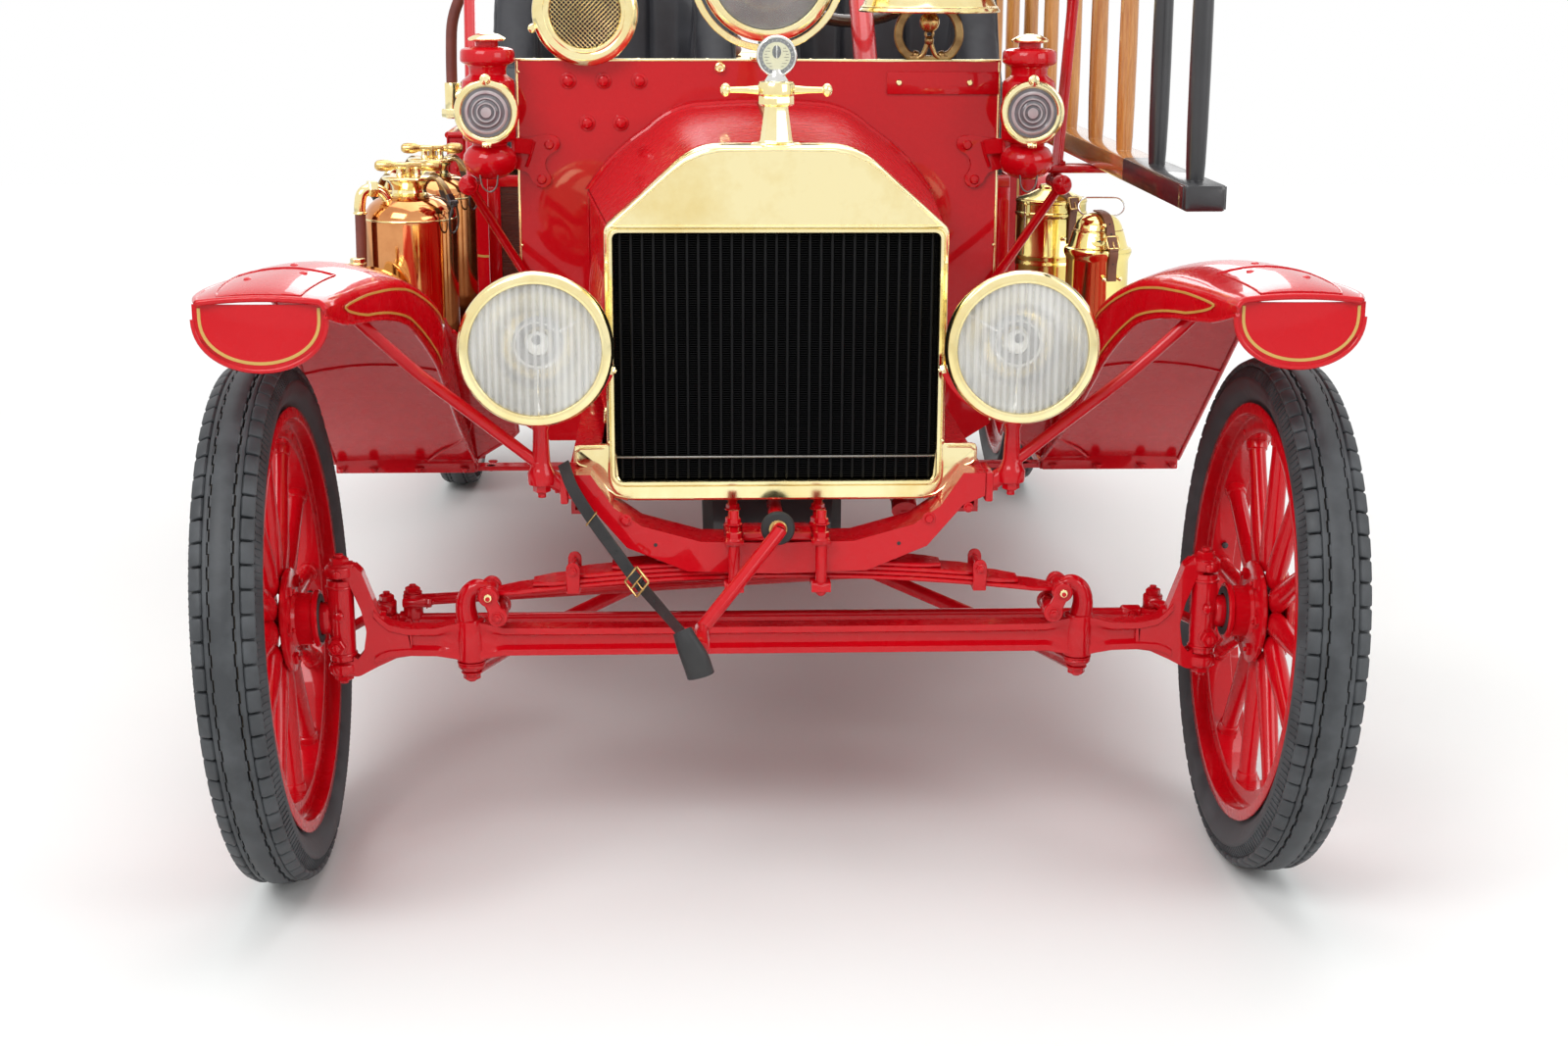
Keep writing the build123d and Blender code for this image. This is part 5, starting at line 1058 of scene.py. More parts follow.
def make_radiator_cap():
    """The winged filler cap and the round gauge that stands on it."""
    cap = Piece().use(BRASS)
    cap_at = Vector((0, RAD_FRONT + 40, 1118))
    cap.lathe([(0, 0), (22, 0), (25, 2.4), (25, 12.6), (23.6, 14.6), (0, 14.6)], cap_at, steps=8)
    cap.lathe([(0, 14), (23.4, 14), (25.8, 16.6), (26, 30), (24, 33.4), (16, 35), (9, 36), (0, 36)], cap_at, steps=40)
    for side in (1, -1):
        hub = cap_at + Vector((side * 22, 0, 22))
        cap.lathe([(0, 0), (8, 0), (6.6, 4), (4.8, 22), (4.2, 44), (0, 44)], hub, (side, 0, 0), 20)
        cap.ball(cap_at + Vector((side * 72, 0, 22)), 7.6, 20, 1.25)
    cap.use(NICKEL).lathe([(0, 0), (17, 0), (15, 3), (9.4, 12), (9, 16), (0, 16)],
                          cap_at + Vector((0, 0, 35)), steps=28)
    gauge = cap_at + Vector((0, 0, 69))
    cap.lathe([(0, -8), (23, -8), (27.8, -5.4), (29, -2), (29, 4), (27.6, 7.4), (25.6, 8), (24.6, 6.6), (0, 6.6)],
              gauge, FORE, 56)
    cap.use(BLACK).lathe([(0, 5.8), (24.9, 5.8), (24.9, 7.0), (19.9, 7.4), (19.9, 6.4), (0, 6.4)], gauge, FORE, 56)
    cap.use(DIAL).lathe([(0, 5), (19.7, 5), (19.7, 6.9), (0, 6.9)], gauge, FORE, 48)
    cap.use(NICKEL)
    for k in range(24):
        a = math.tau * k / 24
        spot = gauge + Vector((22.4 * math.cos(a), -7.2, 22.4 * math.sin(a)))
        cap.block(spot - Vector((0.5, 0.5, 1.7)), spot + Vector((0.5, 0.5, 1.7)), 0.2,
                  turn=Matrix.Rotation(-a + math.pi / 2, 3, "Y"), segments=1)
    cap.use(CORE)
    for k in range(7):
        z = gauge.z - 14 + 4.2 * k
        reach = math.sqrt(max(20.0, 17.4 ** 2 - (z - gauge.z) ** 2))
        for side in (1, -1):
            far, near = side * reach, side * (reach - 7 if k % 2 else reach - 4)
            cap.block((min(far, near), gauge.y - 7.3, z - 0.35), (max(far, near), gauge.y - 6.8, z + 0.35), 0)
    cap.skin([[(6.2 * math.cos(a) * s, gauge.y - 6.9 - d, gauge.z + 6 + 9 * math.sin(a) * s)
               for a in (math.tau * i / 28 for i in range(28))] for s, d in ((1, 0), (1, 0.5))])
    cap.use(NICKEL).rod((0, gauge.y - 7.8, gauge.z - 3), (0, gauge.y - 7.8, gauge.z + 15), 1.0)
    cap.use(CLEAR_GLASS).lathe([(0, 7.6), (25, 7.6), (25, 8.1), (16, 9.4), (0, 10.2)], gauge, FORE, 48)
    cap.done("radiator_cap_gauge", slot="brass", stands_for=["radiator_cap"])


# ----------------------------------------------------------------- headlamps
LAMP_Z, LAMP_FRONT = 796.0, FRONT_AXLE_Y - 110.0


def make_headlamps():
    """Two spun bowls with their reflectors and bulbs, and their fluted lenses."""
    lamps = Piece()
    lenses = Piece()
    for side in (1, -1):
        at = Vector((side * 338, LAMP_FRONT, LAMP_Z))
        lamps.use(BRASS).lathe([(91.5, 3), (92.4, 0.6), (95, 0), (101, 0.4), (104.6, 2), (107, 5.4), (108, 10),
                                (108, 20), (107, 24), (104.4, 26), (104.6, 28.4), (106, 30.6), (105, 33), (102.6, 36),
                                (98.6, 70), (91, 95), (79, 116), (62, 133), (40, 145), (18, 151.4), (0, 152), (0, 150),
                                (40, 143), (78, 112), (96, 70), (101, 32), (92, 30), (91.5, 10)], at, AFT,
                               96, whole=True)
        lamps.use(SILVERED).lathe([(93, 30), (86, 52), (72, 78), (52, 100), (28, 112), (0, 116), (0, 120), (30, 116),
                                   (56, 104), (76, 80), (90, 54), (95, 30)], at, AFT, 64, whole=True)
        lamps.use(NICKEL).lathe([(30, 50), (33, 46), (34.5, 50), (33, 54)], at, AFT, 48, whole=True)
        for turn in (30, 150, 270):
            a = math.radians(turn)
            lamps.rod(at + Vector((32 * math.cos(a), 50, 32 * math.sin(a))),
                      at + Vector((86 * math.cos(a), 56, 86 * math.sin(a))), 1.6, 0.4, 8)
        lamps.use(BOOT_RUBBER).drum(at + Vector((0, 44, 8)), AFT, 7, 4, 1.5)
        # a dark steel ring round the bulb, set in as painted shade round the reflector's middle
        lamps.use(BOLT_STEEL).lathe([(21, 84), (33, 84), (36, 80), (33, 77), (22, 78), (20, 81)], at, AFT,
                                    36, whole=True)
        lamps.use(BULB_GLASS).ball(at + Vector((0, 62, 0)), 17, 20)
        lamps.use(BRASS).rod(at + Vector((0, 78, 0)), at + Vector((0, 112, 0)), 12, 2)
        lamps.hoop(at + Vector((0, 150, 0)), AFT, 9, 2.2, 24, 8)
        for turn in (90, 210, 330):
            a = math.radians(turn)
            spot = at + Vector((103.5 * math.cos(a), 27, 103.5 * math.sin(a)))
            lamps.rod(spot, spot + Vector((2.4 * math.cos(a), 0, 2.4 * math.sin(a))), 4.4, 1)
        lens = lenses.use(HEADLAMP_GLASS)
        lens.lathe([(0, 6.6), (91.4, 8.4), (91.4, 4.4), (80, 3.2), (60, 1.8), (36, 0.7), (18, 0.2), (0, 0)], at, AFT,
                   72)
    lamps.use(BRASS)
    lamps.done("headlamps_spun", slot="brass", stands_for=["headlamps"], crease=30)
    lenses.done("headlamp_lenses_fluted", slot="glass", stands_for=["lamp_lenses"], crease=50)


POST_Y = FRONT_AXLE_Y - 30


def make_lamp_irons():
    """The headlamps' forks and posts, and the stays that rise from them to the fenders."""
    irons = Piece().use(RED)
    for side in (1, -1):
        x = side * 338
        fork = arc((x, POST_Y, LAMP_Z), 104, 180 + 22, 360 - 22, 24)
        irons.tube(fork, 0, flat=(22, 7), up=AFT)
        for turn in (202, 338):
            a = math.radians(turn)
            spot = Vector((x + 104 * math.cos(a), POST_Y, LAMP_Z + 104 * math.sin(a)))
            out = Vector((math.cos(a), 0, math.sin(a)))
            irons.use(BRASS).nut(spot + out * 3.5, out, 12, 7)
            irons.use(RED)
        irons.lathe([(0, 590), (19, 590), (20, 594), (20, 606), (17, 612), (13, 622), (12, 640), (11, 668), (13, 672),
                     (13, 684), (10.5, 690), (10.5, 700), (0, 700)], (x, POST_Y, 0), steps=24)
        irons.nut((x, POST_Y, 590), DOWN, 22, 12, 6, 8)
        irons.rod((x, POST_Y, 606), (side * 288, FRONT_AXLE_Y - 14, 572), 13, 3)
        irons.block((side * 300.3, FRONT_AXLE_Y - 36, 560), (side * 312, FRONT_AXLE_Y + 36, 604), 3)
        for y in (-22, 22):
            irons.nut((side * 312, FRONT_AXLE_Y + y, 582), (side, 0, 0), 14, 8)
        iron = curve_points([(x, POST_Y, 616), (side * 420, POST_Y - 3, 682), (side * 520, POST_Y - 7, 763),
                             (side * 612, POST_Y - 10, 852), (side * 628, POST_Y - 10, 872),
                             (side * 630, POST_Y - 10, 888)], 6)
        irons.tube(iron, 8.6, 14)
        irons.ball((x + side * 2, POST_Y, 617), 14, 16)
        irons.block((side * 596, POST_Y - 26, 886), (side * 664, POST_Y + 6, 893), 2.5)
    irons.done("lamp_irons_forged", slot="red_paint", stands_for=["lamp_brackets"])


# ------------------------------------------------------------- front fenders
# along the fender: y from the front axle, height of the crown's middle and of its edges,
# x of the inner and of the outer edge, depth of the flank
FENDER = ((-265, 893, 888, 596, 760, 20), (-235, 900, 889, 590, 768, 30), (-190, 905, 888, 583, 772, 40),
          (-130, 908, 886, 574, 772, 46), (-60, 908, 883, 560, 768, 50), (0, 905, 879, 546, 762, 56),
          (60, 896, 870, 532, 756, 64), (120, 878, 853, 521, 750, 74), (180, 853, 830, 510, 748, 84),
          (240, 822, 800, 503, 748, 88), (330, 755, 737, 501, 748, 80), (450, 661, 647, 501, 748, 60),
          (580, 558, 550, 501, 748, 32), (660, 496, 491, 501, 748, 14), (700, 463, 461, 501, 748, 4))
BOARD_FRONT = -692.0
# the half-moon lip: its middle and half width in x, its top and its lowest point
LIP_MIDDLE, LIP_REACH, LIP_TOP, LIP_LOW = 682.0, 86.0, 884.0, 797.0


def fender_section(t):
    """The fender's cross-section at a share of its length, as points from the flank's foot over the crown."""
    place = t * (len(FENDER) - 1)
    i = min(int(place), len(FENDER) - 2)
    f = place - i
    rows = [FENDER[max(0, i - 1)], FENDER[i], FENDER[i + 1], FENDER[min(len(FENDER) - 1, i + 2)]]
    y, mid, edge, x_in, x_out, flank = [0.5 * (2 * b + (c - a) * f + (2 * a - 5 * b + 4 * c - d) * f * f
                                               + (3 * b - a - 3 * c + d) * f ** 3) for a, b, c, d in zip(*rows)]
    lean = 0.55 * max(0.0, min(1.0, (y - 60) / 200))
    points = [(x_in, -flank), (x_in - 1.5, -flank * 0.7), (x_in - 2, -flank * 0.35), (x_in - 1, -9),
              (x_in + 2.5, -3), (x_in + 8, 1)]
    for k in range(1, 13):
        s = k / 12
        points.append((x_in + 8 + (x_out - x_in - 8) * s, (mid - edge) * (1 - (2 * s - 1) ** 2) + 1 - s))
    return [Vector((x, y + lean * min(0.0, dz), edge + dz)) for x, dz in points]


def on_side(side, points, dx=0, dy=0, dz=0):
    """Points measured from the front axle, moved a little and set on one side of the vehicle."""
    return [(side * (p.x + dx), FRONT_AXLE_Y + p.y + dy, p.z + dz) for p in points]


def fender_sheet(fender, side, sections):
    """The fender's own sheet with the beads along its edges."""
    last = len(sections) - 1
    rings = []
    for k, section in enumerate(sections):
        ahead = sections[min(last, k + 1)][9] - sections[max(0, k - 1)][9]
        back = []
        for i, p in enumerate(section):
            across = section[min(len(section) - 1, i + 1)] - section[max(0, i - 1)]
            normal = across.cross(ahead).normalized()
            if normal.z < -0.2 or (abs(normal.z) <= 0.2 and normal.x > 0):
                normal = -normal
            back.append(p - normal * 2.6)
        rings.append(on_side(side, section + back[::-1]))
    fender.skin(rings)
    fender.tube(on_side(side, [section[-1] for section in sections], dz=-2), 4.2, 10)
    fender.tube(on_side(side, sections[0][3:], dy=-1, dz=-1.5), 4.4, 10)
    fender.tube(on_side(side, [section[0] for section in sections]), 3.2, 8)


def half_moon(shrink):
    """The outline of the fender's front lip, drawn in by an amount."""
    points = []
    for k in range(33):
        a = math.pi * k / 32
        x = LIP_MIDDLE + (LIP_REACH - shrink) * math.cos(a) * (1.0 - 0.03 * math.sin(a))
        points.append((x, LIP_TOP - 20 - (LIP_TOP - 20 - LIP_LOW - shrink) * math.sin(a) ** 0.85))
    return points


def fender_lip(fender, side):
    """The half-moon lip, its bead and its stripe."""
    def bow(x):
        return FRONT_AXLE_Y - 265 + 6 * ((x - LIP_MIDDLE) / LIP_REACH) ** 2

    edge = half_moon(0)
    rows = [[(x, LIP_TOP + (z - LIP_TOP) * row / 8) for x, z in edge] for row in range(9)]
    fender.skin([[(side * x, bow(x), z) for x, z in row] + [(side * x, bow(x) + 2.6, z) for x, z in reversed(row)]
                 for row in rows])
    fender.tube([(side * x, bow(x) + 1.3, z) for x, z in edge], 3.6, 10)
    fender.use(GOLD_LINE)
    stripe = half_moon(9)
    stripe = [(stripe[0][0], LIP_TOP - 6)] + stripe + [(stripe[-1][0], LIP_TOP - 6)]
    fender.tube([(side * x, bow(x) - 0.3, z + 1) for x, z in stripe], 0, flat=(4.2, 1.0), up=FORE)


def fender_lines(fender, side, sections):
    """The pointed loop of gold line along the inner flank, and the embossed outline on the crown."""
    upper, lower = [], []
    for k in range(8, 40):
        s = sections[k]
        tip = max(0.0, min(1.0, (k - 8) / 7))
        mid = s[1].lerp(s[3], 0.5)
        upper.append(mid.lerp(s[3], 0.72 * tip ** 0.6))
        lower.append(mid.lerp(s[0], 0.72 * tip ** 0.6))
    for line in (upper, lower):
        fender.tube(on_side(side, line, dx=-2.2), 0, flat=(1.0, 3.4), up=UP)
    fender.use(RED)
    round_crown = [(2, j) for j in range(7, 16)] + [(j, 15) for j in range(3, 15)]
    round_crown += [(15, j) for j in range(15, 6, -1)] + [(j, 7) for j in range(14, 2, -1)]
    fender.tube(on_side(side, [sections[k][i] for k, i in round_crown], dz=0.4), 1.5, 8, closed=True)


def fender_fixings(fender, side, sections):
    """Rivets on the crown, the rib under the slope and the flange that is bolted to the running board."""
    for k, i in ((13, 9), (17, 11), (10, 13)):
        fender.rivet(on_side(side, [sections[k][i]], dz=-0.4)[0], (0, -0.1, 1), 6, 0.45)
    fender.tube(on_side(side, sections[46][5:], dy=1, dz=-3.4), 3.2, 8)
    for x in (520, 600, 680, 735):
        fender.nut((side * x, BOARD_FRONT - 12, 452), DOWN, 12, 6)
    fender.block((side * 503, BOARD_FRONT - 7, 441), (side * 746, BOARD_FRONT - 0.5, 476), 2)


def fender_apron(fender, side):
    """The slope carried inwards to meet the running board's apron, and its brace."""
    sheet, inner = [], []
    for k in range(24):
        y = 300 + 400 * k / 23
        spans = zip(FENDER, FENDER[1:])
        level = next(z0 + (z1 - z0) * (y - y0) / (y1 - y0) for (y0, z0, *_), (y1, z1, *_) in spans if y <= y1) - 3
        ease = min(1.0, (y - 300) / 190.0)
        x = 503 - 83 * ease * ease * (3 - 2 * ease) if y < 620 else 420 + 84 * (y - 620) / 80.0
        corners = [(506, level), (x, level + 2), (x, level + 4.6), (506, level + 2.6)]
        sheet.append([(side * cx, FRONT_AXLE_Y + y, cz) for cx, cz in corners])
        inner.append((side * x, FRONT_AXLE_Y + y, level + 3))
    fender.skin(sheet)
    fender.tube(inner[2:], 3.4, 8)
    brace = [(584, 690, 464), (560, 664, 484), (520, 630, 512), (500, 590, 542), (492, 540, 580)]
    fender.tube(curve_points(points_at(FRONT_AXLE_Y, brace, side), 5), 2.2, 8)


def fender_piece(side):
    """One front fender, from its sheet to its apron."""
    fender = Piece().use(RED)
    sections = [fender_section(k / 60) for k in range(61)]
    fender_sheet(fender, side, sections)
    fender_lip(fender, side)
    fender_lines(fender, side, sections)
    fender_fixings(fender, side, sections)
    fender_apron(fender, side)
    return fender


def join(*made):
    """Several pieces' forms in one, each with its own finishes."""
    whole = Piece()
    for piece in made:
        mesh = bpy.data.meshes.new("part")
        piece.bm.to_mesh(mesh)
        piece.bm.free()
        whole.bm.faces.ensure_lookup_table()
        before = len(whole.bm.faces)
        whole.bm.from_mesh(mesh)
        whole.bm.faces.ensure_lookup_table()
        for material in piece.finishes:
            whole.use(material)
        order = [whole.finishes.index(material) for material in piece.finishes]
        for face in whole.bm.faces[before:]:
            face.material_index = order[face.material_index]
        bpy.data.meshes.remove(mesh)
    return whole


def make_front_fenders():
    """Both front fenders as one piece."""
    join(fender_piece(1), fender_piece(-1)).done("front_fenders_rolled", slot="red_paint",
                                                 stands_for=["front_fenders"], crease=40)


# ------------------------------------------------- firewall, hood and its strip
DASH_HALF, DASH_FOOT, DASH_TOP = 420, 512, 1150


def make_dash():
    """The firewall with its brass binding, rivets, bosses and cut brackets."""
    dressed("firewall", RED)
    dash = Piece().use(BRASS)
    dash.block((-DASH_HALF - 2, DASH_Y - 1.6, DASH_TOP - 1.6), (DASH_HALF + 2, DASH_Y + 21.6, DASH_TOP + 2.6), 0.9)
    for x in (-DASH_HALF, DASH_HALF):
        dash.block((x - 2.2, DASH_Y - 1.4, DASH_FOOT), (x + 2.2, DASH_Y + 21.4, DASH_TOP), 0.8)
    for side in (1, -1):
        for z in (1130, 980, 830, 680, 560):
            dash.rivet((side * 417, DASH_Y - 1.2, z), FORE, 2.6)
    for x in range(-390, 400, 60):
        dash.rivet((x, DASH_Y + 10, 1152.4), UP, 2.6)
    dash.rod((-68, DASH_Y - 7, 1138), (-68, DASH_Y, 1138), 9.4, 2)
    dash.hoop((-68, DASH_Y - 7, 1138), AFT, 6.4, 1.4, 24, 8)
    for x in (244, 368):
        dash.screw((x, DASH_Y - 4.6, 1113), FORE, 5.4)
    dash.use(RED).block((223, DASH_Y - 4.6, 1093), (419, DASH_Y, 1132), 1.2)
    for x, z in ((-331, 1115), (-270, 1115), (-208, 1115), (-299, 1043), (-241, 1043)):
        dash.drum((x, DASH_Y - 1, z), FORE, 14.0, 2.4, 0.8, 28)
        dash.lathe([(9.2, 0), (9.2, 3.4), (7.8, 6), (3.6, 7.4), (0, 7.8)], (x, DASH_Y - 2, z), FORE, 24)
    for side in (1, -1):
        lobes = rounded_loop([(side * x, z) for x, z in ((432, 1017), (400, 1019), (372, 1024), (349, 1020),
                                                         (346, 1000), (364, 990), (374, 978), (372, 962), (362, 950),
                                                         (366, 934), (384, 930), (396, 942), (404, 958), (432, 966))],
                             [2, 8, 12, 14, 14, 8, 10, 8, 10, 14, 14, 10, 12, 2], 3)
        dash.slab([(p.x, p.y) for p in lobes], (0, DASH_Y - 3.2, 0), FORE, 6.4, edge=1.2)
        for x, z in ((366, 1006), (380, 946)):
            dash.screw((side * x, DASH_Y - 6.2, z), FORE, 8.4)
        dash.tube(curve_points(points_at(DASH_Y, [(392, -7, 1012), (398, -8, 990), (406, -7, 968)], side), 5), 3.0, 8)
    dash.done("dash_trim", slot="brass")


HOOD_FRONT = ((244, 947), (115, 1062))
HOOD_REAR = ((300, 930), (150, 1076))


def hood_ring(y, grow=0.0, crown=4.0):
    """The hood's outline at y: shoulder to shoulder, over a slight crown."""
    share = (y - RAD_BACK) / (DASH_Y - RAD_BACK)
    (sx, sz), (tx, tz) = [(a[0] + (b[0] - a[0]) * share, a[1] + (b[1] - a[1]) * share)
                          for a, b in zip(HOOD_FRONT, HOOD_REAR)]
    foot, corner, top = Vector((sx + grow, sz)), Vector((tx + grow * 0.4, tz + grow)), Vector((0, tz + grow))
    turn_in = 24.0 + 36.0 * share
    start, end = corner + (foot - corner).normalized() * turn_in, corner + (top - corner).normalized() * turn_in
    half = []
    for k in range(7):
        t = k / 7
        bulge = 9.0 * share * math.sin(math.pi * t)
        half.append((foot.x + (start.x - foot.x) * t + bulge * 0.7, foot.y + (start.y - foot.y) * t + bulge * 0.7))
    for k in range(8):
        t = k / 8
        p = start * (1 - t) ** 2 + corner * 2 * t * (1 - t) + end * t * t
        half.append((p.x, p.y))
    for k in range(5):
        t = k / 4
        half.append((end.x * (1 - t), end.y + crown * (1 - (1 - t) ** 2)))
    left = [Vector((x, z)) for x, z in half]
    return left + [Vector((-p.x, p.y)) for p in reversed(left[:-1])]


def make_hood_top():
    """The folded top with the strip round its rear end and the piano hinge along its crown."""
    hood = Piece().use(RED)
    rings = []
    for k in range(17):
        y = RAD_BACK + 0.3 + (DASH_Y - RAD_BACK - 0.6) * k / 16
        line = hood_ring(y)
        low = hood_ring(y, -2.6)
        rings.append([(p.x, y, p.y) for p in line] + [(p.x, y, p.y) for p in reversed(low)])
    hood.skin(rings)
    for side in (1, -1):
        hood.block((side * 297, DASH_Y - 35, 642), (side * 300, DASH_Y - 0.4, 929), 0.8)
    # strip round the hood's rear end, piano hinge and shoulder hinges
    strip = [(DASH_Y - 24, 1.0), (DASH_Y - 22, 4.5), (DASH_Y - 8, 6.0), (DASH_Y - 3, 4.5), (DASH_Y - 1, 1.0)]
    hood.skin([[(p.x, y, p.y) for p in hood_ring(y, g)] + [(p.x, y, p.y) for p in reversed(hood_ring(y, -1.0))]
               for y, g in strip])
    hood.tube([(0, RAD_BACK + 4, 1066.6), (0, DASH_Y - 26, 1080.4)], 4.4, 12)
    hood.use(BRONZE)
    for k in range(24):
        y = RAD_BACK + 14 + k * 27
        z = 1066.6 + (y - RAD_BACK) / (DASH_Y - 26 - RAD_BACK) * 13.8
        hood.rod((0, y, z + 0.2), (0, y + 12, z + 0.5), 4.7, 0.6)
    hood.done("hood_top_folded", slot="red_paint", stands_for=["hood_top"], crease=20)


def make_hood_sides():
    """The two louvred leaves with their hinges and handles, each on its own body."""
    for side, name in SIDES.items():
        leaf = Piece().use(RED)
        y0, y1 = RAD_BACK + 2, DASH_Y - 40
        def skin_x(y):
            share = (y - RAD_BACK) / (DASH_Y - RAD_BACK)
            (xf, zf), (xr, zr) = HOOD_FRONT[0], HOOD_REAR[0]
            return xf + (xr - xf) * share, zf + (zr - zf) * share - 4
        corners = []
        for y in (y0, y1):
            x, z = skin_x(y)
            corners.append((x, y, z))
        (xa, ya, za), (xb, yb, zb) = corners
        rings = []
        for offset in (0.0, -3.0):
            rings.append([(side * (xa + offset), ya, 642), (side * (xb + offset), yb, 642),
                          (side * (xb + offset), yb, zb), (side * (xa + offset), ya, za)])
        leaf.skin(rings)
        # pressed louvres, shoulder hinge and the handle
        slope = (xb - xa) / (yb - ya)
        for k in range(6):
            y = y0 + 150 + k * 66
            x = xa + slope * (y - ya)
            louvre = []
            for t in range(9):
                z = 700 + 150 * t / 8
                r = 9.0 * math.sin(math.pi * min(1.0, max(0.0, (t + 0.001) / 8))) ** 0.5 + 0.3
                louvre.append([(side * (x - 1), y - 12, z), (side * (x + r * 0.25), y - 9, z),
                               (side * (x + r), y + 10, z), (side * (x + r - 1.8), y + 11, z),
                               (side * (x - 1), y + 5, z)])
            leaf.skin(louvre)
        leaf.tube([(side * (xa + 0.5), ya + 2, za - 1), (side * (xb + 0.5), yb - 2, zb - 1)], 3.6, 12)
        leaf.tube([(side * (xa - 0.5), ya + 1, 644), (side * (xb - 0.5), yb - 1, 644)], 2.4, 8)
        leaf.use(BRASS)
        y = (y0 + y1) / 2
        x = xa + slope * (y - ya)
        leaf.tube(curve_points([(side * x, y - 46, 668), (side * (x + 16), y - 40, 668), (side * (x + 20), y, 668),
                                (side * (x + 16), y + 40, 668), (side * x, y + 46, 668)], 6), 4, 12)
        for dy in (-46, 46):
            leaf.drum((side * (x + 1.5), y + dy, 668), (side, 0, 0), 9, 3, 1)
        for y in (y0 + 60, y1 - 60):
            x = xa + slope * (y - ya)
            leaf.drum((side * (x + 2), y, 656), (side, 0, 0), 8, 5, 1.5)
            leaf.block((side * x, y - 4, 640), (side * (x + 6), y + 4, 660), 1.5)
        leaf.done("hood_side_%s_louvred" % name, "hood_" + name, "red_paint", ["hood_side_" + name], 30)


# ---------------------------------------------------------------- side lamps
SIDE_Y = DASH_Y - 42
# where a ringed lens is hollow and its faces take painted shade, as radii from and to
LENS_VALLEYS = ((9.4, 13.2), (17.6, 21.6), (26.2, 30.6), (35.4, 42.0))


def make_side_lamps():
    """The two lamps beside the firewall, with ringed lenses."""
    lamps = Piece()
    for side in (1, -1):
        x = side * 466
        at = Vector((x, SIDE_Y, 0))
        lamps.use(RED).lathe([(0, 950), (14, 950.6), (30, 956), (42, 967), (46.6, 980), (45, 992), (38, 1003),
                              (30, 1008), (30, 1012), (41, 1016), (45, 1020), (45.6, 1024), (45.6, 1112), (44, 1118),
                              (36, 1124), (31.5, 1128), (31.5, 1138), (34, 1143), (43, 1147), (46.4, 1150), (47, 1154),
                              (46.4, 1166), (44, 1170), (36, 1173), (19, 1175), (19, 1184), (0, 1184)], at, steps=48)
        lamps.use(BRASS).lathe([(0, 1182), (21, 1182), (31, 1184.6), (32.4, 1187), (31, 1189), (20, 1195), (8, 1197.6),
                                (0, 1198)], at, steps=40)
        for k in range(4):
            a = math.tau * k / 4 + 0.4
            lamps.use(RED).rod((x + 17 * math.cos(a), SIDE_Y + 17 * math.sin(a), 1172),
                               (x + 17 * math.cos(a), SIDE_Y + 17 * math.sin(a), 1186), 3)
        lens_at = Vector((x, SIDE_Y - 52, 1067))
        lamps.use(RED).lathe([(0, 0), (51, 0), (51, 12), (46, 30), (40, 52), (0, 52)], lens_at, AFT, 48)
        lamps.use(BRASS).lathe([(41.5, 2), (42, -1.6), (44.4, -4), (49, -4.6), (53, -3.4), (55, 0), (55.4, 6), (54, 9),
                                (50, 10), (50, 2)], lens_at, AFT, 64, whole=True)
        lamps.drum(lens_at + Vector((0, -2.4, 55)), (0, 1, 0.0), 9.6, 7, 2.4, 28)
        lamps.drum(lens_at + Vector((0, -5.8, 55)), (0, 1, 0.0), 6.2, 2, 0.8, 24)
        lamps.rod(lens_at + Vector((-8, -2, -55)), lens_at + Vector((8, -2, -55)), 4.6, 1.5)
        lamps.ball(lens_at + Vector((0, -2, -55)), 5.6, 14)
        lamps.use(SILVERED).lathe([(0, 1.6), (41.8, 0.6), (41.8, 2.6), (0, 3)], lens_at, AFT, 40)
        lamps.use(RING_GLASS)
        profile = [(0, -6.4), (9, -5.6), (10.5, -3.6), (12, -3.2), (14, -4.8), (16.5, -5.0), (19, -3.0), (20.5, -2.6),
                   (22.6, -4.2), (25, -4.4), (27.5, -2.4), (29.5, -2.2), (31.5, -3.6), (34, -3.6), (36.5, -1.6),
                   (39, -1.4), (41.6, -1.4), (41.6, 0.4), (0, 0.4)]
        lamps.lathe(profile, lens_at, AFT, 64)
        # faces in the lens's valleys take the darker finish, painted shade between the rings
        shade = lamps.use(RING_VALLEY_SHADE).finishes.index(RING_VALLEY_SHADE)
        for face in lamps.bm.faces:
            if lamps.finishes[face.material_index] == RING_GLASS:
                across = (face.calc_center_median() * 1000 - lens_at)
                reach = math.hypot(across.x, across.z)
                if reach < 60 and any(low < reach < high for low, high in LENS_VALLEYS):
                    face.material_index = shade
        lamps.use(RED)
        lamps.tube(curve_points([(x - 40 * side, SIDE_Y, 1010), (side * 424, DASH_Y - 22, 1006),
                                 (side * 396, DASH_Y - 6, 1002)], 5), 0, flat=(5, 26), up=UP)
        lamps.use(BOLT_STEEL)
        lamps.tube(curve_points([(x - 16, SIDE_Y - 30, 968), (x - 12, SIDE_Y - 26, 940), (x, SIDE_Y - 22, 930),
                                 (x + 12, SIDE_Y - 26, 940), (x + 16, SIDE_Y - 30, 968)], 6), 1.6, 8)
    lamps.done("side_lamps_spun", slot="brass", stands_for=["side_lamps"], crease=32)


# ------------------------------------------------- front axle and its fittings
def beam_section(x, low, high, web, flange=16.0):
    """The forged axle's I-section at x."""
    rib = 9.0
    return [(x, FRONT_AXLE_Y + y, z) for y, z in ((-flange, low), (flange, low), (flange, low + rib),
                                                  (web, low + rib + 5), (web, high - rib - 5), (flange, high - rib),
                                                  (flange, high), (-flange, high), (-flange, high - rib),
                                                  (-web, high - rib - 5), (-web, low + rib + 5), (-flange, low + rib))]


# how far out the king pins, spring perches and tie rod's ends stand, and the shackles' two pins as (x, z)
KINGPIN_X, PERCH_X, ROD_X = 636, 449, 588
ROD_Y = FRONT_AXLE_Y + 130
SHACKLE_LOW, SHACKLE_TOP = (406, 392), (419, 422)


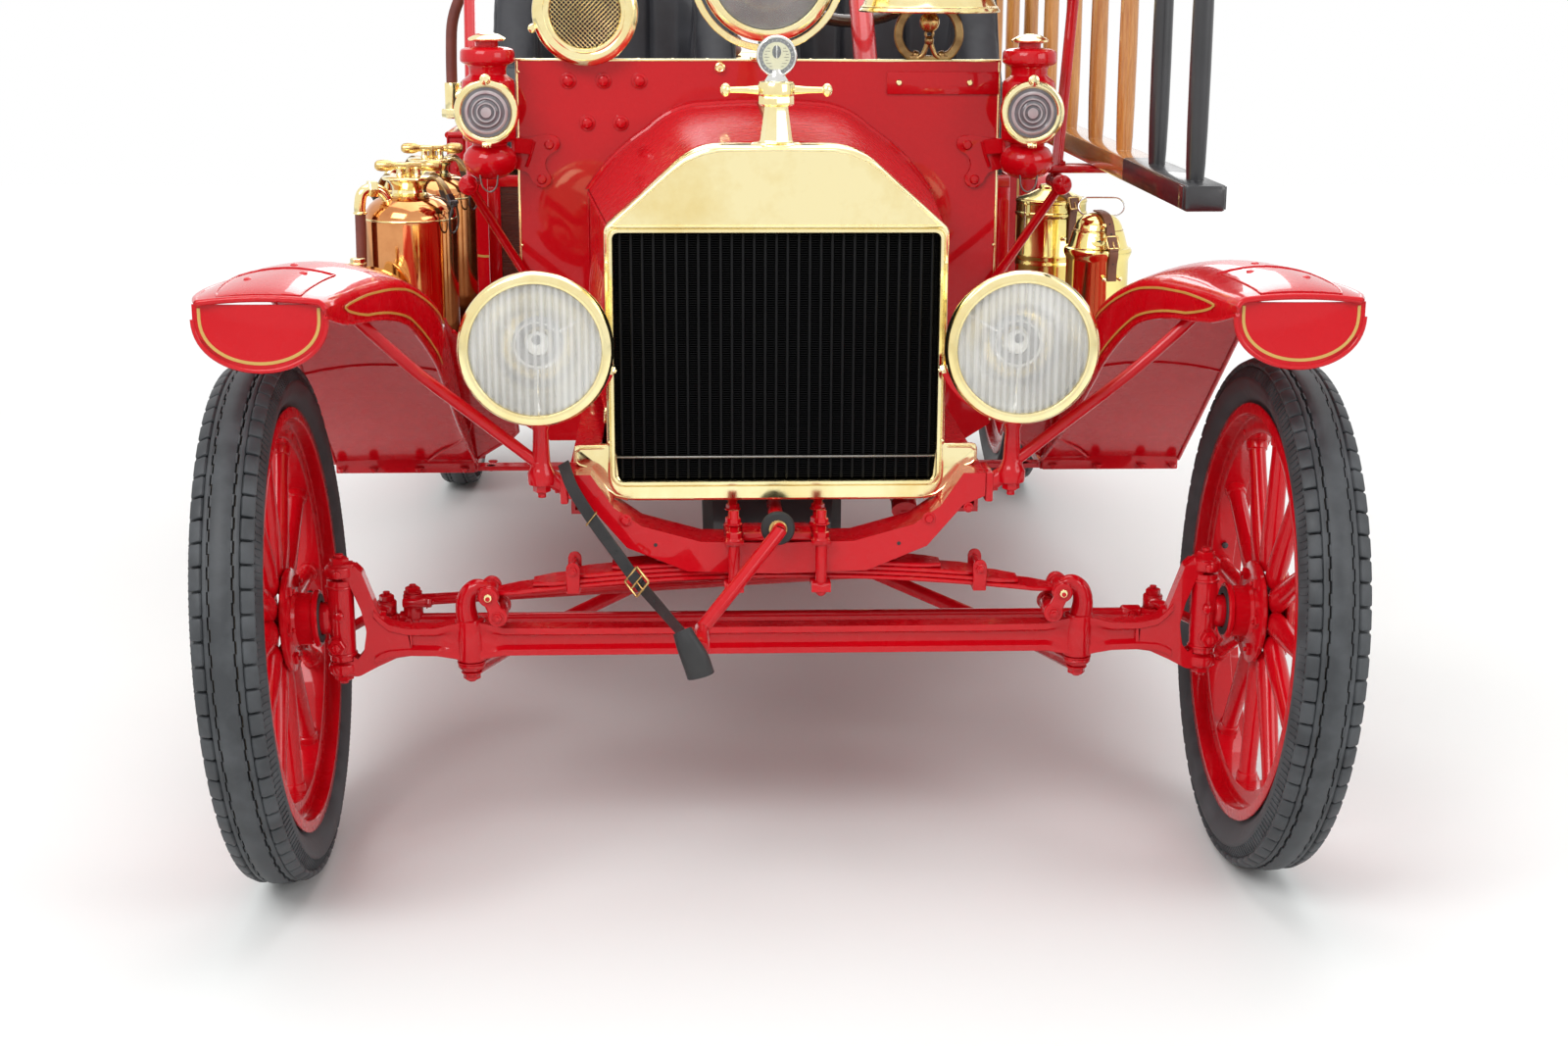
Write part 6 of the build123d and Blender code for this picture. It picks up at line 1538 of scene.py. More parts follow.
def make_front_axle():
    """The forged beam with its yokes, king pins and shackle horns."""
    axle = Piece().use(RED)
    beam = [(0, 328, 369, 6), (300, 328, 369, 6), (400, 328, 370, 7), (424, 324, 376, 13), (449, 318, 381, 15.5),
            (474, 324, 376, 13), (498, 328, 370, 7), (540, 329, 370, 6), (566, 327, 376, 7), (580, 322, 388, 9),
            (588, 316, 398, 11)]
    axle.skin([beam_section(-x, low, high, web) for x, low, high, web in reversed(beam)]
              + [beam_section(x, low, high, web) for x, low, high, web in beam[1:]])
    for side in (1, -1):
        arms = rounded_loop([(side * x, z) for x, z in ((534, 371), (560, 373), (578, 384), (603, 455), (615, 467),
                                                        (655, 466), (655, 445), (624, 444), (606, 398), (599, 366),
                                                        (604, 334), (616, 320), (655, 319), (655, 298), (612, 297),
                                                        (584, 312), (556, 325), (534, 328))],
                            [2, 30, 30, 12, 8, 6, 6, 10, 30, 26, 18, 10, 6, 6, 16, 24, 16, 2], 4)
        axle.slab([(p.x, p.y) for p in arms], (0, FRONT_AXLE_Y, 0), FORE, 25, edge=6.5, segments=3)
        pin = (side * KINGPIN_X, FRONT_AXLE_Y)
        axle.drum((*pin, 455), UP, 21, 15.6, 3)
        axle.drum((*pin, 308), UP, 21, 15.6, 3)
        axle.nut((*pin, 463), UP, 24, 12, 6, 5)
        axle.nut((*pin, 300), DOWN, 24, 11, 6, 5)
        axle.drum((side * PERCH_X, FRONT_AXLE_Y, 349), UP, 22, 64, 4)
        horn = curve_points(points_at(FRONT_AXLE_Y, [(449, 0, 366), (455, 0, 396), (451, 0, 418), (437, 0, 429),
                                                     (419, 0, 424)], side), 6)
        axle.tube(horn, [17.0 - 7.0 * k / (len(horn) - 1) for k in range(len(horn))], 20)
        for y in (-20, 20):
            axle.drum((side * 419, FRONT_AXLE_Y + y * 1.3, 422), AFT, 15.5, 8, 2.5)
        axle.use(BRASS).drum((side * 419, FRONT_AXLE_Y - 41, 423), AFT, 6, 4, 1.2, 20).use(RED)
        axle.drum((side * 406, FRONT_AXLE_Y, 392), AFT, 13.2, 55, 3)
        axle.nut((side * PERCH_X, FRONT_AXLE_Y, 316), DOWN, 30, 14, 6, 6)
        axle.lathe([(0, 0), (4, 0), (4, 3), (6, 4), (6, 9), (3, 11), (0, 11)],
                   (side * KINGPIN_X, FRONT_AXLE_Y - 20, 455), FORE, 14)
        axle.use(RED)
    axle.done("front_axle_forged", slot="red_paint", stands_for=["front_axle"], crease=36)


def leaves(springs, y, centre_z, end_x, end_z, halves, y_half=28):
    """Arched leaves with rounded edges and tapered ends."""
    bend = centre_z - end_z
    for number, reach in enumerate(halves):
        low = centre_z + number * 7.0
        rings = []
        for k in range(25):
            x = -reach + 2 * reach * k / 24
            z = low - bend * (abs(x) / end_x) ** 2
            near = 1.0 if abs(x) < reach - 26 else 0.62 + 0.38 * (reach - abs(x)) / 26
            h = y_half * near
            rings.append([(x, y - h + 1.6, z + 0.3), (x, y + h - 1.6, z + 0.3), (x, y + h, z + 1.8),
                          (x, y + h, z + 4.9), (x, y + h - 1.6, z + 6.5), (x, y - h + 1.6, z + 6.5),
                          (x, y - h, z + 4.9), (x, y - h, z + 1.8)])
        springs.skin(rings)


def make_springs():
    """Both cross springs with their clips, shackles and pins."""
    springs = Piece().use(RED)
    leaves(springs, FRONT_AXLE_Y, 446, 410, 419, (410, 355, 300, 240, 175, 110))
    leaves(springs, REAR_AXLE_Y, 504, 560, 454, (560, 480, 400, 320, 240, 160))
    for y, xs, z, tall in ((FRONT_AXLE_Y, (296,), 441, 26), (REAR_AXLE_Y, (330, 450), 489, 40)):
        for x in xs:
            for side in (1, -1):
                stadium = [(10 * math.cos(math.pi * k / 10), z + tall - 4 + 10 * math.sin(math.pi * k / 10))
                           for k in range(11)] + [(-10, z - 12), (10, z - 12)]
                for face in (-1, 1):
                    springs.slab([(p, q) for p, q in stadium], (side * x, y + face * 31.5, 0), FORE, 6, edge=2.0)
                springs.rod((side * x, y - 34, z + tall - 6), (side * x, y + 34, z + tall - 6), 4.4)
                springs.nut((side * x, y - 34, z + tall - 6), FORE, 12, 7)
                springs.block((side * x - 10, y - 34, z - 15), (side * x + 10, y + 34, z - 10), 2)
    for side in (1, -1):
        springs.drum((side * 419, FRONT_AXLE_Y, 422), AFT, 12.4, 55, 3)
        for face in (-1, 1):
            for x, z in (SHACKLE_LOW, SHACKLE_TOP):
                springs.drum((side * x, FRONT_AXLE_Y + face * 32.4, z), AFT, 14.6, 7.6, 2.6)
                if face < 0:
                    springs.nut((side * x, FRONT_AXLE_Y - 36, z), FORE, 13, 6, 6, 3)
            low, top = [Vector((side * x, FRONT_AXLE_Y + face * 32.4, z)) for x, z in (SHACKLE_LOW, SHACKLE_TOP)]
            springs.tube([low, (low + top) / 2, top], 0, flat=(20, 7), up=AFT)
        x = side * 572
        springs.drum((x, REAR_AXLE_Y, 458), AFT, 12.4, 55, 3)
        springs.drum((x, REAR_AXLE_Y, 431), AFT, 14, 55, 3)
        for face in (-1, 1):
            springs.tube([(x, REAR_AXLE_Y + face * 32, 426), (x, REAR_AXLE_Y + face * 32, 445),
                          (x, REAR_AXLE_Y + face * 32, 464)], 0, flat=(24, 7), up=AFT)
            for z in (431, 458):
                springs.nut((x, REAR_AXLE_Y + face * 35.5, z), (0, face, 0), 13, 6)
    springs.done("leaf_springs", slot="red_paint", stands_for=["springs"])


def make_spring_clamps():
    """The crossmember, and the clamps that hold the front spring to it."""
    dressed("front_crossmember", RED)
    fittings = Piece().use(RED)
    for side in (1, -1):
        for x, z, r in ((276, 553, 5), (219, 537, 6.4)):
            fittings.drum((side * x, FRONT_AXLE_Y - 38.6, z), AFT, r * 1.5, 1.6, 0.6, 24)
            fittings.lathe([(r, 0), (r, 3), (r * 0.8, 5), (0, 5.6)], (side * x, FRONT_AXLE_Y - 38.6, z), FORE, 20)
        fittings.use(BOOT_RUBBER).drum((side * 176, FRONT_AXLE_Y - 38.1, 500), AFT, 2.8, 0.6, 0.2, 14).use(RED)
        for y in (-45, 45):
            at = (side * 63, FRONT_AXLE_Y + y)
            fittings.nut((*at, 508), UP, 19, 13, 6, 0)
            fittings.rod((*at, 520), (*at, 551), 6.6, 2)
            fittings.nut((*at, 532), UP, 17, 9, 6, 0)
            fittings.rod((*at, 432), (*at, 512), 8.4, 3)
            fittings.ball((*at, 434), 9.4, 16, 1.1)
        fittings.nut((side * 30, FRONT_AXLE_Y - 20, 505), UP, 14, 9, 4, 5)
    fittings.block((-50, FRONT_AXLE_Y - 34, 503), (50, FRONT_AXLE_Y + 30, 516), 4)
    fittings.done("spring_clamps", slot="red_paint")


def make_steering_links():
    """Knuckles, tie rod and pitman arm in their own forms, with nuts, oilers and rod ends."""
    for node in ("knuckle_left", "knuckle_right"):
        dressed(node, RED)
    dressed("tie_rod", RED)
    dressed("pitman_arm", RED)
    for side, name in SIDES.items():
        bits = Piece().use(RED)
        tip = (side * ROD_X, ROD_Y)
        bits.nut((*tip, 370), UP, 20, 11, 6, 5)
        bits.lathe([(0, 0), (5, 0), (5, 4), (7, 5), (7, 11), (4, 13), (0, 13)],
                   (side * KINGPIN_X, FRONT_AXLE_Y - 17, 392), FORE, 14)
        bits.hoop((side * KINGPIN_X, FRONT_AXLE_Y, 330), UP, 19, 2.4, 28, 8)
        bits.hoop((side * KINGPIN_X, FRONT_AXLE_Y, 432), UP, 19, 2.4, 28, 8)
        bits.nut((side * 641, FRONT_AXLE_Y - 17, 346), FORE, 22, 13, 6, 4)
        bits.drum((side * 660, FRONT_AXLE_Y, 383), (side, 0, -0.044), 24, 20, 4)
        bits.done("knuckle_%s_fittings" % name, "knuckle_" + name, "red_paint")
    ends = Piece().use(RED)
    for side in (1, -1):
        at = Vector((side * ROD_X, ROD_Y, 342))
        ends.drum(at, UP, 17.4, 19, 4)
        ends.drum(at + Vector((-side * 34, 0, 0)), LEFT, 12.6, 30, 3)
        ends.nut(at + Vector((-side * 34, -12, 0)), FORE, 12, 8)
        ends.drum(at + Vector((0, -19, 0)), AFT, 11, 6, 2)
    at = Vector((-548, ROD_Y, 364))
    ends.drum(at, UP, 15, 40, 4).nut(at + Vector((0, 0, 20)), UP, 20, 9, 6, 4)
    ends.rod(at + Vector((-14, -16, 8)), at + Vector((22, -16, 8)), 7, 1.5).nut(at + Vector((22, -16, 8)), LEFT, 13, 8)
    ends.done("tie_rod_ends", "tie_rod", "red_paint")


# -------------------------------------------------- crank, its strap and pouch
def make_crank():
    """The starting crank in its bush, hanging to one side."""
    crank = Piece().use(RED)
    crank.rod((0, FRONT_AXLE_Y - 52, 527), (0, FRONT_AXLE_Y + 150, 527), 11, 2)
    crank.tube(curve_points(points_at(FRONT_AXLE_Y, [(2, -50, 529), (0, -62, 525), (-8, -70, 515), (-112, -144, 404)]),
                            7), 10.2, 20)
    crank.ball((-112, FRONT_AXLE_Y - 142, 402), 11.4, 18)
    crank.rod((-112, FRONT_AXLE_Y - 142, 402), (-113, FRONT_AXLE_Y - 232, 402), 12.6, 3)
    crank.use(BOOT_RUBBER).lathe([(13, 0), (22, 0), (24.5, 3), (24.5, 9), (22, 12), (22, 17), (19, 20), (19, 26),
                                  (15, 30), (13, 30)], (0, FRONT_AXLE_Y - 56, 527), AFT, 40, whole=True)
    crank.use(DARK_BRASS).drum((0, FRONT_AXLE_Y - 56.6, 527), AFT, 13.4, 3, 1)
    crank.done("starting_crank", slot="red_paint", stands_for=["crank"])


def make_crank_strap():
    """The leather strap that holds the crank up, its buckle and the stitched pouch on the handle."""
    strap = Piece().use(STRAP_LEATHER)
    strap_line = curve_points(points_at(FRONT_AXLE_Y, [(-306, -40, 622), (-292, -62, 590), (-262, -80, 545),
                                                       (-232, -92, 505), (-202, -103, 465), (-168, -158, 440),
                                                       (-136, -234, 424)]), 8)
    strap.tube(strap_line, 0, flat=(18.5, 3.0), up=(0.25, 1.0, 0.1))
    tongue = [p + Vector((0.5, -3.2, 0.4)) for p in strap_line[14:34]]
    strap.tube(tongue, 0, flat=(17.6, 2.6), up=(0.25, 1.0, 0.1))
    pouch = curve_points(points_at(FRONT_AXLE_Y, [(-138, -239, 432), (-130, -246, 414), (-120, -249, 393),
                                                  (-113, -248, 371)]), 5)
    half = [(1.0, 0.2), (0.86, 0.62), (0.5, 0.94), (0, 1.0), (-0.5, 0.94), (-0.86, 0.62), (-1.0, 0.2), (-1.0, -0.2),
            (-0.86, -0.62), (-0.5, -0.94), (0, -1.0), (0.5, -0.94), (0.86, -0.62), (1.0, -0.2)]
    rings = []
    for k, p in enumerate(pouch):
        s = k / (len(pouch) - 1)
        wide, deep = 13.5 + 5.5 * min(1.0, s * 1.6), 8 + 3 * s
        ahead = (pouch[min(k + 1, len(pouch) - 1)] - pouch[max(0, k - 1)]).normalized()
        across = Vector((0.85, -0.1, 0.45)).normalized()
        across = (across - ahead * across.dot(ahead)).normalized()
        over = across.cross(ahead)
        rings.append([p + across * a * wide + over * b * deep for a, b in half])
    strap.skin(rings)
    strap.use(WEBBING)
    for k in range(0, len(pouch) - 1):
        for s in (-1, 1):
            ring = rings[k]
            spot = ring[3].lerp(ring[1] if s > 0 else ring[5], 0.8)
            nxt = rings[k + 1][3].lerp(rings[k + 1][1] if s > 0 else rings[k + 1][5], 0.8)
            out = (spot - pouch[k]).normalized()
            strap.rod(spot + out * -0.4, spot.lerp(nxt, 0.55) + out * -0.4, 0.8, 0.3, 6)
    strap.use(BOOT_RUBBER)
    for k in (20, 24, 28, 38, 42):
        p = strap_line[k]
        strap.drum(p + Vector((0.3, -5.2 if k < 34 else -1.9, 0.3)), (0.25, 1.0, 0.1), 2.6, 0.8, 0.2, 14)
    strap.use(DARK_BRASS)
    at = strap_line[32]
    along = (strap_line[33] - strap_line[31]).normalized()
    across = along.cross(Vector((0.25, 1.0, 0.1))).normalized()
    frame_points = [at + across * a * 15 + along * b * 15 + Vector((0, -5.4, 0))
                    for a, b in ((1, 1), (1, -1), (-1, -1), (-1, 1))]
    for a, b in zip(frame_points, frame_points[1:] + frame_points[:1]):
        strap.rod(a, b, 1.9, 0.6, 10)
    strap.rod(at + across * 14 + Vector((0, -5.6, 0)), at - across * 14 + Vector((0, -5.6, 0)), 1.5, 0.4, 10)
    strap.rod(at + Vector((0, -6, 0)), at + along * 14 + Vector((0, -7, 0)), 1.3, 0.4, 10)
    at = strap_line[15]
    strap.tube([at + across * 13 + Vector((0, 2, 0)), at + across * 13 + Vector((0, -6, 0)),
                at - across * 13 + Vector((0, -6, 0)), at - across * 13 + Vector((0, 2, 0))], 1.0, 8, closed=True)
    strap.done("crank_strap")


# ------------------------------------------------------ siren, lamp and bell
# the masts' line, the top they stand on, and each one's x
MAST_Y, MAST_FOOT = DASH_Y + 10, 1150.2
SIREN_X, LIGHT_X, BELL_X = -299.0, 14, 296


def make_siren():
    """The siren's bowl behind its mesh, on its post."""
    siren = Piece().use(BRASS)
    sx, sy, sz = SIREN_X, DASH_Y - 36, 1232.0
    mesh_reach, mesh_step, wire = 60, 5.6, 0.64
    siren.lathe([(0, 34), (58, 30), (60.5, 3), (62.4, 0.6), (65, 0), (70, 1.4), (72.6, 0.4), (80, -0.6), (86, 1.6),
                 (90, 5.6), (91, 10), (90, 15), (86, 18.4), (80, 22), (74, 34), (69, 50), (64, 62), (62, 72), (62, 108),
                 (59, 114), (52, 118), (30, 124), (12, 126), (0, 126)], (sx, sy, sz), AFT, 80)
    siren.use(CORE).drum((sx, sy + 14, sz), AFT, 60, 2, 0.5, 48)
    for step in range(-11, 12):
        reach = math.sqrt(max(0.0, mesh_reach ** 2 - (step * mesh_step) ** 2))
        if reach < 8:
            continue
        for lean in (1, -1):
            d = Vector((1, 0, lean)).normalized()
            n = Vector((-lean, 0, 1)).normalized()
            mid = Vector((sx, sy + 4 + 0.5 * lean, sz)) + n * (step * mesh_step)
            siren.use(BRASS).rod(mid - d * reach, mid + d * reach, wire, 0.1, 6)
    siren.use(BRASS)
    for y, r in ((72, 63.4), (92, 63.4), (108, 62.6)):
        siren.hoop((sx, sy + y, sz), AFT, r - 0.6, 1.6, 56, 8)
    siren.nut((sx, sy + 126, sz), AFT, 18, 10)
    siren.use(RED).rod((sx, DASH_Y + 26, 1158), (sx, DASH_Y + 26, sz - 58), 18, 3, 28)
    siren.drum((sx, DASH_Y + 26, sz - 60), UP, 26, 10, 3)
    siren.block((sx - 38, DASH_Y - 4, MAST_FOOT), (sx + 38, DASH_Y + 50, 1159), 2.5)
    for dx in (-28, 28):
        siren.nut((sx + dx, MAST_Y, 1159), UP, 11, 7)
    siren.use(BRASS).rod((sx - 40, DASH_Y + 60, sz - 16), (sx - 96, DASH_Y + 62, sz - 30), 6, 1.5)
    siren.rod((sx - 96, DASH_Y + 56, sz - 30), (sx - 96, DASH_Y + 96, sz - 30), 8, 2)
    siren.done("siren_spun", slot="brass", stands_for=["siren"], crease=30)


def make_searchlight():
    """The searchlight in its bail, and its glass."""
    light_at = Vector((LIGHT_X, MAST_Y, 1300))
    lamp = Piece().use(BRASS)
    lamp.lathe([(96, 6), (97, 0.8), (101, 0), (108, 0.6), (113, 2.6), (116.4, 7), (117, 12), (117, 22), (115, 26),
                (108, 29), (105, 31), (104, 34), (100, 60), (92, 79), (78, 96), (58, 110), (34, 119), (0, 122),
                (0, 119.6), (34, 116), (74, 95), (98, 58), (102, 32), (96, 14)], light_at + Vector((0, -62, 0)), AFT,
               96, whole=True)
    lamp.use(SMOKED).lathe([(97, 24), (88, 46), (72, 70), (50, 88), (24, 97), (0, 100), (0, 103), (26, 100), (54, 91),
                            (76, 72), (92, 47), (99, 24)], light_at + Vector((0, -62, 0)), AFT, 64, whole=True)
    lamp.use(BULB_GLASS).ball(light_at + Vector((0, -8, 0)), 16, 20)
    lamp.use(BRASS).rod(light_at + Vector((0, 4, 0)), light_at + Vector((0, 40, 0)), 11, 2)
    lamp.tube(arc(light_at, 129, 175, 365, 48), 0, flat=(12, 4.4), up=AFT)
    for side in (1, -1):
        lamp.rod(light_at + Vector((side * 96, 0, 0)), light_at + Vector((side * 134, 0, 0)), 6, 1.5)
        lamp.nut(light_at + Vector((side * 133, 0, 0)), (side, 0, 0), 17, 9, 6, 4)
        lamp.drum(light_at + Vector((side * 103, 0, 0)), LEFT, 13, 6, 2)
    lamp.lathe([(10.1, 8.6), (17, 8.6), (18, 11), (17, 14), (14.6, 15.6), (14.6, 20), (16.4, 22), (16.4, 26), (15, 28),
                (10.1, 28)], (LIGHT_X, MAST_Y, 1150), steps=36, whole=True)
    lamp.hoop(light_at + Vector((0, 61, 0)), AFT, 20, 2, 32, 8)
    lamp.done("searchlight_spun", "searchlight", "brass", ["searchlight"], 30)
    glass = Piece().use(CLEAR_GLASS).lathe([(0, -3), (30, -2.4), (70, 0), (95.6, 3), (95.6, 6), (0, 5)],
                                           light_at + Vector((0, -59, 0)), AFT, 72)
    glass.done("searchlight_glass", "searchlight", "glass", ["searchlight_lens"])


def make_bell():
    """The bell, mouth down."""
    bell_at = Vector((BELL_X, MAST_Y, 1233))
    bell = Piece().use(BRASS)
    bell.lathe([(117, 1.6), (118, 0.4), (120.5, 0), (122.4, 0.8), (123, 2.8), (120.4, 6.6), (115, 13), (110, 25),
                (104, 38), (97, 51), (90, 64), (84, 80), (78.6, 96), (73, 106), (64, 114), (52, 119.6), (34, 121),
                (11, 121), (11, 116.2), (34, 116), (50, 114), (62, 109), (71, 98), (77, 84), (84, 63), (98, 39),
                (104, 26), (111, 10)], bell_at, steps=96, whole=True)
    for z, r in ((9, 119.0), (30, 108.6), (34, 106.6)):
        bell.hoop(bell_at + Vector((0, 0, z)), UP, r - 0.4, 1.5, 72, 8)
    bell.done("bell_cast", slot="brass", stands_for=["bell"], crease=30)


def make_signal_posts():
    """The bell's scrolled post with its clapper, and the searchlight's stub."""
    posts = Piece().use(BRONZE)
    posts.block((BELL_X - 34, DASH_Y + 1, MAST_FOOT), (BELL_X + 34, DASH_Y + 19, 1159), 2.5)
    for dx in (-24, 24):
        posts.nut((BELL_X + dx, MAST_Y, 1159), UP, 9, 6)
    for side in (1, -1):
        posts.tube(curve_points([(BELL_X + side * 18, MAST_Y, 1156), (BELL_X + side * 38, MAST_Y, 1162),
                                 (BELL_X + side * 52, MAST_Y, 1184), (BELL_X + side * 51, MAST_Y, 1210),
                                 (BELL_X + side * 38, MAST_Y, 1232), (BELL_X + side * 14, MAST_Y, 1243),
                                 (BELL_X, MAST_Y, 1245)], 6), 0, flat=(15, 9), up=AFT)
        posts.tube(curve_points([(BELL_X + side * 20, DASH_Y + 4, 1154), (BELL_X + side * 10, DASH_Y + 3, 1162),
                                 (BELL_X + side * 3, DASH_Y + 2, 1180)], 5), 4.6, 12)
        posts.ball((BELL_X + side * 22, DASH_Y + 8, 1160), 7.5, 14)
    posts.lathe([(0, 82), (12, 82), (9, 88), (9, 188), (20, 190), (20, 197), (9, 200), (9, 203.6), (15, 204.6),
                 (15, 222), (10, 226), (0, 226)], (BELL_X, MAST_Y, 1150), steps=24)
    posts.ball((BELL_X, DASH_Y + 1, 1185), 8.4, 16).hoop((BELL_X, DASH_Y + 1, 1196), AFT, 6.5, 2.6, 24, 8)
    posts.use(DARK_BRASS).ball((BELL_X, DASH_Y + 1, 1216), 17.5, 24)
    posts.rod((BELL_X, DASH_Y + 1, 1228), (BELL_X, DASH_Y + 8, 1250), 5, 1)
    posts.use(BRASS).lathe([(0, 0), (30, 0), (31, 2), (30, 6), (16, 8), (12, 12), (0, 12)],
                           (LIGHT_X, MAST_Y, MAST_FOOT), steps=36)
    posts.rod((LIGHT_X, MAST_Y, 1150), (LIGHT_X, MAST_Y, 1173.6), 9.9, 1)
    posts.done("bell_and_lamp_posts", slot="bronze", stands_for=["signal_posts"])


# ------------------------------------------------ steering column and its wheel
RIM_R = 177
COLUMN_WAY = Vector((0, 0.8, 0.6))
COLUMN_AT = Vector((205, DASH_Y, 960))
PITMAN_AT = COLUMN_AT - COLUMN_WAY * 762


def make_steering_column():
    """The column with its collars, levers and gear foot."""
    column = Piece().use(RED)
    column.rod(PITMAN_AT + COLUMN_WAY * 14.4, COLUMN_AT + COLUMN_WAY * 590, 22, 3, 36)
    column.lathe([(22, 538), (32, 540), (34, 543), (34, 596), (31, 600), (22, 600)], COLUMN_AT, COLUMN_WAY,
                 40, whole=True)
    column.use(BRASS).lathe([(21, -6), (36, -6), (38, -3), (36, 1), (30, 3), (26, 18), (21, 20)],
                            COLUMN_AT - COLUMN_WAY * 4, COLUMN_WAY, 40, whole=True)
    column.lathe([(0, 598), (26, 598), (26, 602), (12, 606), (8, 610), (8, 632), (0, 632)], COLUMN_AT, COLUMN_WAY, 32)
    for side in (1, -1):
        lever = COLUMN_AT + COLUMN_WAY * 566
        column.use(BRASS).tube(curve_points([lever, lever + Vector((side * 60, -8, 12)),
                                             lever + Vector((side * 104, -20, 26))], 6), 3.6, 10)
        column.use(DARK_WOOD).ball(lever + Vector((side * 108, -21, 27)), 9, 16)
    foot = PITMAN_AT + COLUMN_WAY * 60
    column.use(RED).block((193, foot.y - 20, foot.z), (259.6, foot.y + 30, foot.z + 26), 4)
    column.block((240, foot.y - 20, foot.z), (259.6, foot.y + 30, 590), 3)
    column.done("steering_column_painted", slot="red_paint", stands_for=["steering_column"])


def make_hand_wheel():
    """The wooden rim on four brass spokes."""
    wheel_at = COLUMN_AT + COLUMN_WAY * 640
    rim = Piece().use(DARK_WOOD)
    rim.hoop(wheel_at, COLUMN_WAY, RIM_R, 12.6, 96, 20)
    dish_x, dish_y = Vector(LEFT), COLUMN_WAY.cross(Vector(LEFT))
    for k in range(4):
        a = math.radians(45 + 90 * k)
        aim = dish_x * math.cos(a) + dish_y * math.sin(a)
        path = curve_points([wheel_at - COLUMN_WAY * 14 + aim * 18, wheel_at - COLUMN_WAY * 12 + aim * 60,
                             wheel_at - COLUMN_WAY * 3 + aim * 130, wheel_at - COLUMN_WAY * 0.5 + aim * (RIM_R - 5)], 6)
        rim.use(BRASS).tube(path, [9.4 - 2.4 * i / (len(path) - 1) for i in range(len(path))], 14)
        rim.screw(wheel_at + aim * (RIM_R - 7) + COLUMN_WAY * 11.4, COLUMN_WAY, 5)
        for j in range(-3, 4):
            b = a + j * 0.055
            out = dish_x * math.cos(b) + dish_y * math.sin(b)
            rim.use(DARK_WOOD).ball(wheel_at + out * (RIM_R + 11) - COLUMN_WAY * 3, 3.4, 8)
    rim.use(BRASS).lathe([(8.2, -24), (22, -24), (27, -20), (30, -12), (30, 4), (26, 10), (18, 14), (0, 15), (0, -5),
                          (8.2, -5)], wheel_at, COLUMN_WAY, 40)
    rim.use(BLACK).drum(wheel_at + COLUMN_WAY * 15, COLUMN_WAY, 12, 4, 1.5)
    rim.done("hand_wheel_turned", "hand_wheel", "dark_wood", ["hand_wheel"])


# ----------------------------------------------------------------- the ladder
LADDER_X, LADDER_FRONT, LADDER_REAR, BLACKED = 620.0, -1341.0, 1773.0, -878.0


def make_ladder():
    """Two stiles with rungs between, black at the front end."""
    ladder = Piece()
    for low, high in ((968.0, 1007.0), (1329.0, 1368.0)):
        def stile_ring(y, shrink=0.0):
            wide, tall, c = 30.5 - shrink, (high - low) / 2 - shrink, 5.0
            mid = (low + high) / 2
            corner = [(wide - c, -tall), (wide - c * 0.3, -tall + c * 0.3), (wide, -tall + c), (wide, tall - c),
                      (wide - c * 0.3, tall - c * 0.3), (wide - c, tall)]
            return [(LADDER_X + x, y, mid + z) for x, z in corner + [(-x, -z) for x, z in corner]]

        ladder.use(BLACK).skin([stile_ring(LADDER_FRONT, 5), stile_ring(LADDER_FRONT + 1.5, 2),
                                stile_ring(LADDER_FRONT + 5), stile_ring(-1100), stile_ring(BLACKED)])
        bare_wood = [stile_ring(BLACKED + 260 * k) for k in range(10)]
        tail = [stile_ring(LADDER_REAR - 5), stile_ring(LADDER_REAR - 1.5, 2), stile_ring(LADDER_REAR, 5)]
        ladder.use(LADDER_WOOD).skin(bare_wood + tail)
        for y0, y1 in ((LADDER_FRONT + 6, LADDER_FRONT + 34), (LADDER_REAR - 36, LADDER_REAR - 8)):
            for x in (LADDER_X - 31.2, LADDER_X + 31.2):
                ladder.use(BLACK).block((x - 0.9, y0, low + 3), (x + 0.9, y1, high - 3), 0.6)
    for n in range(12):
        y = -1269 + 270 * n
        rung, peg = (BLACK, BLACK) if y < BLACKED + 10 else (RUNG_WOOD, DARK_WOOD)
        ladder.use(rung)
        ladder.lathe([(0, 1004), (13.2, 1004), (13.2, 1010), (14.2, 1030), (15.2, 1080), (15.6, 1168), (15.2, 1256),
                      (14.2, 1306), (13.2, 1326), (13.2, 1332), (0, 1332)], (LADDER_X, y, 0), steps=24)
        for z in (968, 1368):
            ladder.use(rung).drum((LADDER_X, y, z), UP, 11.5, 1.6, 0.6, 24)
            ladder.use(peg).block((LADDER_X - 10, y - 0.8, z - 1.2), (LADDER_X + 10, y + 0.8, z + 1.2), 0.2)
        if n % 4 == 1:
            ladder.use(BOLT_STEEL).rod((LADDER_X, y + 24, 969), (LADDER_X, y + 24, 1367), 3.2, 0.5, 12)
            for z, way in ((968, -1), (1368, 1)):
                ladder.nut((LADDER_X, y + 24, z), (0, 0, way), 11, 6, 6, 2)
    ladder.done("ladder_jointed", slot="varnished_wood", stands_for=["ladder"], crease=30)


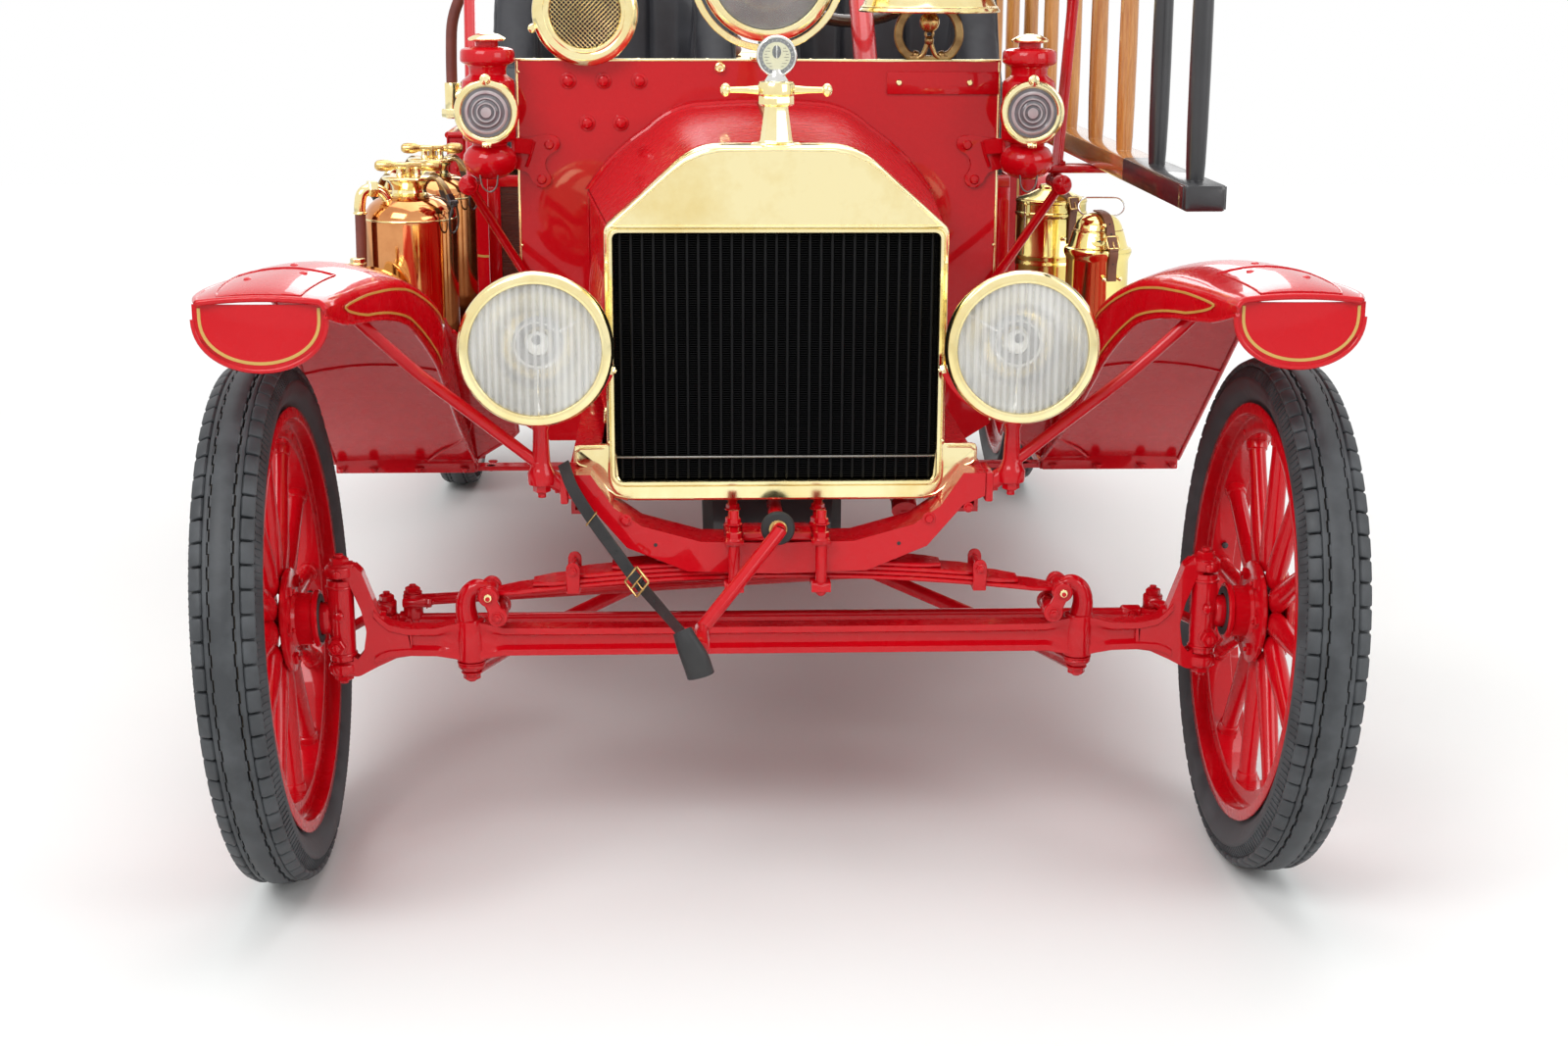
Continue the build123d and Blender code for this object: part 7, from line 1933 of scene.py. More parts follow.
# ---------------------------------------------------- ladder hangers and stays
def make_ladder_hangers():
    """The ladder's hangers with their wire rims, and the step brackets' nuts."""
    dressed("ladder_hangers", RED)
    hangs = Piece().use(RED)
    for y in (-560, 848):
        rim = rounded_loop([(516, y - 25), (662, y - 25), (662, y + 25), (516, y + 25)], 10, 4)
        hangs.tube([(p.x, p.y, 961.5) for p in rim], 6.6, 10, closed=True)
        rim = rounded_loop([(542, y - 20), (662, y - 20), (662, y + 20), (542, y + 20)], 9, 4)
        hangs.tube([(p.x, p.y, 1372) for p in rim], 4.6, 10, closed=True)
        hangs.tube([(658, y - 22, 1012), (658, y, 1013.6), (658, y + 22, 1012)], 4.4, 10)
        for dy in (-14, 14):
            hangs.nut((540, y + dy, 967), UP, 12, 8)
        hangs.nut((562, y, 1377), UP, 18, 11)
    for x in (312, -312):
        for dx in (-14.4, 14.4):
            hangs.nut((x + dx, DASH_Y - 32, 612), FORE, 11, 6)
    for x in (532, -506):
        hangs.lathe([(10, -64), (16, -62), (18, -58), (18, -52), (14, -46), (13.4, 0), (14, 36), (10, 40)],
                    (x, -572, 938), AFT, 28, whole=True)
        hangs.ball((x, -622, 938), 15, 18)
    hangs.done("hanger_fittings", slot="red_paint")


# ------------------------------------------------------------- extinguishers
def loop_wire(piece, centre, across, down, wide, tall, wire=1.8):
    """A pear-shaped wire loop hanging from its top."""
    points = []
    for k in range(28):
        a = math.tau * k / 28
        share = (1 - math.cos(a)) / 2
        points.append(Vector(centre) + Vector(across) * (wide / 2 * math.sin(a) * (0.35 + 0.65 * share ** 0.7))
                      + Vector(down) * (tall * share))
    piece.tube(points, wire, 8, closed=True)


def make_extinguishers():
    """Two copper bottles with brass necks, elbows, levers and iron clamps."""
    bottles = Piece()
    for yc in EXTINGUISHER_YS:
        at = Vector((BOTTLE_X, yc, 0))
        bottles.use(COPPER).lathe([(0, 470), (82, 470), (82, 480), (82, 560), (82, 700), (82, 866), (81, 876),
                                   (77.6, 886), (71, 896), (61, 904.6), (50, 910), (42, 912.6), (0, 913)], at, steps=72)
        bottles.use(BRASS).lathe([(0, 455), (83, 455), (85.4, 456.4), (86, 459), (86, 467), (84.6, 470.6), (82.5, 472),
                                  (0, 472)], at, steps=64)
        for z in (872, 480.5):
            bottles.hoop(at + Vector((0, 0, z)), UP, 81.6, 1.7, 72, 8)
        bottles.lathe([(0, 904), (47, 905), (48.5, 907.5), (47, 911), (36, 913.6), (31, 917), (30, 922), (33, 930),
                       (39, 936.4), (43.4, 938.6), (46, 939.6), (47.6, 941.6), (47, 944.4), (44, 945.4), (20, 946.4),
                       (0, 946.6)], at, steps=56)
        for dx in (-15, 15):
            bottles.lathe([(8.4, 0), (7.6, 3), (6.6, 5), (6.6, 13), (7.6, 16), (0, 17)],
                          at + Vector((dx, 0, 945.4)), steps=18)
        bottles.use(DARK_BRASS).drum(at + Vector((0, 0, 957)), UP, 7.4, 24, 1.5, 20)
        bottles.block((BOTTLE_X - 24, yc - 7, 958.4), (BOTTLE_X + 24, yc + 7, 969.4), 3)
        for side in (1, -1):
            bottles.lathe([(6.2, 20), (6.8, 27), (9.2, 31), (10.4, 37), (10.2, 48), (9.0, 55), (5.6, 59), (0, 60)],
                          at + Vector((0, 0, 963.6)), (side, 0, 0), 22)
        # outlet elbow with its union, over to the hose
        bottles.use(BRASS).lathe([(0, 0), (19, 0), (20, 2), (19, 5), (13, 7), (0, 7)], at + Vector((-30, -34, 893)),
                                 (-0.3, -0.36, 0.9), 28)
        elbow = curve_points([at + Vector(p) for p in ((-30, -34, 892), (-36, -38, 911), (-48, -43, 924.4),
                                                       (-64, -50.6, 927), (-76, -56, 919), (-80, -58, 900),
                                                       (-80, -58, 884))], 6)
        bottles.tube(elbow, 10.2, 18)
        middle = elbow[16]
        direction = (elbow[17] - elbow[15]).normalized()
        bottles.lathe([(9, -8), (14, -8), (15.4, -6), (15.4, 6), (14, 8), (9, 8)], middle, direction, 6, whole=True)
        bottles.hoop(at + Vector((-80, -58, 886)), UP, 10, 2.4, 28, 8)
        # lever arms, their clips and wire loops
        for lean, drop, up in (((0.86, -0.5), 40, 6), ((0.6, 0.8), 46, 8), ((-0.7, 0.72), 40, 4)):
            out = Vector((lean[0], lean[1], 0)).normalized()
            path = curve_points([at + out * 40 + Vector((0, 0, 942)), at + out * 58 + Vector((0, 0, 942 + up * 0.5)),
                                 at + out * 78 + Vector((0, 0, 930)), at + out * 94 + Vector((0, 0, 942 - drop))], 6)
            bottles.use(BRONZE).tube(path, 0, flat=(15, 4.4), up=UP)
            tip = path[-1]
            bottles.use(BLACK).tube([path[-4], path[-2], tip + out * 3 + Vector((0, 0, -6))], 0, flat=(17, 7),
                                    up=out + Vector((0, 0, 0.6)))
            sideways = Vector((-out.y, out.x, 0))
            bottles.drum(tip + Vector(UP), sideways, 4.4, 24, 1.2, 14)
            loop_wire(bottles, tip + out * 4, sideways, Vector((-out.x * 0.1, -out.y * 0.1, -1)), 34, 52)
        # iron clamp and its bracket
        bottles.use(BLACK).lathe([(82.3, 548), (85.6, 548), (86.4, 549.4), (86.4, 569), (85.6, 570.4), (82.3, 570.4)],
                                 at, steps=72, whole=True)
        bottles.block((-546, yc - 9, 545), (-506, yc - 3, 574), 1.5)
        bottles.block((-546, yc + 3, 545), (-506, yc + 9, 574), 1.5)
        bottles.nut((-524, yc - 9, 560), FORE, 11, 7)
        bottles.block((-512, yc - 20, 520), (-500.5, yc + 20, 600), 2)
        for z in (532, 588):
            bottles.nut((-512, yc, z), (-1, 0, 0), 11, 6)
        bottles.use(DARK_BRASS).block((BOTTLE_X - 88, yc - 14, 476), (BOTTLE_X - 81, yc + 14, 498), 1.5)
    bottles.done("extinguishers_spun", slot="copper", stands_for=["extinguishers"], crease=30)


# ------------------------------------------------------------------ gas drum
def make_gas_drum():
    """The ribbed acetylene drum, its axis along the vehicle."""
    drum = Piece().use(BRASS)
    gx, gy, gz = -690.0, -827.0, 703.0
    drum.lathe([(0, 3.0), (60, 2.6), (84, 1.6), (87.4, 3.6), (90, 3.2), (92.6, 0.6), (95, 0), (96.6, 1.2), (97, 4),
                (96.6, 8), (95.4, 12), (94.8, 16), (95.4, 60), (96.6, 63), (97, 66), (96.6, 69), (95.2, 72),
                (95.2, 120), (96.8, 123), (96.8, 129), (95.2, 132), (95.2, 172), (97, 178), (96.4, 184), (93, 186),
                (60, 183), (0, 182)], (gx, gy, gz), AFT, 88)
    drum.use(BLACK).lathe([(87.0, 2.2), (89.6, 2.2), (89.6, 3.9), (87.0, 4.3)], (gx, gy, gz), AFT, 88, whole=True)
    drum.use(DARK_BRASS).lathe([(0, 0), (16, 0), (18, -2), (18, -8), (14, -11), (0, -12)], (gx, gy + 4, gz), AFT, 32)
    drum.use(BRASS).rod((gx, gy + 110, gz + 92), (gx, gy + 110, gz + 112), 10, 2)
    drum.nut((gx, gy + 110, gz + 110), UP, 22, 10, 6, 0)
    drum.done("gas_drum_spun", slot="brass", stands_for=["gas_drum"], crease=30)


# ---------------------------------------------------- cans and their straps
def around(centre, angle, radius, z):
    """A point on a can's wall: the angle is measured from dead ahead towards the left."""
    a = math.radians(angle)
    return Vector((centre[0] + radius * math.sin(a), centre[1] - radius * math.cos(a), z))


def can_strap(piece, centre, angle, path, width=17.0, thick=3.2, buckle=None, studs=()):
    """A leather strap lying down a can's side, with its buckle frame, studs and holes."""
    a = math.radians(angle)
    out = Vector((math.sin(a), -math.cos(a), 0))
    across = Vector((math.cos(a), math.sin(a), 0))
    line = curve_points([around(centre, angle, r, z) for r, z in path], 6)
    piece.use(BROWN_LEATHER).tube(line, 0, flat=(width, thick), up=out + Vector(UP))
    for share in (0.3, 0.42, 0.8):
        p = line[int(share * (len(line) - 1))]
        piece.use(BOOT_RUBBER).drum(p + out * thick * 0.52 + Vector((0, 0, thick * 0.2)), out + Vector((0, 0, 0.35)),
                                    1.7, 0.8, 0.2, 12)
    if buckle is not None:
        p = line[int(buckle * (len(line) - 1))] + out * 3.4
        ahead = (line[int(buckle * (len(line) - 1)) + 1] - line[int(buckle * (len(line) - 1)) - 1]).normalized()
        corners = [p + across * s * (width / 2 + 2.6) + ahead * t * 11 for s, t in ((1, 1), (1, -1), (-1, -1), (-1, 1))]
        for c0, c1 in zip(corners, corners[1:] + corners[:1]):
            piece.use(DARK_BRASS).rod(c0, c1, 1.7, 0.5, 10)
        piece.use(BROWN_LEATHER).tube([p - ahead * 13, p + ahead * 2, p + ahead * 16], 0, flat=(width, 2.6),
                                      up=out + Vector((0, 0, 0.4)))
        piece.use(DARK_BRASS).rod(p - ahead * 2 + out * 1.6, p + ahead * 11 + out * 2.2, 1.3, 0.4, 8)
    for turn, z, r in studs:
        p = around(centre, angle + turn, r, z)
        aim = Vector((math.sin(math.radians(angle + turn)), -math.cos(math.radians(angle + turn)), 0))
        piece.use(BRASS).drum(p + aim * 2, aim, 2.6, 5, 0.5, 14)
        piece.ball(p + aim * 6, 4.4, 14)


def make_cans():
    """Two spun cans under leather straps, one with a wire bail."""
    cans = Piece()
    one, two = (572.0, -282.0), (602.0, -618.0)
    cans.use(CAN_BRASS).lathe([(0, 455), (64, 455), (66, 457), (66, 466), (65, 469), (65, 752), (66.6, 755),
                               (66.6, 759), (65, 762), (65, 768), (66.6, 771), (66.6, 775), (65, 778), (65, 846),
                               (67.6, 849), (69, 851.4), (69, 855), (67, 857), (67, 872), (68.4, 874), (68.6, 878),
                               (66, 880), (44, 889), (27, 897), (25, 898), (24.4, 903), (21, 906), (0, 907)],
                              (*one, 0), steps=64)
    cans.use(CAN_BRASS).lathe([(0, 455), (54, 455), (56, 457), (56, 466), (55, 469), (55, 806), (57, 812), (59, 816),
                               (60, 820), (60, 824), (58, 827.6), (54, 829), (52, 832), (46, 853), (44, 858), (43, 859),
                               (42.6, 861), (41, 867), (36, 876), (27, 883.6), (14, 888), (0, 889)],
                              (*two, 0), steps=64)
    cans.use(DARK_BRASS)
    cans.hoop((*two, 859.4), UP, 43.2, 1.1, 56, 8)
    cans.hoop((*one, 880), UP, 66, 1.3, 56, 8)
    can_strap(cans, one, 27, [(24, 908.5), (46, 891), (66, 881.4), (71, 874), (71.4, 860), (69.6, 846), (68.4, 826),
                              (68.2, 806), (68.2, 800)], buckle=0.34, studs=((-14, 810, 65),))
    can_strap(cans, two, 17, [(-6, 891.6), (14, 890), (30, 884.6), (41, 872), (47, 858), (53, 842), (61, 828),
                              (62, 818), (58.4, 804), (57.4, 790), (57.4, 774)], buckle=0.5,
              studs=((-15, 778, 55), (15, 778, 55)))
    plate = around(two, -9, 49, 843)
    aim = Vector((math.sin(math.radians(-9)), -math.cos(math.radians(-9)), 0.32)).normalized()
    cans.use(CAN_BRASS).slab([(13 * math.cos(t), 9 * math.sin(t)) for t in (math.tau * k / 20 for k in range(20))],
                             plate + aim * 0.6, aim, 2.0, edge=0.6)
    cans.use(BOOT_RUBBER).drum(plate + aim * 1.7 + Vector((2, 0, 0)), aim, 2.2, 0.6, 0.1, 12)
    cans.block(plate + aim * 1.7 + Vector((-4, -0.4, -0.9)), plate + aim * 1.7 + Vector((2, 0.4, 0.9)), 0.2)
    knob = around(two, 3, 40, 868)
    cans.use(CAN_BRASS).rod(knob, knob + aim * 6, 2.4, 0.5, 12).ball(knob + aim * 8, 4.8, 14)
    bail = []
    for k in range(40):
        a = math.tau * k / 40
        px = 24 * (1 if math.cos(a) > 0 else -1) * (1 if abs(math.cos(a)) > 0.02 else 0) + 17.4 * math.cos(a)
        bail.append((two[0] + 8 + px, two[1] + 22 + 4 * math.sin(a), 897 + 15.6 * math.sin(a)))
    cans.use(NICKEL).tube(bail, 1.5, 8, closed=True)
    top, low = around(one, -55, 68, 872), around(one, -55, 68, 812)
    cans.use(NICKEL).tube([top, (top + low) / 2, low], 1.5, 8)
    cans.use(CAN_BRASS).ball(low, 3.4, 12).ball(top, 3.4, 12)
    cans.done("cans_spun", slot="brass", stands_for=["cans"], crease=30)


# ---------------------------------------------------------------- the seats
SEAT_AT, SEAT_REAR, SEAT_LOW, SEAT_WIDE = 272.0, 328.0, 900.3, 242.0
CORNER, TUB_STATIONS = 150.0, 76


def evaluated(obj):
    """The mesh that an object's modifiers make, with the object and its old mesh removed."""
    graph = bpy.context.evaluated_depsgraph_get()
    graph.update()
    mesh = bpy.data.meshes.new_from_object(obj.evaluated_get(graph), preserve_all_data_layers=False, depsgraph=graph)
    old = obj.data
    bpy.data.objects.remove(obj)
    if old.users == 0:
        bpy.data.meshes.remove(old)
    return mesh


def bare(mesh, name):
    """An object with a mesh and nothing else, in the scene."""
    obj = bpy.data.objects.new(name, mesh)
    bpy.context.scene.collection.objects.link(obj)
    return obj


def swollen(mesh, voxel, cap, pressure):
    """A pad blown up as cloth over twenty frames, no corner moving further than the cap (mm)."""
    obj = bare(mesh, "pad_start")
    remesh = obj.modifiers.new("grain", "REMESH")
    remesh.mode, remesh.voxel_size = "VOXEL", voxel * MM
    mesh = evaluated(obj)
    obj = bare(mesh, "pad_cloth")
    start = [v.co.copy() for v in mesh.vertices]
    cloth = obj.modifiers.new("swell", "CLOTH")
    cloth.settings.use_pressure = True
    cloth.settings.uniform_pressure_force = pressure
    cloth.settings.effector_weights.gravity = 0.0
    cloth.settings.quality = 4
    cloth.settings.mass = 0.3
    cloth.settings.tension_stiffness = cloth.settings.compression_stiffness = 20.0
    cloth.settings.bending_stiffness = 1.5
    cloth.point_cache.frame_start, cloth.point_cache.frame_end = 1, 20
    scene = bpy.context.scene
    for frame_number in range(1, 21):
        scene.frame_set(frame_number)
    made = evaluated(obj)
    scene.frame_set(1)
    for v, was in zip(made.vertices, start):
        move = v.co - was
        if move.length > cap * MM:
            v.co = was + move.normalized() * cap * MM
    return made


def stitched(mesh, groove, low_z, high_z):
    """One subdivision, then each corner moved by the groove's depth (mm) against its normal."""
    obj = bare(mesh, "pad_fine")
    fine = obj.modifiers.new("fine", "SUBSURF")
    fine.levels = fine.render_levels = 1
    mesh = evaluated(obj)
    points = [v.co / MM for v in mesh.vertices]
    normals = [v.normal.copy() for v in mesh.vertices]
    for v, p, n in zip(mesh.vertices, points, normals):
        p = p - n * groove(p, n)
        p.z = min(high_z, max(low_z, p.z))
        v.co = p * MM
    return mesh


def seat_piece(mesh, name, side, node_names):
    """The pad's mesh set over the left or right seat as its own object."""
    mesh = mesh.copy()
    mesh.transform(Matrix.Translation((side * SEAT_AT * MM, 0, 0)))
    mesh.materials.clear()
    mesh.materials.append(BLACK_LEATHER)
    for polygon in mesh.polygons:
        polygon.material_index = 0
    obj = placed(mesh, name, CHASSIS, node_names, 60.0)
    return obj


def crowned(x_half, y0, y1, low, high, crown, power=5.0, rows=22):
    """A cushion's closed form: rounded in plan, its top crowned and its sides drawn in."""
    rings, y_mid, y_half = [], (y0 + y1) / 2, (y1 - y0) / 2
    for k in range(rows):
        t = k / (rows - 1)
        z = low + (high - low) * t
        pull = 1.0 - 0.030 * math.sin(math.pi * t) ** 2
        if t > 0.8:
            pull -= 0.05 * (1 - math.sqrt(max(0.0, 1 - ((t - 0.8) / 0.2) ** 2)))
        if t < 0.15:
            pull -= 0.04 * ((0.15 - t) / 0.15) ** 2
        ring = []
        for i in range(56):
            a = math.tau * i / 56
            c, s = math.cos(a), math.sin(a)
            r = (abs(c) ** power + abs(s) ** power) ** (-1 / power)
            ring.append((x_half * r * c * pull, y_mid + y_half * r * s * pull, z))
        rings.append(ring)
    for share in (0.9, 0.74, 0.5, 0.2):
        rings.append([(p[0] / 0.95 * share, y_mid + (p[1] - y_mid) / 0.95 * share, high + crown * (1 - share ** 2))
                      for p in rings[rows - 1]])
    return rings


def cushion_groove(p, n):
    """How deep a cushion's seams lie at a point of its surface."""
    deep = 0.0
    if n.z > 0.1 and p.y > -56:
        for x in (-87.0, 0.0, 87.0):
            deep = max(deep, 8.0 * math.exp(-((p.x - x) / 6.0) ** 2))
    if n.z > 0.1:
        deep = max(deep, 7.0 * math.exp(-((p.y + 58) / 6.5) ** 2))
    return deep


def make_cushions():
    """One cushion's form, swollen and stitched, over both seats."""
    pad = Piece().use(BLACK_LEATHER).skin(crowned(163, -84, 184, SEAT_LOW + 3, 962, 20))
    cushion_mesh = bpy.data.meshes.new("cushion")
    pad.bm.to_mesh(cushion_mesh)
    pad.bm.free()
    cushion_mesh = stitched(swollen(cushion_mesh, 7.0, 24.0, 4.0), cushion_groove, SEAT_LOW, 1016.0)
    for side, name in SIDES.items():
        seat_piece(cushion_mesh, "cushion_" + name, side, ["seat_cushions"] if side > 0 else [])


def tub_line(s):
    """The outer line of the tub back and its inward way, s running from the right arm's front round to the left's."""
    straight, quarter, back = 190.0, CORNER * math.pi / 2, 2 * (SEAT_WIDE - CORNER)
    total = 2 * straight + 2 * quarter + back
    d = s * total
    mirror = 1
    if d > total / 2:
        d, mirror = total - d, -1
    yc = SEAT_REAR - CORNER
    if d < straight:
        return Vector((-mirror * SEAT_WIDE, yc - straight + d, 0)), Vector((mirror, 0, 0))
    d -= straight
    if d < quarter:
        a = d / CORNER
        p = Vector((-mirror * (SEAT_WIDE - CORNER + CORNER * math.cos(a)), yc + CORNER * math.sin(a), 0))
        return p, Vector((mirror * math.cos(a), -math.sin(a), 0))
    d -= quarter
    return Vector((-mirror * (SEAT_WIDE - CORNER - d), SEAT_REAR, 0)), Vector(FORE)


def arm_height(y):
    """The top of a tub's arm at a y."""
    points = [(-62, 1080), (0, 1096), (28, 1110), (60, 1142), (100, 1214), (140, 1294), (168, 1322),
              (210, 1330), (400, 1330)]
    for (y0, z0), (y1, z1) in zip(points, points[1:]):
        if y <= y1:
            return z0 + (z1 - z0) * max(0.0, (y - y0) / (y1 - y0))
    return 1330.0


def tub_groove(p, n):
    """How deep a tub's seams lie at a point of its surface, less the swell between them."""
    x, yc = abs(p.x), SEAT_REAR - CORNER
    if x > SEAT_WIDE - CORNER and p.y > yc:
        a = math.atan2(p.y - yc, x - (SEAT_WIDE - CORNER))
        s, inward = CORNER * 0.85 * a, Vector((-math.copysign(math.cos(a), p.x), -math.sin(a), 0))
    elif p.y > yc:
        s, inward = CORNER * 0.85 * math.pi / 2 + (SEAT_WIDE - CORNER - x), Vector(FORE)
    else:
        s, inward = p.y - yc, Vector((-math.copysign(1, p.x), 0, 0))
    facing = max(n.dot(inward), n.z)
    if facing < 0.05 or p.z < 985:
        return 0.0
    share = min(1.0, facing / 0.4)
    nearest = min(abs(s - at) for at in (-120, -20, 92, 222))
    return 6.5 * share * math.exp(-(nearest / 5.5) ** 2) - 2.4 * share * math.sin(math.pi * min(1.0, nearest / 60.0))


def make_seat_backs():
    """One tub back's form, swollen and stitched, round both seats."""
    rings = []
    for k in range(TUB_STATIONS + 1):
        s = k / TUB_STATIONS
        p, inward = tub_line(s)
        thick = 60.0 - 24.0 * min(1.0, max(0.0, (p.y - 150) / 150.0))
        end = min(k, TUB_STATIONS - k)
        thin = (0.45, 0.78, 0.93, 1.0)[min(end, 3)]
        h = thick / 2 * thin
        mid = p + inward * (thick / 2 + 2)
        top = arm_height(p.y) - 8 - (12 * (1 - thin))
        roll = h + 3.0
        ring = [mid - inward * (h - 3) + Vector((0, 0, SEAT_LOW + 3))]
        for t in (0.25, 0.5, 0.75, 0.94):
            ring.append(mid - inward * (h - 1.5) + Vector((0, 0, SEAT_LOW + 3 + (top - roll * 2 - SEAT_LOW) * t)))
        for j in range(9):
            a = math.pi * (1.12 - 1.24 * j / 8)
            ring.append(mid + inward * (roll * math.cos(a)) + Vector((0, 0, top - roll + roll * math.sin(a))))
        for t in (0.94, 0.75, 0.5, 0.25):
            ring.append(mid + inward * (h + 4 * math.sin(math.pi * t))
                        + Vector((0, 0, SEAT_LOW + 3 + (top - roll * 2 - SEAT_LOW) * t)))
        ring.append(mid + inward * (h - 3) + Vector((0, 0, SEAT_LOW + 3)))
        rings.append(ring)
    tub = Piece().use(BLACK_LEATHER).skin(rings)
    tub_mesh = bpy.data.meshes.new("tub")
    tub.bm.to_mesh(tub_mesh)
    tub.bm.free()
    tub_mesh = stitched(swollen(tub_mesh, 10.0, 12.0, 3.0), tub_groove, SEAT_LOW, 1336.0)
    for side, name in SIDES.items():
        seat_piece(tub_mesh, "seat_back_" + name, side, ["seat_backs"] if side > 0 else [])


def make_seat_box():
    """Welts and nails round the seats, and the panelled box below them."""
    box = Piece().use(BLACK_LEATHER)
    for side in (1, -1):
        welt = []
        for k in range(2, 75):
            p, inward = tub_line(k / TUB_STATIONS)
            thick = 60.0 - 24.0 * min(1.0, max(0.0, (p.y - 150) / 150.0))
            welt.append(p + inward * 1.0 + Vector((side * SEAT_AT, 0, arm_height(p.y) - thick - 8)))
        box.tube(welt, 3.4, 8)
        base = []
        for k in range(1, 76):
            p, inward = tub_line(k / TUB_STATIONS)
            base.append(p + inward * 1.5 + Vector((side * SEAT_AT, 0, SEAT_LOW + 5)))
        box.tube(base, 4.2, 8)
        for k in range(2, 75, 3):
            p, inward = tub_line(k / TUB_STATIONS)
            box.use(BRASS).rivet(p - inward * 0.4 + Vector((side * SEAT_AT, 0, SEAT_LOW + 14)), -inward, 3.2, 0.6)
        box.use(BLACK_LEATHER)
    box.use(RED)
    for low, high in (((-523, -66, 880), (523, -60, 903)), ((-523, -66, 662), (523, -60, 690)),
                      ((-523, -66, 690), (-498, -60, 880)), ((498, -66, 690), (523, -60, 880)),
                      ((-14, -66, 690), (14, -60, 880))):
        box.block(low, high, 1.4)
    for side in (1, -1):
        for z0, z1, y0, y1 in ((880, 903, -62, 328), (662, 690, -62, 328), (690, 880, -62, -36), (690, 880, 302, 328)):
            box.block((side * 518, y0, z0), (side * 524, y1, z1), 1.4)
        box.use(BRASS).drum((side * 260, -68, 866), AFT, 11, 6, 2)
        box.tube([(side * 260 - 9, -72, 862), (side * 260 - 9, -76, 840), (side * 260 + 9, -76, 840),
                  (side * 260 + 9, -72, 862)], 2.2, 8)
        box.use(RED)
    box.done("seat_box_panels", slot="red_paint")
    # the box is finished near-black: partly its dark wooden front, partly painted shade of the foot-well before the
    # seat riser
    dressed("seat_box", DARK_WOOD)


# ------------------------------------------------------ body, stripes, slats
BED_FRONT, BED_REAR, BED_SIDE = 336.0, 1508.0, 640.0


def striped(piece, corners, material, wire, radius=18.0):
    """A thin raised line round a flat panel."""
    a, b, _, d = [Vector(v) for v in corners]
    u, v = (b - a).normalized(), (d - a).normalized()
    wide, tall = (b - a).length, (d - a).length
    line = rounded_loop([(0, 0), (wide, 0), (wide, tall), (0, tall)], radius, 4)
    piece.use(material).tube([a + u * p.x + v * p.y for p in line], 0, closed=True, flat=(wire, 0.9), up=u.cross(v))


def make_hose_bed():
    """The bed's box with its ribs, rivets, gold lines, grab irons and slats."""
    dressed("hose_bed", RED)
    body = Piece().use(RED)
    for side in (1, -1):
        x = side * (BED_SIDE + 0.4)
        striped(body, [(x, BED_FRONT + 40, 620), (x, BED_REAR - 40, 620), (x, BED_REAR - 40, 915),
                       (x, BED_FRONT + 40, 915)], GOLD_LINE, 5.0, 34)
        striped(body, [(x, BED_FRONT + 52, 632), (x, BED_REAR - 52, 632), (x, BED_REAR - 52, 903),
                       (x, BED_FRONT + 52, 903)], GOLD_LINE, 1.8, 28)
        body.use(RED)
        for y in (BED_FRONT + 7, 795, BED_REAR - 7):
            body.block((side * 639, y - 14, 584), (side * 643, y + 14, 951), 1.2)
            for z in (600, 680, 760, 840, 930):
                body.rivet((side * 643, y, z), (side, 0, 0), 5)
        body.tube([(side * 640, BED_FRONT, 952), (side * 640, BED_REAR, 952)], 7.5, 12)
        body.use(BRASS).tube([(side * 637, BED_FRONT + 2, 957), (side * 637, BED_REAR - 2, 957)], 0,
                             flat=(13, 3), up=UP)
        body.use(RED)
    for y, way in ((BED_FRONT - 0.4, -1), (BED_REAR + 0.4, 1)):
        striped(body, [(-600, y, 690), (600, y, 690), (600, y, 915), (-600, y, 915)], GOLD_LINE, 5.0, 30)
        body.use(RED)
        for side in (1, -1):
            body.block((side * 606, y - 2, 584), (side * 643, y + 2, 951), 1.2)
            for z in (610, 700, 790, 880, 935):
                body.rivet((side * 624, y + way * 2, z), (0, way, 0), 5)
        body.tube([(-640, y, 952), (640, y, 952)], 7, 12)
    for side in (1, -1):
        body.use(GOLD_LINE).block((side * 552 - 2.6, BED_FRONT - 0.9, 590), (side * 552 + 2.6, BED_FRONT + 0.5, 950),
                                  0.3)
        body.use(NICKEL)
        for y in (900, 1340):
            body.tube(curve_points([(side * 643, y - 70, 860), (side * 668, y - 62, 862), (side * 672, y, 863),
                                    (side * 668, y + 62, 862), (side * 643, y + 70, 860)], 6), 7, 14)
            for dy in (-70, 70):
                body.drum((side * 644, y + dy, 860), (side, 0, 0), 17, 6, 2)
                body.screw((side * 646, y + dy, 872), (side, 0, 0), 3.4)
    for k in range(14):
        body.use(FLOOR_WOOD).block((-604 + k * 87, 806, 680), (-604 + k * 87 + 78, 1490, 690), 2)
    body.done("body_trim", slot="red_paint")


# ---------------------------------------------------------- chemical tank
# the tank's axis, and the x of its valve and of the outlet that the hose leaves by
TANK_Y, TANK_Z, VALVE_X, OUTLET_X = 568.0, 900.0, -576, -652


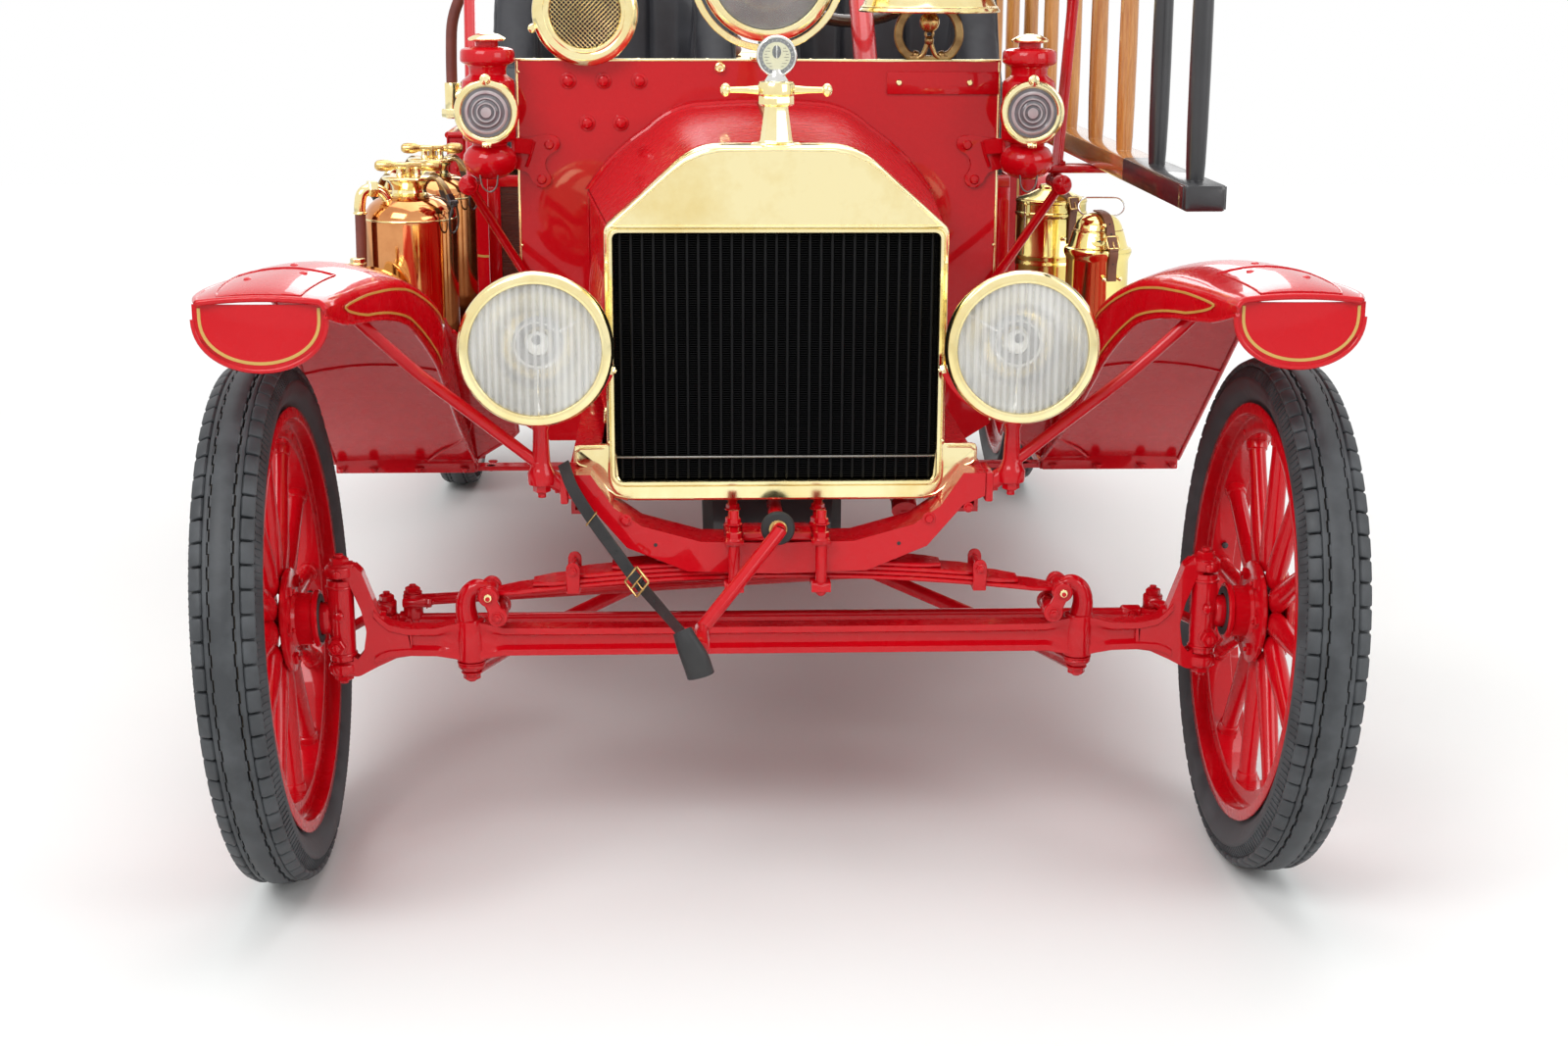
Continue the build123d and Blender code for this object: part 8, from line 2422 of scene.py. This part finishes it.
def make_chemical_tank():
    """The copper tank with its bands, gauge and outlet valve."""
    tank = Piece().use(COPPER)
    tank.lathe([(0, -540), (60, -538), (110, -530), (150, -516), (178, -496), (188, -480), (190, -468), (190, 468),
                (188, 480), (178, 496), (150, 516), (110, 530), (60, 538), (0, 540)], (0, TANK_Y, TANK_Z), LEFT, 96)
    for x in (-474, -236, 236, 474):
        tank.use(BRASS).lathe([(189.6, -13), (192.6, -12), (193.2, -10), (193.2, 10), (192.6, 12), (189.6, 13)],
                              (x, TANK_Y, TANK_Z), LEFT, 96, whole=True)
    for side in (1, -1):
        for k in range(44):
            a = math.tau * k / 44
            out = Vector((0, math.cos(a), math.sin(a)))
            tank.use(COPPER).rivet(Vector((side * 455, TANK_Y, TANK_Z)) + out * 189.6, out, 3.4, 0.6)
    tank.use(BRASS).lathe([(0, 186), (46, 187), (48, 192), (48, 199), (44, 203), (30, 204.5), (30, 216), (26, 220),
                           (0, 221)], (120, TANK_Y, TANK_Z), UP, 40)
    for a in range(6):
        tank.nut((120 + 39 * math.cos(a * math.pi / 3), TANK_Y + 39 * math.sin(a * math.pi / 3), TANK_Z + 203), UP, 10,
                 6)
    tank.lathe([(0, 0), (17, 0), (18, 2), (18, 12), (14, 18), (0, 20)], (-180, TANK_Y, TANK_Z + 187), UP, 28)
    tank.drum((-180, TANK_Y - 4, TANK_Z + 232), (0, 1, 0.2), 34, 18, 4, 40)
    tank.use(DIAL).drum((-180, TANK_Y - 13.6, TANK_Z + 230.4), (0, 1, 0.2), 29, 1.6, 0.5, 40)
    tank.use(BRASS).rod((-180, TANK_Y, TANK_Z + 200), (-180, TANK_Y, TANK_Z + 208), 9, 1)
    tank.rod((-532, TANK_Y, 940), (-586, TANK_Y, 940), 16, 2, 28)
    tank.lathe([(16, 0), (26, 0), (27, 3), (26, 8), (16, 9)], (-536, TANK_Y, 940), (-1, 0, 0), 32, whole=True)
    tank.rod((VALVE_X, TANK_Y, 926), (VALVE_X, TANK_Y, 1006), 17.6, 3, 28)
    tank.ball((VALVE_X, TANK_Y, 934), 20, 22)
    tank.lathe([(17, 0), (23, 1), (23.6, 4), (23, 14), (17, 15)], (VALVE_X, TANK_Y, 990), UP, 6, whole=True)
    tank.tube(curve_points([(VALVE_X, TANK_Y, 1000), (-580, TANK_Y, 1018), (-604, TANK_Y, 1028), (-634, TANK_Y, 1026),
                            (OUTLET_X, TANK_Y, 1012)], 6), 15, 20)
    tank.rod((OUTLET_X, TANK_Y, 972), (OUTLET_X, TANK_Y, 1052), 16.6, 3, 28)
    tank.lathe([(16, -10), (24, -9), (25, -5), (25, 5), (24, 9), (16, 10)], (OUTLET_X, TANK_Y, 984), UP, 6, whole=True)
    tank.rod((VALVE_X, TANK_Y, 1004), (VALVE_X, TANK_Y, 1046), 7, 1)
    tank.rod((-626, TANK_Y, 1048), (-526, TANK_Y, 1048), 7.6, 2)
    for x in (-624, -528):
        tank.ball((x, TANK_Y, 1048), 10, 16)
    tank.done("chemical_tank_riveted", slot="copper", stands_for=["chemical_tank"], crease=30)


def make_rails():
    """The tank's cradles, and the bed's rails with their balls and flanges."""
    dressed("cradles", RED)
    dressed("bed_rails", BRASS)
    rails = Piece().use(BRASS)
    for side in (1, -1):
        for y in (806, 1490):
            rails.ball((side * 500, y, 1080), 16, 20)
            rails.lathe([(9, 0), (22, 0), (23, 2), (20, 6), (14, 10), (12, 18), (9, 20)],
                        (side * 500, y + (8 if y < 1000 else -8), 957), UP, 24, whole=True)
        for x, y in ((410, 364), (410, 772)):
            rails.ball((side * x, y, 1240), 10, 16).ball((side * x, y, 1108), 9, 16)
            rails.ball((side * x, y, 1254), 9, 16)
    rails.done("rail_fittings", slot="brass")


# ------------------------------------- steps, boards, rear fenders, underside
def make_boards():
    """Tail step, floor, running boards and rear fenders with their mats, edges and lamp."""
    dressed("tail_step", FLOOR_WOOD)
    dressed("floor", FLOOR_WOOD)
    dressed("running_boards", RED)
    dressed("rear_fenders", RED)
    trim = Piece()
    for x in range(-396, 400, 36):
        trim.use(RUBBER_MAT).block((x, 1520, 454), (x + 22, 1738, 459.6), 1.6)
    trim.use(BRASS).block((-421, 1744, 439), (421, 1751, 461), 2)
    for side in (1, -1):
        trim.block((side * 423 - 3, 1508, 439), (side * 423 + 3, 1750, 461), 2)
        for x in range(6):
            trim.use(RUBBER_MAT).tube([(side * (524 + x * 38), -660, 457), (side * (524 + x * 38), 690, 457)], 0,
                                      flat=(26, 4.4), up=UP)
        trim.use(BRASS).block((side * 741 - 2.4, -690, 439), (side * 741 + 2.4, 716, 459), 1.5)
        trim.block((side * 500, 714, 439), (side * 742, 720, 459), 1.5)
        for y in (-640, -600, -90, -54, 640, 676):
            trim.use(RED).nut((side * 480, y, 441), DOWN, 12, 7)
        for y in range(-600, 700, 110):
            trim.use(RED).rivet((side * 416, y, 524.5), (side * 0.6, 0, 0.8), 4.4)
        for y in range(-560, 720, 160):
            trim.use(RED).nut((side * 301, y, 560), (side, 0, 0), 12, 6, 6, 3)
        # rear fender bead, stripe and stays
        for x in (640, 800):
            trim.use(RED).tube(arc((side * x, 1148, 381), 451, 3, 177, 48, "YZ"), 4.6, 10)
        trim.use(GOLD_LINE)
        for x in (658, 782):
            under, over = [arc((side * x, 1148, 381), r, 8, 172, 48, "YZ") for r in (452.6, 454.2)]
            near, far = side * x - 1.7, side * x + 1.7
            trim.skin([[(near, p.y, p.z), (far, p.y, p.z), (far, q.y, q.z), (near, q.y, q.z)]
                       for p, q in zip(under, over)])
    for side in (1, -1):
        trim.use(BLACK)
        trim.rod((side * 380, 1520, 500), (side * 380, 1700, 446), 8, 2)
    trim.use(BRASS).lathe([(0, 0), (34, 0), (38, 4), (38, 60), (34, 66), (20, 72), (20, 88), (0, 90)],
                          (-560, 1530, 700), UP, 36)
    trim.use(RUBY).lathe([(0, 0), (24, 0), (20, 6), (10, 10), (0, 11)], (-560, 1567, 732), AFT, 32)
    trim.use(BRASS).hoop((-560, 1568, 732), AFT, 25, 3.4, 40, 10)
    trim.block((-575, 1508, 690), (-545, 1560, 700), 2)
    trim.done("boards_and_fender_trim", slot="red_paint")


def make_engine():
    """The engine's block with its nuts, pan, exhaust and ports."""
    dressed("engine", IRON)
    motor = Piece().use(IRON)
    for k in range(4):
        for side in (1, -1):
            motor.nut((side * 96, FRONT_AXLE_Y + 190 + k * 115, 800), UP, 17, 12)
            motor.nut((side * 34, FRONT_AXLE_Y + 190 + k * 115, 800), UP, 17, 12)
    for side in (1, -1):
        for y in range(170, 620, 55):
            motor.nut((side * 120, FRONT_AXLE_Y + y, 560), DOWN, 11, 6, 6, 2)
    pan = ((-1, 556), (1, 556), (0.96, 470), (0.7, 436), (0, 424), (-0.7, 436), (-0.96, 470))
    motor.use(BLACK).skin([[(x * w, FRONT_AXLE_Y + y, z) for x, z in pan]
                           for y, w in ((148, 80), (152, 106), (380, 108), (616, 108), (622, 90))])
    motor.use(BRASS).lathe([(0, 0), (24, 0), (26, 2), (26, 40), (20, 46), (0, 46)], (-156, FRONT_AXLE_Y + 320, 690), UP,
                           28)
    exhaust = [(143, 200, 730), (168, 240, 724), (172, 480, 712), (168, 600, 660), (150, 690, 580)]
    motor.use(IRON).tube(curve_points(points_at(FRONT_AXLE_Y, exhaust), 6), 22, 20)
    for k in range(4):
        motor.drum((150, FRONT_AXLE_Y + 220 + k * 90, 726), LEFT, 20, 26, 4)
    motor.done("engine_fittings", slot="grey_iron")


def make_underside():
    """Frame rails, radius rods and rear axle, with their rivets and nuts."""
    dressed("frame_rails", RED)
    dressed("radius_rods", RED)
    dressed("rear_axle", RED)
    under = Piece().use(RED)
    for side in (1, -1):
        for y in range(-1300, 1500, 140):
            under.rivet((side * 300.2, y, 588), (side, 0, 0), 5)
            under.rivet((side * 300.2, y + 46, 544), (side, 0, 0), 5)
        for y in (-142, 1148, 1468):
            for dy in (-24, 24):
                under.nut((side * 300, y + dy, 566), (side, 0, 0), 14, 8)
        under.nut((side * PERCH_X, FRONT_AXLE_Y, 300), DOWN, 22, 12)
        for k in range(10):
            a = math.tau * k / 10
            under.nut((side * 22, REAR_AXLE_Y + 104 * math.cos(a), 381 + 104 * math.sin(a)), (side, 0, 0), 12, 8)
    under.done("frame_rivets", slot="red_paint")


for make in (set_camera, set_studio, make_chemical_hose, make_extinguisher_hoses, make_wheels, make_radiator_shell,
             make_radiator_core, make_radiator_cap, make_headlamps, make_lamp_irons, make_front_fenders, make_dash,
             make_hood_top, make_hood_sides, make_side_lamps, make_front_axle, make_springs, make_spring_clamps,
             make_steering_links, make_crank, make_crank_strap, make_siren, make_searchlight, make_bell,
             make_signal_posts, make_steering_column, make_hand_wheel, make_ladder, make_ladder_hangers,
             make_extinguishers, make_gas_drum, make_cans, make_cushions, make_seat_backs, make_seat_box, make_hose_bed,
             make_chemical_tank, make_rails, make_boards, make_engine, make_underside):
    make()
